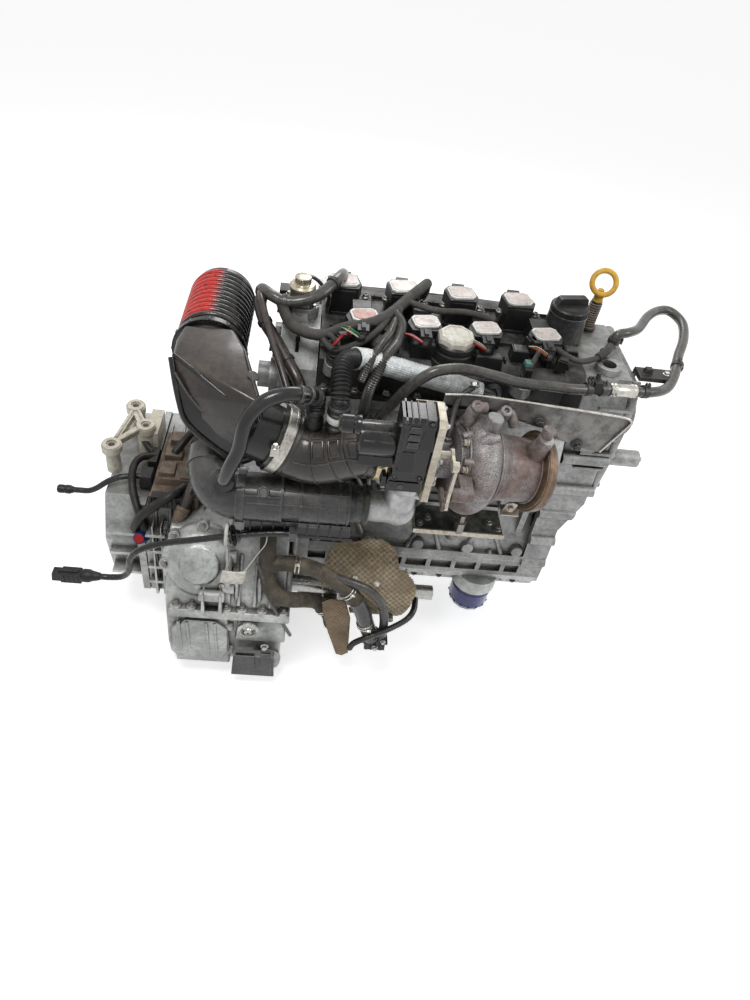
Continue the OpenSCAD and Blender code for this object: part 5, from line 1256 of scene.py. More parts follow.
def turbo(along: float, radius: float = 0.0, angle: float = 0.0) -> Vector:
  """Returns a point in the turbocharger's own frame.

  Args:
    along: Distance along its axis, outlet positive.
    radius: Distance from the axis.
    angle: From the top towards the front, in degrees.

  Returns:
    The point, in millimetres.
  """
  return Vector(TURBO_AT) + SHAFT * along + radial(angle) * radius


def radial(angle: float) -> Vector:
  """Returns a direction square to the turbocharger's axis."""
  a = radians(angle)
  side = Vector((-SHAFT.y, SHAFT.x, 0)).normalized()
  top = SHAFT.cross(side)
  return top * cos(a) - side * sin(a)


@dataclass
class Turbocharger:
  """Castings' finishes, their bolts and ribs, and the wastegate drive."""

  def build(self) -> None:
    """Makes the turbocharger's pieces."""
    dress(HOT_IRON, "turbine_housing")
    dress(WARM_IRON, "bearing_housing")
    dress(CAST_CLEAN, "compressor_housing")
    dress(MACHINED, "turbo_rotor")
    dress(PLATED, "wastegate_crank", "wastegate_link")
    dress(WARM_IRON, "wastegate_lever")
    self.bosses()
    self.ribs()
    self.band_ring()
    self.bolts()
    self.brackets()
    self.actuator()
    self.oil_lines()

  def bosses(self) -> None:
    """Makes the two sensor bosses with bright bores."""
    iron, bright = moulds(2)
    for x, angle, low, high in ((2, 4, 60, 92), (84, 14, 40, 80)):
      base = turbo(x, low, angle)
      out = radial(angle)
      rise = high - low
      iron.lathe(base, out, [(19, 0), (15, rise * 0.35), (12.4, rise * 0.6), (12, rise), (6, rise)],
          36)
      tip = turbo(x, high, angle)
      bright.lathe(tip, out, "5.2 -0.4, 11.2 -0.4, 11.2 0.5, 5.4 0.8", 36).loop(tip, out, 5.4, 0.8,
          28)
    iron.piece("turbine_bosses", HOT_IRON, 0.4)
    bright.piece("turbine_boss_faces", MACHINED, 0)

  def ribs(self) -> None:
    """Makes the raised casting lines, the flange lugs and the upper lug."""
    iron = Mould()
    for x, r in ((-24, 57.5), (24, 61), (31, 55)):
      iron.loop(turbo(x), SHAFT, r, 2.2, 64)
    for angle in (-40, 5, 50, 95, 140, 185):
      iron.sweep([turbo(-30, 50, angle), turbo(-18, 56, angle), turbo(-6, 70, angle)], [6, 7.5, 5],
          16)
    iron.sweep([turbo(-14, 68, 24), turbo(-4, 76, 22), turbo(8, 78, 20)], [6, 8, 5], 16)
    lug = [turbo(-20, 60, -12), turbo(-26, 78, -10), turbo(-22, 90, -8), turbo(-8, 92, -8)]
    iron.run([p for p in lug], 6, 8.5, 18).run([turbo(22, 66, -20), turbo(30, 80, -22),
        turbo(44, 82, -24), turbo(56, 64, -26)], 6, 7.5, 16)
    for p in (turbo(-22, 90, -8), turbo(34, 82, -22)):
      iron.lathe(p, (0, -0.5, 1), "9 -9, 9 8, 7.6 9.5, 4 9.5, 3.6 6", 28)
    iron.piece("turbine_ribs", HOT_IRON, 0)
    Mould().loop(turbo(38), SHAFT, 47.5, 1.6, 64).loop(turbo(93), SHAFT, 48.6, 1.8,
        64).piece("turbine_steps", HOT_IRON, 0)

  def band_ring(self) -> None:
    """Makes the outlet's rusty flange ring and its bright machined face."""
    Mould().ring(turbo(97.4), SHAFT, 39, 60.8, 15.2, 96).loop(turbo(100), SHAFT, 59.6, 2.6,
        96).piece("outlet_flange_skin", RUST_BAND, 0.5)
    Mould().ring(turbo(112.2), SHAFT, 38.4, 56, 0.8, 96).piece("outlet_flange_face", MACHINED, 0)

  def bolts(self) -> None:
    """Makes the flange bolts of the turbine and the compressor."""
    steel = Mould()
    for angle in (20, 62, 104, 146, 200, 250, 305):
      seat = turbo(-27, 53.5, angle)
      steel.bolt(seat, -SHAFT, 6.2).lathe(seat, SHAFT, "4 0, 4 12", 16)
    for angle in (10, 55, 100, 150, 210, 260, 320):
      steel.bolt(turbo(-66, 45, angle), SHAFT, 4.6)
    steel.piece("housing_bolts", PLATED, 0.25)

  def brackets(self) -> None:
    """Makes the gold bracket below the outlet and the compressor's ribs and rings."""
    Mould().plate("-9 -18, 9 -18, 9 14, 0 18, -9 14", turbo(88, 62, 162), ALONG, (0, -0.35, 0.94),
        3).plate("-14 -9, 14 -9, 14 9, -14 9", turbo(94, 72, 168), ALONG, (0, -0.94, -0.35),
        3).bolt(turbo(88, 62, 162) + Vector((0, -4, 0)), (0, -0.94, 0.35),
        5).piece("outlet_bracket", PLATED)
    clean = Mould()
    for angle in (60, 120, 180, 240):
      clean.sweep([turbo(-93, 58, angle), turbo(-80, 60, angle), turbo(-72, 52, angle)], [4, 5, 5],
          14)
    clean.loop(turbo(-112), SHAFT, 46, 3, 56).ring(turbo(-136), SHAFT, 33, 38.2, 8,
        56).piece("compressor_ribs", CAST_CLEAN, 0.4)

  def actuator(self) -> None:
    """Makes the actuator: motor, gear case, plate, connector and curved bracket."""
    y, z = -301.0, 415.0
    motor = Mould().lathe((54, y, 412), ALONG, "20 0, 22.4 2, 22.8 6, 22.8 44, 21 48",
        48).block((56, y - 21, 384), (101, y + 19, 398), 2).lathe((32, -300, 431), ALONG,
        "9 -4, 12.4 0, 12.4 14, 11 16, 12.6 19, 12.6 24", 28)
    for angle in range(0, 360, 30):
      out = Vector((0, *round_by(angle)))
      p = Vector((60, y, 412)) + out * 22.6
      motor.sweep([p, p + Vector((36, 0, 0))], 0.7, 8)
    motor.piece("actuator_motor", GLOSS, stands=("wastegate_actuator",))
    case = Mould().plate("-24 -48, 20 -48, 22 -40, 22 40, 14 49, -18 49, -24 42", (102, y, z), REAR,
        UP, 42).block((104, y - 26, 372), (110, y + 22, 464), 1.5).block((128, y - 27, 420),
        (146, y + 20, 466), 4).block((106, y - 29, 384), (128, y - 20, 414), 3).block((97, -325,
        347), (143, -302, 369), 2).block((90, -322, 350), (98, -304, 366), 1.5).block((100, -326.2,
        352), (140, -324, 363), 0.6)
    for dx, dz in ((4, 44), (36, 44), (4, -44), (36, -44)):
      case.bolt((102 + dx, y - 24.2, z + dz), FRONT, 4, True)
    case.piece("actuator_gear_case", GLOSS, 2.2)
    # Grey strips and a small disc on the black gear case: painted highlights.
    shine = Mould()
    for dz in (8, 20, 32):
      shine.block((112, y - 27, z + dz), (127, y - 23, z + dz + 8), 1.4)
    for x in (112, 120):
      shine.block((x, y - 24, z + 44), (x + 4, y + 16, z + 51), 1.2)
    shine.lathe((116, -326.4, 356), FRONT, "3.6 -2, 3.6 1", 20).piece("actuator_highlight_strips", GREY)
    plate = Mould().plate("-28 -50, 20 -50, 23 -44, 23 46, 16 51, -20 51, -28 44", (146, y, z),
        REAR, UP, 9.4).block((146, -327, 333), (156, -292, 368), 1.5).run("151 -317 366, "
        "152 -319 350, 151 -317 336, 149 -304 330", 6, 6.5, 18).block((120, -279, 386),
        (156, -252, 392), 1).block((120, -280, 386), (156, -277.4, 462), 0.8)
    for dy, dz in listed("-22 44, 14 44, -22 -42, 14 -42, -22 4"):
      plate.lathe((155, y + dy, z + dz), ALONG, "6 0, 5.6 1", 24)
    plate.piece("actuator_plate", PLATED, 0.8)
    screws = Mould()
    for dy, dz in ((-22, 44), (14, 44), (-22, -42), (14, -42)):
      screws.bolt((156, y + dy, z + dz), ALONG, 3.8, True)
    screws.piece("actuator_screws", MACHINED, 0.2)

  def oil_lines(self) -> None:
    """Makes the oil feed, the water lines and their unions."""
    Mould().run([turbo(-50, 34, 0), turbo(-50, 52, -4), turbo(-46, 66, -16), (204, -166, 388),
        (226, -150, 400)], 8, 4.2, 16).run([turbo(-50, 38, 180), turbo(-50, 66, 184),
        (176, -196, 210), (170, -170, 176), (168, -140, 160)], 8, 8, 18).piece("turbo_oil_lines",
        DARK, 0)
    Mould().bolt(turbo(-50, 34, 0), radial(0), 8).bolt((226, -152, 401), (0, 0.7, 0.7),
        7).block((150, -152, 150), (186, -116, 164), 2).piece("turbo_unions", BOLT, 0.3)


# ---- Top end ----


@dataclass
class TopEnd:
  """Cam cover details: coils, plates, connectors, looms, caps, pump and sensors."""

  coil_x: tuple[float, ...] = (66, 160, 254, 348)
  cover_top: float = 397.0
  seed: int = 7

  def build(self) -> None:
    """Makes the pieces on top of the engine."""
    dress(COVER, "cam_cover")
    dress(CAST_BLOCK, "cam_end_housing", "timing_cover")
    dress(YELLOW_PLASTIC, "dipstick")
    dress(DARK, "dipstick_tube")
    self.coils()
    self.lifters()
    self.cover_ribs()
    self.breather_cap()
    self.filler()
    self.pump()
    self.sensors()
    self.looms()
    self.dipstick_top()

  def raised_plate(self, mould: Mould, rim: Mould, x: float, y: float, z: float, wide: float,
          deep: float, turn: float) -> None:
    """Adds a plate with cut corners and its rim.

    Args:
      mould: Where the plate goes.
      rim: Where the rim goes.
      x: Middle of the plate.
      y: Middle of the plate.
      z: Its underside.
      wide: Width along its own first side.
      deep: Width along the other.
      turn: Rotation about the vertical, in degrees.
    """
    a = radians(turn)
    u, v = (cos(a), sin(a), 0), (-sin(a), cos(a), 0)
    for shape, grow, low, high in ((rim, 1.6, 0, 3.2), (mould, -1.4, 2.4, 4.0)):
      w, d, c = wide / 2 + grow, deep / 2 + grow, 6.0
      corners = [(-w + c, -d), (w - c, -d), (w, -d + c), (w, d - c), (w - c, d), (-w + c, d),
          (-w, d - c), (-w, -d + c)]
      shape.plate(corners, (x, y, z + low), u, v, high - low)

  def coils(self) -> None:
    """Makes the ignition coils with plates, domed bolts and connectors."""
    black, plate, tint, rim = moulds(4)
    bolts, plugs = moulds(2)
    for i, x in enumerate(self.coil_x):
      z = self.cover_top
      black.lathe((x, 0, z - 100), UP, "9.6 0, 9.6 100, 13 100, 13.4 108", 24).block((x - 22, -24,
          z + 8), (x + 12, 12, z + 34), 2.5).plate("-24 -17, 18 -22, 26 -8, 24 14, -16 20, -26 6",
          (x - 4, -44, z + 14), (0.97, 0.2, 0), (-0.2, 0.97, 0), 21)
      self.raised_plate(tint if i == 0 else plate, rim, x - 2, -40, z + 35, 38, 30, 12)
      bolts.bolt((x + 18, -18, z + 22), UP, 6, True)
      black.lathe((x + 18, -18, z), UP, "8 0, 7 22", 20)
      plugs.block((x - 14, -84, z + 18), (x + 6, -58, z + 36), 1.5).block((x - 10, -88, z + 20),
          (x + 2, -82, z + 33), 1).block((x - 8, -80, z + 35), (x, -64, z + 39), 1).run([(x - 4,
          -86, z + 27), (x - 6, -92, z + 28), (x - 12, -94, z + 30)], 4, 5, 14)
    black.piece("coil_bodies", PLASTIC, stands=("ignition_coils",))
    plate.piece("coil_plates", COIL_PLATE, 0.4)
    tint.piece("coil_plate_first", COIL_TINT, 0.4)
    rim.piece("coil_plate_rims", COIL_RIM, 0.4)
    bolts.piece("coil_bolts", BOLT, 0.2)
    plugs.piece("coil_connectors", PLASTIC, 0.5)
    draw = random.Random(self.seed)
    for tone, finish in WIRES.items():
      wires = Mould()
      for x in self.coil_x:
        for _ in range(2):
          dy, dz = draw.uniform(-3, 3), draw.uniform(-2, 3)
          wires.run([(x - 10, -92 + dy, 428 + dz), (x - 18, -94 + dy, 434 + dz), (x - 28, -88 + dy,
              436 + dz), (x - 36, -78, 432)], 5, 1.1, 8)
      wires.piece(f"coil_wires_{tone}", finish, 0)

  def lifters(self) -> None:
    """Makes the four lift actuators behind the coils."""
    black, plate, rim, bolts = moulds(4)
    for x in self.coil_x:
      z = self.cover_top
      black.block((x - 54, 18, z), (x - 12, 74, z + 40), 2).plate("-24 -22, 18 -26, 26 -12, "
          "24 20, -14 26, -25 14", (x - 33, 46, z + 24), (0.98, 0.18, 0), (-0.18, 0.98, 0),
          20).block((x - 44, 72, z + 12), (x - 20, 92, z + 38), 2).block((x - 10, 40, z),
          (x + 16, 62, z + 16), 3).block((x - 60, 30, z + 6), (x - 50, 62, z + 22), 2)
      self.raised_plate(plate, rim, x - 33, 46, z + 43.6, 40, 34, 10)
      bolts.bolt((x + 4, 52, z + 16), UP, 6, True).bolt((x - 58, 44, z + 21), UP, 5.5, True)
    black.piece("lift_bodies", PLASTIC, stands=("lift_actuators",))
    plate.piece("lift_plates", COIL_PLATE, 0.4)
    rim.piece("lift_plate_rims", COIL_RIM, 0.4)
    bolts.piece("lift_bolts", BOLT, 0.2)

  def cover_ribs(self) -> None:
    """Makes the cover's ribs, bosses, hold-down bolts and light-topped boxes."""
    ribs, bolts, boxes, tops = moulds(4)
    for i in range(12):
      x = 18 + i * 33
      ribs.block((x, -78, 396), (x + 4, -64, 404), 1).block((x, 76, 396), (x + 4, 92 - 14, 405), 1)
    for y in (-26, 14, 78):
      ribs.block((14, y, 396.4), (398, y + 4, 402), 1)
    for i in range(9):
      x = 12 + i * 48
      for side in (-1, 1):
        ribs.lathe((x, side * 107, 337), UP, "9 0, 8 5", 24)
        bolts.bolt((x, side * 107, 342), UP, 5.5)
    ribs.piece("cover_ribs", COVER)
    bolts.piece("cover_bolts", BOLT, 0.2)
    for x, y, w, d, h in listed("135 -84 42 26 20, 232 -92 46 22 14, 18 -66 34 26 14, "
            "292 -72 30 26 18, 380 -50 26 24 14, 104 30 26 20 16"):
      boxes.block((x, y, 380), (x + w, y + d, 398 + h), 2.5)
      tops.block((x + 4, y + 4, 397.4 + h), (x + w - 4, y + d - 4, 399.6 + h), 1.2)
    boxes.piece("cover_boxes", PLASTIC, 1.0)
    tops.piece("cover_box_tops", GREY, 0.8)

  def breather_cap(self) -> None:
    """Makes the octagonal breather cap on its dark body."""
    x, y, z = 201.0, -76.0, 399.0
    Mould().lathe((x, y, z), UP, "29.6 0, 30 2, 30 14, 28.6 16, 28.6 19, 30 21, 30 27, 27 30",
        56).piece("breather_body", PLASTIC, stands=("breather_valve",))
    Mould().lathe((x, y, z + 27), UP, "28.4 0, 28.8 3, 28.4 10, 25 14.4, 20.6 14.8, 19.6 13.8", 8,
        22.5).piece("breather_cap", PALE_PLASTIC, 1.6)

  def filler(self) -> None:
    """Makes the oil filler's cap with its grip."""
    x, y, z = 394.0, 24.0, 443.0
    cap = Mould().lathe((x, y, z - 13.5), UP, "21 0, 21.4 2, 21.4 13.5, 29 13.7, 30.8 15, "
        "30.8 22, 29 24, 26.6 24.6, 26 26.4, 24 27.2", 56)
    for k in range(24):
      a = radians(15 * k)
      p = Vector((x + 30.6 * cos(a), y + 30.6 * sin(a), z + 1.6))
      cap.sweep([p, p + Vector((0, 0, 7))], 0.9, 8)
    a = radians(12)
    u, v = (cos(a), sin(a), 0), (0, 0, 1)
    grip = listed("-27 0, 27 0, 24 11.6, 20 13, -20 13, -24 11.6")
    side = Vector((sin(a), -cos(a), 0))
    cap.plate(grip, Vector((x, y, z + 12)) + side * -6.5, u, v, 13).piece("filler_cap_grip",
        PLASTIC, 1.0, body=Body.CAP, stands=("oil_filler_cap",))
    Mould().lathe((x, y, 399), UP, "22.4 0, 33.8 0, 33.4 4, 30.6 38, 31 40, 31 43.6, 22.4 43.6",
        56).piece("filler_neck", GREY)

  def pump(self) -> None:
    """Makes the fuel pump's can, flange, union and bolts."""
    x, y, z = -32.0, 0.0, 417.0
    Mould().plate("-28 -14, -14 -27, 14 -27, 28 -14, 28 14, 14 27, -14 27, -28 14", (x, y, z - 0.4),
        ALONG, REAR, 7).block((x - 16, -30, z - 16), (x + 14, 26, z), 3).piece("pump_base",
        CAST_BLOCK)
    Mould().lathe((x, y, z + 6), UP, "21 0, 21 5, 19.4 7, 19.4 22, 20.4 24, 20.4 27, 18 30, "
        "12.6 31, 12.6 41.4, 11 42", 48).piece("pump_can", PUMP_BRASS, stands=("fuel_pump",))
    steel = Mould()
    for dx, dy in ((-20, -16), (20, -16), (-20, 16), (20, 16)):
      steel.bolt((x + dx, y + dy, z + 6.6), UP, 4.6)
    steel.lathe((x, 14, z + 20), REAR, "7 0, 7 14, 8.4 15, 8.4 22, 5 24, 5 26", 6).run([(x, 38,
        z + 20), (x, 52, z + 20), (x + 18, 66, z + 12), (x + 40, 84, z - 20), (40, 118, 330),
        (44, 129, 318)], 6, 3.4, 14).piece("pump_union", MACHINED, 0.2)
    Mould().block((-36, -68, 350), (-29, -60, 394), 1.5).block((-42, -70, 344), (-22, -58, 354),
        1.5).lathe((-32, -64, 392), UP, "4 0, 3 8", 16).piece("pump_clip", PLASTIC)

  def sensors(self) -> None:
    """Makes the cam sensors, their seats and teal locks, and the cover's connectors."""
    black, teal, seat = moulds(3)
    for x, y, z in ((311, -100, 392), (24, -92, 392)):
      seat.lathe((x, y, z - 26), (0, -0.3, 1), "17 0, 15 12, 14 20", 32)
      black.lathe((x, y - 4, z - 8), (0, -0.3, 1), "12.6 0, 12.6 4, 10.6 5.4, 12 8, 10.4 10, "
          "11.6 13, 9.6 15, 9.6 20", 28).block((x - 6, y - 16, z + 8), (x + 6, y + 6, z + 22), 1)
      teal.block((x - 5, y - 6, z + 20), (x + 6, y + 8, z + 27), 1)
    seat.piece("sensor_seats", CAST_BLOCK)
    black.piece("cam_sensors", PLASTIC, 0.3)
    teal.piece("cam_sensor_locks", TEAL_PART, 0.3)
    far = Mould()
    for x, y, z, turn in listed("330 -46 420 20, 36 -78 414 30, 372 -74 408 70"):
      spin = Matrix.Rotation(radians(turn), 3, "Z")
      far.block((x - 16, y - 9, z - 9), (x + 16, y + 9, z + 9), 1.5, spin).block((x - 10, y - 12,
          z + 6), (x + 8, y + 2, z + 12), 1, spin)
    far.piece("cover_connectors", PLASTIC, 0.6)

  def looms(self) -> None:
    """Makes the taped looms, the ribbed conduit and the thin heater pipes."""
    loom = Mould()
    runs = (("-62 -20 428, -42 -68 420, 0 -84 418, 36 -66 424, 78 -52 430, 104 -34 438, "
        "128 4 440, 152 44 440, 170 84 432", 8.5), ("0 -84 418, 20 -102 408, 48 -98 414, "
        "80 -74 424, 104 -36 436", 5.5), ("128 4 440, 176 -8 436, 226 -4 436, 268 -12 432", 5),
        ("330 -50 422, 352 -54 426, 372 -70 420, 400 -72 412, 432 -56 412, 448 -30 410", 4.6),
        ("311 -106 410, 322 -92 420, 334 -68 424, 340 -52 424", 4), ("24 -96 414, 16 -90 422, "
        "4 -86 420", 4), ("432 -56 412, 446 -44 416, 462 -20 412", 6.5))
    for points, r in runs:
      loom.run(points, 8, r, 20)
    loom.piece("wiring_loom", LOOM_TAPE, 0)
    conduit = Mould()
    ridged_tube(conduit, catmull("110 -34 440, 120 -56 432, 112 -92 424, 96 -128 424, "
        "84 -152 408, 76 -158 384, 74 -150 350, 74 -140 322", 8), 3.4, 6.4, 7.8, 20)
    ridged_tube(conduit, catmull("118 -20 440, 104 -70 430, 88 -112 432, 70 -150 420, 62 -158 396",
        8), 3.0, 5.0, 6.2, 18)
    conduit.piece("ribbed_conduit", GREY_HOSE, 0)
    Mould().run("-96 20 420, -92 0 436, -76 -20 438, -57 -26 434, -30 -26 438, -4 -14 446, "
        "14 8 454, 26 40 452, 30 84 430, 20 118 380", 8, 9, 24).piece("heater_hose_loop", GREY_HOSE,
        0)
    Mould().run("-92 -14 432, -93 -22 420, -84 -40 404, -67 -66 394, -46 -96 378, -26 -124 360, "
        "-18 -132 330", 8, 9.5, 22).run("-96 6 430, -92 -28 434, -74 -80 412, -52 -130 384, "
        "-38 -160 362, -30 -176 348", 8, 5.5, 18).piece("heater_pipes", DUCT_PLASTIC, 0)
    clips = Mould()
    for p, d in (((-84, -40, 404), (0.5, -0.75, -0.4)), ((-46, -96, 378), (0.5, -0.75, -0.45)),
            ((-57, -26, 434), (1, 0, 0.1)), ((14, 8, 454), (0.5, 0.8, 0.2))):
      clips.ring(Vector(p) - Vector(d) * 3, d, 8.6, 11.4, 7, 32)
    clips.piece("heater_clips", DARK, 0.3)
    dark = Mould()
    for low, high in (((-70, -52, 350), (-52, -26, 392)), ((-76, -40, 352), (-58, -8, 376)),
            ((-48, -112, 330), (-30, -96, 372)), ((-70, 30, 380), (-40, 60, 420))):
      dark.block(low, high, 2.5)
    dark.piece("end_connectors", PLASTIC, 1.0)
    Mould().block((38, -86, 422), (44, -76, 434), 1).run("40 -80 424, 30 -92 424, 22 -100 416, "
        "16 -98 410", 6, 2.2, 10).piece("red_lock", RED_PART, 0.3)

  def dipstick_top(self) -> None:
    """Makes the ribbed sleeve on the dipstick's tube."""
    sleeve = Mould()
    ridged_tube(sleeve, [Vector((450, 63, z)) for z in (402, 416, 430, 444)], 4.2, 8.4, 10.6)
    sleeve.ring((450, 63, 396), UP, 6.6, 13.4, 6, 32).piece("dipstick_sleeve", BROWN_PLASTIC, 0.2)


# ---- Shields ----


@dataclass
class Shields:
  """The steel shield behind the turbocharger and the two embossed ones below."""

  upper_y: float = -166.0
  lobe_x: tuple[float, ...] = (42, 56, 73, 92, 114, 140, 161, 173, 204)
  lobe_z: tuple[float, ...] = (50, 66, 82, 86, 96, 90, 78, 52, 50)
  right_at: tuple[float, ...] = (-42, 0, 25, 47, 64, 129, 158)
  right_x: tuple[float, ...] = (150, 172, 186, 203, 204, 183, 172)

  def build(self) -> None:
    """Makes the shields' pieces."""
    self.upper()
    self.lower()
    self.hanging()

  def upper(self) -> None:
    """Makes the upper shield: a dished sheet with a folded top edge and dimples."""
    outline = listed("183 376, 183 395, 226 399, 330 394, 420 388, 459 384, 467 380, 470 375, "
        "439 313, 405 320, 372 331, 354 349, 330 352, 302 360, 262 373, 225 377")
    made = self.sheet("heat_shield_sheet", outline, SHIELD_STEEL, 1.8,
        lambda x, z: self.upper_y - 1.6 * sin((x - 183) / 60.0) - 2.6 * sum(
            exp(-((x - a) ** 2 + (z - b) ** 2) / 70.0)
            for a, b in ((398, 362), (421, 362), (412, 338))))
    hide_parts("heat_shield_upper")
    edge = Mould()
    fold = listed("183 394, 226 397.5, 280 395.6, 330 392.6, 380 389.6, 420 386.6, 458 382.6, "
        "468 375")
    edge.run([(x, self.upper_y - 1.4, z) for x, z in fold], 6, 1.8, 12).run([(x, self.upper_y - 1.2,
        z) for x, z in ((468, 375), (454, 345), (440, 315))], 6, 1.4, 10).piece("heat_shield_fold",
        BAND, 0)
    studs = Mould()
    for x, z in ((400, 322), (330, 360)):
      studs.bolt((x, self.upper_y - 3, z + 3), FRONT, 7).lathe((x, self.upper_y, z + 3), FRONT,
          "10 0, 10 3")
    for x, z in ((400, 322), (336, 360)):
      studs.lathe((x, self.upper_y, z), REAR, "5 0, 5 50", 18)
    studs.piece("heat_shield_studs", DARK, 0.2)

  def sheet(self, name: str, outline: list[tuple[float, float]], finish: Finish, thick: float,
          depth: Callable) -> bpy.types.Object:
    """Makes a thin shaped sheet in X and Z.

    Args:
      name: The piece's name.
      outline: Its outline.
      finish: Its finish.
      thick: Its thickness.
      depth: Function of x and z that gives y.

    Returns:
      The object.
    """
    shape = bmesh.new()
    corners = [shape.verts.new((x, 0, z)) for x, z in outline]
    shape.faces.new(corners)
    xs, zs = [p[0] for p in outline], [p[1] for p in outline]
    step = 5.0
    for axis, low, high in ((0, min(xs), max(xs)), (2, min(zs), max(zs))):
      place = low + step
      while place < high:
        spot, normal = [0.0, 0.0, 0.0], [0.0, 0.0, 0.0]
        spot[axis], normal[axis] = place, 1.0
        bmesh.ops.bisect_plane(shape, geom=shape.verts[:] + shape.edges[:] + shape.faces[:],
            plane_co=spot, plane_no=normal)
        place += step
    for vertex in shape.verts:
      vertex.co.y = depth(vertex.co.x, vertex.co.z)
    made = Mould().take(shape).piece(name, finish, 0, sharp=50)
    thicken(made, thick)
    return made

  def lower(self) -> None:
    """Makes the embossed shield over the drive shaft's bearing, with a frayed edge."""
    mould = Mould()
    rows, cols = 70, 96
    inside: dict[tuple[int, int], int] = {}
    for i in range(rows + 1):
      for j in range(cols + 1):
        angle = radians(-42 + 200 * i / rows)
        x = 42 + 162.5 * j / cols
        y = -178 - 65.6 * sin(max(angle, 0))
        z = -8 + 65.6 * cos(max(angle, 0)) - 60 * min(angle, 0)
        fray = 3.0 * noise.noise(Vector((x / 6, angle * 6, 0)))
        lobe = np.interp(x, self.lobe_x, self.lobe_z) + fray
        right = np.interp(degrees(angle), self.right_at, self.right_x) + fray
        if z > lobe or x > right or z < -71 or x < 98 and z < 21 + fray and angle > 0.2:
          continue
        if angle < 0:
          y += 5 * angle * sin(x / 13.0)
        push = Vector((0, y + 178, z + 8)).normalized()
        lump = 1.1 * noise.noise(Vector((x / 30, y / 30, z / 30)))
        dimple = sum(exp(-((x - a) ** 2 + (y - b) ** 2 + (z - c) ** 2) / 90.0)
            for a, b, c in ((96, -222, 40), (134, -226, 36), (160, -238, -4)))
        fine = 0.28 * sin(x * 2 * pi / 5.2) * sin(angle * 65.6 * 1.21)
        inside[i, j] = len(mould.points)
        mould.points.append(Vector((x, y, z)) + push * (lump + 2.2 * dimple + fine - 0.9))
    for i in range(rows):
      for j in range(cols):
        keys = [(i, j), (i, j + 1), (i + 1, j + 1), (i + 1, j)]
        if all(k in inside for k in keys):
          mould.faces.append(tuple(inside[k] for k in keys))
    made = mould.piece("shaft_shield", TAN_SHIELD, 0, sharp=70)
    thicken(made, 1.0)
    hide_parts("heat_shield_lower")
    pins = Mould()
    for x, y, z in ((96, -225, 41), (134, -230, 37)):
      pins.bolt((x, y, z), (0, -0.7, 0.7), 4.6)
    pins.piece("shaft_shield_pins", BAND, 0.2)

  def hanging(self) -> None:
    """Makes the narrow woven shield in front of the hoses' gap."""
    outline = listed("45 12, 58 22, 83 22, 90 0, 97 -24, 101 -76, 105 -128, 95 -138, 84 -134, "
        "74 -104, 63 -69, 52 -28")
    self.sheet("hanging_shield", outline, TAN_WEAVE, 1.3,
        lambda x, z: -257.3 + 0.5 * sin(z / 9.0) + 0.25 * sin(x * 1.5) * sin(z * 1.5))


# ---- Hoses ----


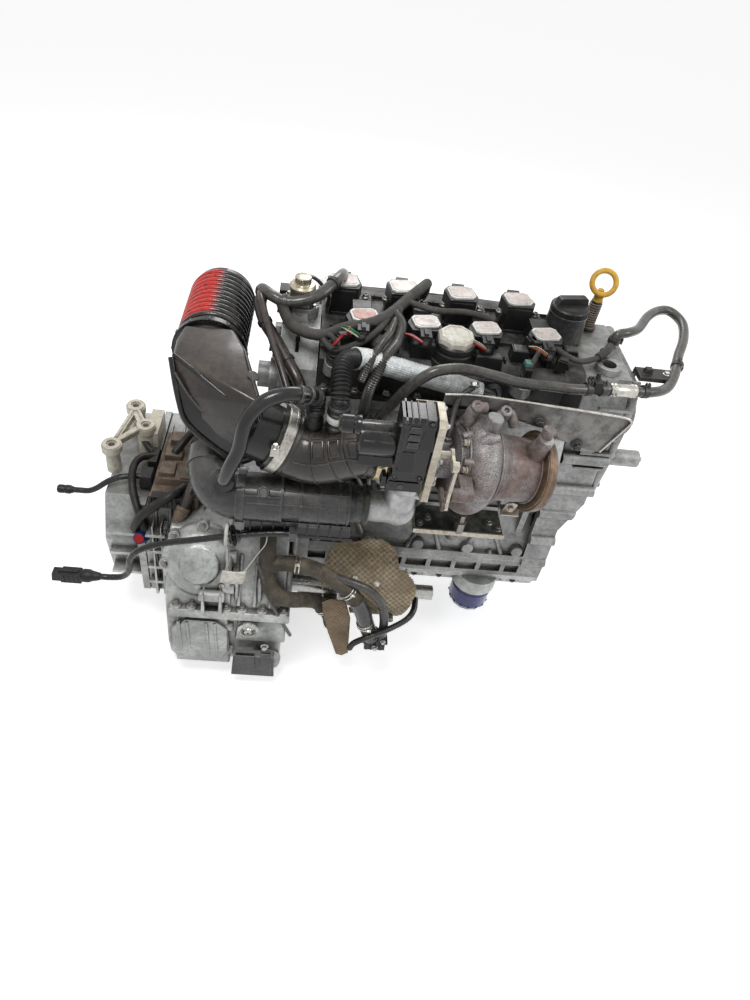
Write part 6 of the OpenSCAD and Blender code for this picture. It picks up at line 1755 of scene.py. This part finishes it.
@dataclass
class Hoses:
  """The heater hose over the front and the dusty hoses below the resonator."""

  upper_r: float = 8.5
  lower_r: float = 13.0

  def build(self) -> None:
    """Makes the hoses, their clamps, the tee and the connector block."""
    upper = listed("90 -112 290, 90 -124 290, 95 -139 307, 104 -146 333, 117 -151 363, "
        "131 -156 391, 147 -160 413, 168 -157 426, 204 -150 428, 250 -147 420, 292 -145 411, "
        "336 -141 408, 378 -137 404, 420 -126 401, 458 -118 398, 504 -112 395, 542 -88 389, "
        "568 -50 391, 590 0 395, 615 50 400, 628 98 404, 616 130 407, 590 122 410, 560 92 412, "
        "530 48 412, 504 24 416, 488 18 415, 482 16 409, 482 16 402")
    Mould().run(upper, 6, self.upper_r - 0.4, 26).piece("heater_hose", GREY_HOSE, 0,
        stands=("coolant_hose_upper",))
    Mould().lathe((436, -123, 400), (1, 0.15, -0.06), "9.4 0, 10.6 3, 9.4 6, 10.6 9, 9.6 12, "
        "9.6 34, 10.8 37, 9.4 40, 10.6 43", 28).run("458 -119 398, 466 -110 390, 474 -100 382", 6,
        6, 18).piece("heater_tee", BAND, 0.2)
    clamps = Mould()
    for p, d in (((400, -131, 403), (1, 0.2, -0.05)), ((424, -126, 401), (1, 0.25, -0.06)),
            ((496, -113, 396), (1, 0.2, -0.1)), ((580, -26, 393), (0.4, 0.9, 0.05)),
            ((91, -128, 294), (0.1, -0.7, 0.7)), ((482, 16, 404), (0, 0, 1))):
      self.spring_clamp(clamps, p, d, 10.2)
    clamps.piece("heater_clamps", DARK, 0.3)
    Mould().block((404, -139, 400), (420, -116, 418), 2).block((410, -118, 396), (418, -96, 404),
        1).lathe((412, -124, 416), (0, 0.3, 1), "4 0, 3 10", 16).piece("heater_clip", PLASTIC)
    self.lower()

  def spring_clamp(self, mould: Mould, place: Point, along: Point, r: float) -> None:
    """Adds a spring clamp with its two ears."""
    axis = Vector(along).normalized()
    base = Vector(place) - axis * 5
    mould.ring(base, axis, r - 1.8, r, 10, 36)
    u, v, _ = basis(axis)
    for side in (-1, 1):
      ear = base + axis * (5 + 2.5 * side) + u * (r + 2.4)
      mould.block(ear - Vector((1.6, 3.4, 2.6)), ear + Vector((1.6, 3.4, 2.6)), 0.5)

  def lower(self) -> None:
    """Makes the dusty hoses, wire clamps, steel pipe ends and the connector block."""
    hose_v = listed("-30 -98 262, -30 -108 262, -31 -120 260, -38 -140 230, -45 -160 190, "
        "-50 -184 156, -51 -208 147, -51 -232 136, -50 -247 112, -49 -251 84, -45 -261 57, "
        "-29 -270 38, -6 -268 28, 17 -254 12, 35 -241 -7, 50 -238 -25, 62 -237 -47, 68 -232 -76, "
        "68 -205 -96, 68 -170 -100, 68 -150 -100, 68 -129 -100")
    hose_b = listed("-49 -251 90, -30 -252 98, -6 -254 101, 18 -256 98, 42 -258 88, 66 -262 72, "
        "92 -266 48, 112 -267 12, 126 -268 -30, 138 -268 -60")
    hose_s = listed("42 -258 88, 80 -263 80, 116 -263 62, 138 -264 38, 148 -266 12, 154 -268 -20, "
        "155 -268 -60")
    Mould().run(hose_v, 6, self.lower_r - 0.1, 30).run(hose_b, 6, self.lower_r - 0.1,
        30).piece("coolant_hoses", DUSTY_RUBBER, 0, stands=("coolant_hose_lower",))
    Mould().run(hose_s, 6, 6.9, 22).run("-64 -254 96, -52 -266 70, -44 -272 36, -30 -274 2, "
        "-16 -268 -40, -2 -262 -80", 6, 3.2, 14).piece("vent_hose_low", GREY_HOSE, 0)
    pipes = Mould()
    path = catmull(hose_b, 6)
    pipes.sweep(path[38:], 13.9, 28).sweep(catmull(hose_s, 6)[22:], 7.8, 22).piece("coolant_pipes",
        GREY, 0.3)
    clamps = Mould()
    for p, d in (((-2, -254, 101), (1, -0.05, -0.02)), ((84, -265, 56), (0.7, -0.1, -0.7)),
            ((-51, -228, 138), (0, -0.8, -0.5)), ((122, -268, -22), (0.3, 0, -0.95)),
            ((68, -150, -100), (0, 1, 0)), ((-30, -112, 261), (0, -1, 0)), ((50, -238, -25),
            (0.55, 0.1, -0.8))):
      self.wire_clamp(clamps, p, d, 14.4)
    clamps.piece("wire_clamps", BAND, 0.2)
    block = Mould().block((128, -277, -86), (164, -255, -52), 2).block((124, -275, -72),
        (168, -257, -66), 0.8).lathe((138, -266, -56), UP, "15 0, 15 6, 14 8", 32).lathe((155, -266,
        -56), UP, "9 0, 9 7", 28)
    for i in range(4):
      block.block((130 + 8 * i, -279, -84), (134 + 8 * i, -276, -58), 0.6)
    block.piece("hose_block", PLASTIC)
    Mould().bolt((146, -277, -78), FRONT, 5).bolt((158, -277, -60), FRONT,
        4).piece("hose_block_bolts", MACHINED, 0.2)
    cable = Mould()
    ridged_tube(cable, catmull("104 -270 -96, 108 -275 -74, 120 -282 -50, 140 -283 -32, "
        "166 -276 -20, 192 -262 -12, 206 -240 -14, 212 -210 -20", 8), 3.2, 4.6, 5.4, 18)
    cable.piece("black_cable", GLOSS_HOSE, 0)
    Mould().run("116 -268 -34, 126 -276 -30, 142 -276 -30, 158 -272 -30", 6, 2.6,
        12).piece("hose_tie", PLASTIC, 0)

  def wire_clamp(self, mould: Mould, place: Point, along: Point, r: float) -> None:
    """Adds a double-wire clamp with its screw."""
    axis = Vector(along).normalized()
    for shift in (-3, 3):
      mould.loop(Vector(place) + axis * shift, axis, r - 0.6, 1.2, 40)
    u, v, _ = basis(axis, Vector((0, -0.6, 0.8)))
    lug = Vector(place) + u * (r + 1.6)
    mould.block(lug - Vector((4, 3, 3)), lug + Vector((4, 3, 3)), 0.8).bolt(lug + u * 2, v, 3)


# ---- Block, sump and gearbox ----


@dataclass
class BlockSide:
  """Castings' finishes, ribs, bolts and small parts on both long sides."""

  def build(self) -> None:
    """Makes the pieces on the block, the sump and the timing end."""
    dress(CAST_BLOCK, "cylinder_block", "cylinder_head", "bedplate")
    dress(CASE, "oil_pan")
    dress(FILTER_PAINT, "oil_filter")
    dress(COVER, "intake_manifold")
    dress(CAST_CLEAN, "throttle_body")
    dress(PUMP_BRASS, "throttle_plate")
    dress(DARK, "fuel_rail", "flywheel", "timing_chain")
    dress(RUBBER, "crank_pulley")
    dress(MACHINED, "crankshaft", "intake_camshaft", "exhaust_camshaft", "final_drive",
        "output_shaft", "spark_plugs", "rods_outer", "rods_inner")
    dress(PISTON, "pistons_outer", "pistons_inner")
    dress(SUPPORT_PAINT, "turbo_support")
    self.ribs()
    self.rails()
    self.support()
    self.timing_end()
    self.filter_flutes()
    self.back()

  def ribs(self) -> None:
    """Makes the triangular ribs on the exhaust side."""
    ribs = Mould()
    for x in (207, 254, 301, 348, 395):
      ribs.plate("0 0, 26 0, 6 72, 0 72", (x, -88, 118), FRONT, UP, 6)
    for a, b in (((190, 124), (236, 196)), ((282, 124), (236, 196)), ((282, 124), (330, 196)),
            ((372, 124), (330, 196)), ((28, 124), (66, 194)), ((104, 124), (66, 194))):
      p, q = Vector((a[0], -94, a[1])), Vector((b[0], -90, b[1]))
      ribs.sweep([p, q], [4.6, 4.0], 8)
    for a, b in (((196, 14), (226, 92)), ((256, 14), (226, 92)), ((300, 14), (334, 92)),
            ((372, 14), (334, 92)), ((60, 14), (84, 92)), ((120, 14), (84, 92))):
      p, q = Vector((a[0], -118, a[1])), Vector((b[0], -100, b[1]))
      ribs.sweep([p, q], [4.8, 4.0], 8)
    for x in (30, 122, 214, 306, 398):
      ribs.lathe((x, -110, 24), (0, -1, 0.2), "14 0, 11 12, 10 16", 28)
    for x, z in ((236, 150), (330, 150), (118, 150), (24, 150)):
      ribs.lathe((x, -84, z), FRONT, "15 0, 12.6 12, 12 18", 28)
    ribs.piece("block_ribs", CAST_BLOCK, 0.8)
    lumps = Mould()
    for x, y, z, w, d, h in listed("104 -116 150 44 36 46, 32 -112 226 52 20 44, "
            "382 -122 230 30 26 60, 300 -110 224 40 16 50"):
      lumps.block((x, y, z), (x + w, y + d, z + h), 6)
    lumps.piece("block_housings", CAST_CLEAN, 3)
    Mould().lathe((118, -100, 150), FRONT, "12 0, 12 14, 9 16, 9 24", 28).run("118 -122 152, "
        "116 -136 166, 108 -150 196, 104 -158 226, 98 -166 262", 6, 4.2, 16).block((58, -112, 196),
        (86, -92, 214), 2).piece("block_sensors", PLASTIC)

  def rails(self) -> None:
    """Makes the bolts along the sump's and the bedplate's flanges."""
    bolts = Mould()
    for i in range(9):
      x = 14 + i * 48
      for side in (-1, 1):
        bolts.bolt((x, side * 116, 14), UP, 5.6).bolt((x + 18, side * 115, -62), (0, 0, -1),
            5.2).bolt((x, side * 104, 215.4 + 12), UP, 5)
    for i in range(5):
      for side in (-1, 1):
        bolts.bolt((19 + 94 * i, side * 106, 14), UP, 7.5)
    bolts.piece("flange_bolts", BOLT, 0.25)

  def support(self) -> None:
    """Makes the support plate's pale edge, its bolts and the hexagonal post."""
    Mould().block((186, -180.4, 117), (340, -176, 126), 0.8).block((184, -180, 117.4),
        (189, -122, 125.6), 0.8).piece("support_edge", PLATED, 0.5)
    bolts = Mould()
    for x in (196, 330):
      bolts.bolt((x, -164, 124), UP, 6)
    for x, y in ((210, -150), (316, -150)):
      bolts.bolt((x, y, 124), UP, 6.4)
    bolts.lathe((262, -172, 122), UP, "10 0, 10 22, 6 23, 6 38", 6).lathe((262, -150, 100),
        (0, 0, -1), "16 0, 14 14", 32).piece("support_bolts", BOLT, 0.3)

  def timing_end(self) -> None:
    """Makes the timing cover's bolts, ribs and brackets."""
    bolts, ribs, dark = moulds(3)
    for x, z in listed("458 0, 458 60, 474 120, 501 182, 503 250"):
      for y in (-92, 92):
        bolts.bolt((x, y, z), ALONG, 6)
    for y in (-48, 48):
      for a in range(0, 360, 60):
        c, s = round_by(a)
        bolts.bolt((516, y + 32 * c, 311 + 32 * s), ALONG, 4.4)
      ribs.ring((515.6, y, 311), ALONG, 16, 38, 3, 56)
    for a, b in (((20, 60), (90, 210)), ((-20, 60), (-90, 210)), ((0, 70), (0, 190))):
      ribs.sweep([(492, a[0], a[1] + 20), (504, b[0], b[1])], 4, 10)
    for z in (230, 262, 294, 326, 352):
      ribs.block((440, -113, z), (492, -104, z + 4), 1)
    ribs.lathe((450, -80, 286), (0, -1, 0.15), "30 0, 26 14, 25 30, 18 34", 36)
    for side in (-1, 1):
      ribs.sweep([(493, 95 * side, 168), (496, 96 * side, 240), (496, 96 * side, 318),
          (496, 87 * side, 364), (496, 75 * side, 388)], 9.5, 16)
    ribs.piece("timing_ribs", CAST_BLOCK, 0.8)
    bolts.piece("timing_bolts", BOLT, 0.25)
    dark.block((504, -70, 386), (566, -38, 393), 1.5).block((504, -44, 352), (512, -36, 392),
        1.5).block((514, -60, 392), (528, -48, 402), 2).piece("timing_bracket", DARK)
    Mould().bolt((552, -54, 393), UP, 5).bolt((576, -50, 212), ALONG,
        7).piece("timing_bracket_bolts", MACHINED, 0.2)

  def filter_flutes(self) -> None:
    """Makes the oil filter's wrench flutes and bead."""
    flutes = Mould()
    x, y = 346.0, -100.0
    for k in range(15):
      a = 2 * pi * k / 15
      out = Vector((cos(a), sin(a), 0))
      flutes.sweep([Vector((x, y, -128)) + out * 37.6, Vector((x, y, -139)) + out * 33.8],
          [2.6, 1.8], 10)
    flutes.loop((x, y, -96), UP, 38, 0.9, 56).piece("filter_flutes", FILTER_PAINT, 0)

  def back(self) -> None:
    """Makes the manifold's ribs, injectors, bolts, starter and harness on the intake side."""
    ribs, bolts, dark = moulds(3)
    for i in range(11):
      x = 40 + i * 32
      ribs.ring((x, 230, 277), ALONG, 49, 51.9, 3.5, 56)
    for x in (66, 160, 254, 348):
      for y in (132, 160, 188):
        ribs.ring((x, y, 265), REAR, 22, 25.4, 3.5, 40)
      bolts.bolt((x - 24, 122, 288), REAR, 5.5).bolt((x + 24, 122, 242), REAR, 5.5)
      dark.lathe((x + 20, 112, 318), (0, 0.9, -0.5), "8 0, 8 8, 6 9, 6 20", 24).block((x + 10, 120,
          322), (x + 30, 142, 340), 2)
    ribs.run("30 256 318, 200 258 320, 384 256 318", 8, 4, 14).piece("manifold_ribs", COVER, 0.8)
    bolts.piece("manifold_bolts", BOLT, 0.25)
    dark.piece("injector_heads", PLASTIC)
    Mould().run("170 84 432, 176 120 400, 180 150 356, 240 158 346, 330 156 346, 400 140 352", 8,
        7.5, 20).run("180 150 356, 120 158 346, 50 156 346, 8 170 330, -4 200 330", 8, 6.5,
        20).piece("rear_loom", LOOM_TAPE, 0)
    side = Mould()
    for i in range(6):
      side.block((20 + i * 68, 80, 110), (26 + i * 68, 100, 200), 2)
    side.lathe((120, 96, 60), ALONG, "26 0, 27 4, 27 90, 22 96").block((96, 84, 40), (122, 120, 88),
        3).piece("starter_and_ribs", CASE, 1.2)


@dataclass
class Gearbox:
  """Gearbox castings' finishes and details, the control unit and the mount bracket."""

  top: float = 100.0
  bell: float = 168.0

  def build(self) -> None:
    """Makes the gearbox's pieces."""
    dress(CASE, "gear_case_cover")
    dress(CREAM_CAST, "mount_bracket")
    self.castings()
    self.ribs()
    self.control_unit()
    self.bracket()
    self.front()
    self.pipes()

  def castings(self) -> None:
    """Makes the two main castings with rounded edges, a leaning left face and facets."""
    across, up = (0, 1, 0), (0, 0, 1)
    low = listed("-232 -205, -254 -164, -264 -120, -264 -4, -250 34, -222 74, -192 100, 100 100, "
        "135 60, 130 -80, 60 -160, -40 -205")
    case = Mould().plate(low, (-212, 0, 0), across, up, 102).plate("-168 -100, -176 20, -150 99, "
        "99 99, 134 60, 129 -80, 60 -130, -100 -140", (-260, 0, 0), across, up, 150)
    for x in (-246, -222):
      case.plate("-172 -96, -182 22, -154 104, -96 104, -96 -110", (x, 0, 0), across, up, 8)
    case.piece("gear_case_skin", CASE, 7, sharp=40, stands=("gear_case",))
    Mould().lathe((0, 0, 0), (-1, 0, 0), "168 0, 173 2, 173 12, 166 15, 163 40, 156 84, 140 110",
        72).plate(low, (-113, 0, 0), across, up, 96).lathe((-18, -185, -32), ALONG,
        "52 0, 50 8, 40 12", 40).piece("clutch_housing_skin", CASE, 7, sharp=40,
        stands=("clutch_housing",))
    Mould().block((-206, -278, -27), (-6, -240, -9), 1.5).block((-198, -274, -160),
        (-104, -240, -30), 5).block((-96, -270, -94), (-10, -240, -30), 4).plate("-40 0, 34 0, "
        "48 26, 48 92, 26 112, -24 112, -46 84, -46 22", (-156, -262, -150), ALONG, up,
        14).lathe((-158, -212, 48), (0, -0.86, 0.5), "66 0, 64 14, 54 26, 50 30, 34 34, 30 38",
        44).block((-118, -266, -30), (-104, -214, 84), 3).plate("0 0, 52 0, 0 78", (-100, -262, -8),
        REAR, up, 7).plate("0 0, 52 0, 0 78", (-62, -262, -8), REAR, up,
        7).piece("gearbox_front_covers", CASE, 3.5, sharp=40)
    webs = Mould()
    for x in (-152, -124):
      webs.block((x, -281, -9), (x + 7, -238, 34), 1.5)
    webs.lathe((-156, -268, 24), ALONG, "9 0, 10 2, 10 40, 9 42", 28).lathe((-40, -262, -150),
        FRONT, "26 0, 24 12, 16 16", 36).piece("gearbox_webs", CASE, 1.6)

  def ribs(self) -> None:
    """Makes stiffening ribs, bolt bosses and bolts round the joints."""
    ribs, bolts = moulds(2)
    for k in range(11):
      a = radians(20 + 32 * k)
      out = Vector((0, -sin(a), cos(a)))
      p = out * (self.bell + 2)
      ribs.sweep([p - out * 16 + Vector((-104, 0, 0)), p + Vector((-14, 0, 0))], [5, 4.8],
          10).lathe(p + Vector((-22, 0, 0)), ALONG, "11 0, 11 16", 24)
      bolts.bolt(p + Vector((-22, 0, 0)), (-1, 0, 0), 6.6)
    for x in (-194, -168, -112, -86, -52, -18):
      ribs.lathe((x, -266, -18), UP, "9 -12, 10 -8, 10 10, 8 13", 24)
      bolts.bolt((x, -266, -5), UP, 5.6)
    for x in (-190, -176, -144, -130):
      ribs.sweep([(x, -276, -40), (x + 4, -274, -142)], 3, 10)
    for y, z in ((-256, 34), (-262, -60), (-262, -130), (-226, 74)):
      ribs.lathe((-118, y, z), ALONG, "11 0, 11 18", 24)
      bolts.bolt((-118, y, z), (-1, 0, 0), 6.4)
    for a in range(-60, 240, 50):
      c, s = round_by(a)
      seat = Vector((-158 + 58 * c, -222 + 29 * s, 60 + 50 * s))
      ribs.lathe(seat, (0, -0.86, 0.5), "10 -8, 9 10", 24)
      bolts.bolt(seat + Vector((0, -8.6, 5)), (0, -0.86, 0.5), 5.4)
    for x in (-92, -66, -40):
      ribs.sweep([(x, -266, 0), (x, -222, 78)], 3.4, 10)
    for i in range(7):
      ribs.block((-252 + i * 22, -150, 98), (-248 + i * 22, 60, 105), 1)
    for z in (60, 20, -20, -60):
      ribs.block((-256, -186, z), (-222, -156, z + 5), 1)
    for x in (-246, -232):
      ribs.block((x, -186, -90), (x + 5, -156, 84), 1.5)
    ribs.piece("gearbox_ribs", CASE, 0.8)
    bolts.piece("gearbox_bolts", BOLT, 0.25)

  def control_unit(self) -> None:
    """Makes the control unit's dusty brown panels, connectors and leads."""
    z = self.top
    body = Mould().block((-256, -140, z), (-166, 20, z + 18), 3).block((-250, -120, z + 14),
        (-172, 10, z + 30), 5)
    for x, y, w, d, h in listed("-246 -112 30 34 38, -210 -116 32 28 34, -244 -70 34 26 40, "
            "-204 -78 26 40 36, -240 -32 26 30 42, -206 -26 30 24 37"):
      body.block((x, y, z + 20), (x + w, y + d, z + h), 2.5)
    body.block((-256, -152, z), (-172, -138, z + 22), 2).piece("control_unit_panels", BROWN_PLASTIC,
        1.2, stands=("control_unit",))
    black = Mould().block((-250, -158, z + 4), (-180, -140, z + 26), 1.5)
    for i in range(9):
      black.block((-246 + i * 7.2, -160, z + 7), (-242.6 + i * 7.2, -156, z + 23), 0.5)
    black.block((-276, -118, z + 6), (-254, -88, z + 30), 2).lathe((-275, -102, z + 18), ALONG,
        "8 0, 9 3, 9 12", 24).block((-272, -72, z + 4), (-254, -30, z + 24),
        2).piece("control_unit_connectors", PLASTIC, 0.6)
    leads = Mould()
    for points, r in (("-262 -50 118, -282 -66 128, -290 -92 126, -284 -128 112, -270 -158 92, "
            "-258 -172 62", 6.5), ("-200 -130 128, -214 -156 134, -236 -168 122, -262 -172 96, "
            "-276 -168 60", 8), ("-226 -60 140, -206 -30 156, -186 20 156, -160 60 132, -150 96 96",
            7), ("-268 -40 120, -286 -20 128, -292 30 120, -280 70 104", 6)):
      leads.run(points, 8, r, 20)
    leads.piece("gearbox_leads", RUBBER, 0)
    Mould().lathe((-192, -96, z + 35), UP, "8 0, 7 1.2", 20).piece("paint_dot", PAINT_DOT, 0.2)
    Mould().lathe((-262, -168, 46), (-0.2, -0.8, 0.4), "12 0, 12 10, 10 12, 10 20",
        28).piece("speed_sensor", BLUE_PART, 0.3)
    Mould().lathe((-266, -184, 54), (-0.2, -0.8, 0.4), "8 0, 8 2", 24).piece("speed_sensor_seal",
        RED_PART, 0.2)

  def bracket(self) -> None:
    """Makes the mount bracket's raised rims and bushes."""
    rims = Mould()
    corners = [Vector((x, y, 156)) for x, y in ((-311, 39), (-283, -13), (-328, -70))]
    for a, b in zip(corners, corners[1:] + corners[:1]):
      rims.sweep([a.lerp(b, 0.16), b.lerp(a, 0.16)], 3.2, 12)
    for p in corners:
      rims.ring(p - Vector((0, 0, 1)), UP, 8.4, 15.6, 4, 36)
    rims.piece("bracket_rims", CREAM_CAST, 0.4)

  def front(self) -> None:
    """Makes grey panels as painted shade in the front recess, the big bolt, the clip's disc, the
    tag and small bosses.
    """
    # Grey blocks on the front cover: painted shade where the recess lies.
    Mould().block((-100, -288, -174), (-24, -282, -98), 4).block((-96, -291, -150),
        (-58, -285, -112), 3).block((-52, -290, -168), (-30, -284, -104), 3).piece("recess_shade_panels",
        GREY, 1.5)
    Mould().lathe((-73, -277, -45), FRONT, "17.6 0, 17.6 5, 14 8, 13 8, 13 3", 36).bolt((-73, -280,
        -45), FRONT, 9, True).bolt((-44, -288, -80), FRONT, 6).piece("drain_boss", MACHINED, 0.4)
    Mould().lathe((-104, -264, 168), (-0.96, 0, -0.28), "16 -3, 17 -1, 13 3, 8 7, 6.4 12",
        40).lathe((-96, -264, 170), (0.96, 0, 0.28), "8 -3, 9.6 0, 7 4", 32).piece("lead_clip_disc",
        GLOSS, 0.3)
    clip = Mould()
    arc = [(-112, -264 - 15 * cos(a), 168 + 19 * sin(a)) for a in (radians(v) for v in range(-70,
        250, 20))]
    clip.run(arc, 3, 2.8, 10).block((-114, -260, 22), (-110, -253, 152), 1).piece("lead_clip",
        COIL_RIM, 0.2)
    tag = Mould()
    grid = [(i / 8, j / 5) for j in range(6) for i in range(9)]
    points = []
    for s, t in grid:
      curl = 3 * sin(s * 2.4) + 1.6 * cos(t * 3.1)
      points.append(Vector((-122 + 38 * s + 4 * t, -272 - curl, 66 + 27 * t + 4 * s)))
    faces = [(j * 9 + i, j * 9 + i + 1, (j + 1) * 9 + i + 1,
        (j + 1) * 9 + i) for j in range(5) for i in range(8)]
    made = tag.add(points, faces).piece("paper_tag", PAPER, 0)
    thicken(made, 0.4, -1.0)
    Mould().run("-86 -272 92, -78 -268 104, -66 -266 130, -54 -268 158, -52 -264 176", 6, 0.8,
        8).piece("tag_tie", COIL_RIM, 0)
    small = Mould()
    for x, y, z in listed("-150 -160 40, -200 -160 10, -170 -160 -50, -226 -160 64, -130 -160 -10"):
      small.lathe((x, y, z), FRONT, "12 0, 10 8, 9.4 12", 28)
    small.piece("case_bosses", CASE, 0.5)
    heads = Mould()
    for x, z in listed("-150 40, -200 10, -170 -50, -226 64, -130 -10"):
      heads.bolt((x, -171.6, z), FRONT, 6)
    heads.piece("case_boss_bolts", BOLT, 0.25)

  def pipes(self) -> None:
    """Makes the brown coolant pipe with its beige fitting."""
    Mould().run("-178 -40 150, -176 -84 156, -178 -120 150, -186 -148 134, -196 -166 110", 8, 9,
        24).piece("gearbox_pipe", DUCT_PLASTIC, 0)
    Mould().lathe((-194, -162, 114), (-0.35, -0.6, -0.7), "11.6 0, 12.4 4, 11 8, 12 12, 10 20, "
        "10 28", 32).piece("gearbox_pipe_fitting", BROWN_PLASTIC, 0.4)


def main() -> None:
  """Builds every assembly in order, the camera and the leads first."""
  logging.basicConfig(level=logging.INFO, format="%(name)s: %(message)s")
  for assembly in (Studio(), Leads(), IntakeTract(), ChargePipe(), SleevedPipe(), Turbocharger(),
          TopEnd(), Shields(), Hoses(), BlockSide(), Gearbox()):
    assembly.build()
    LOG.info("%s is built", type(assembly).__name__)


if __name__ == "__main__":
  main()
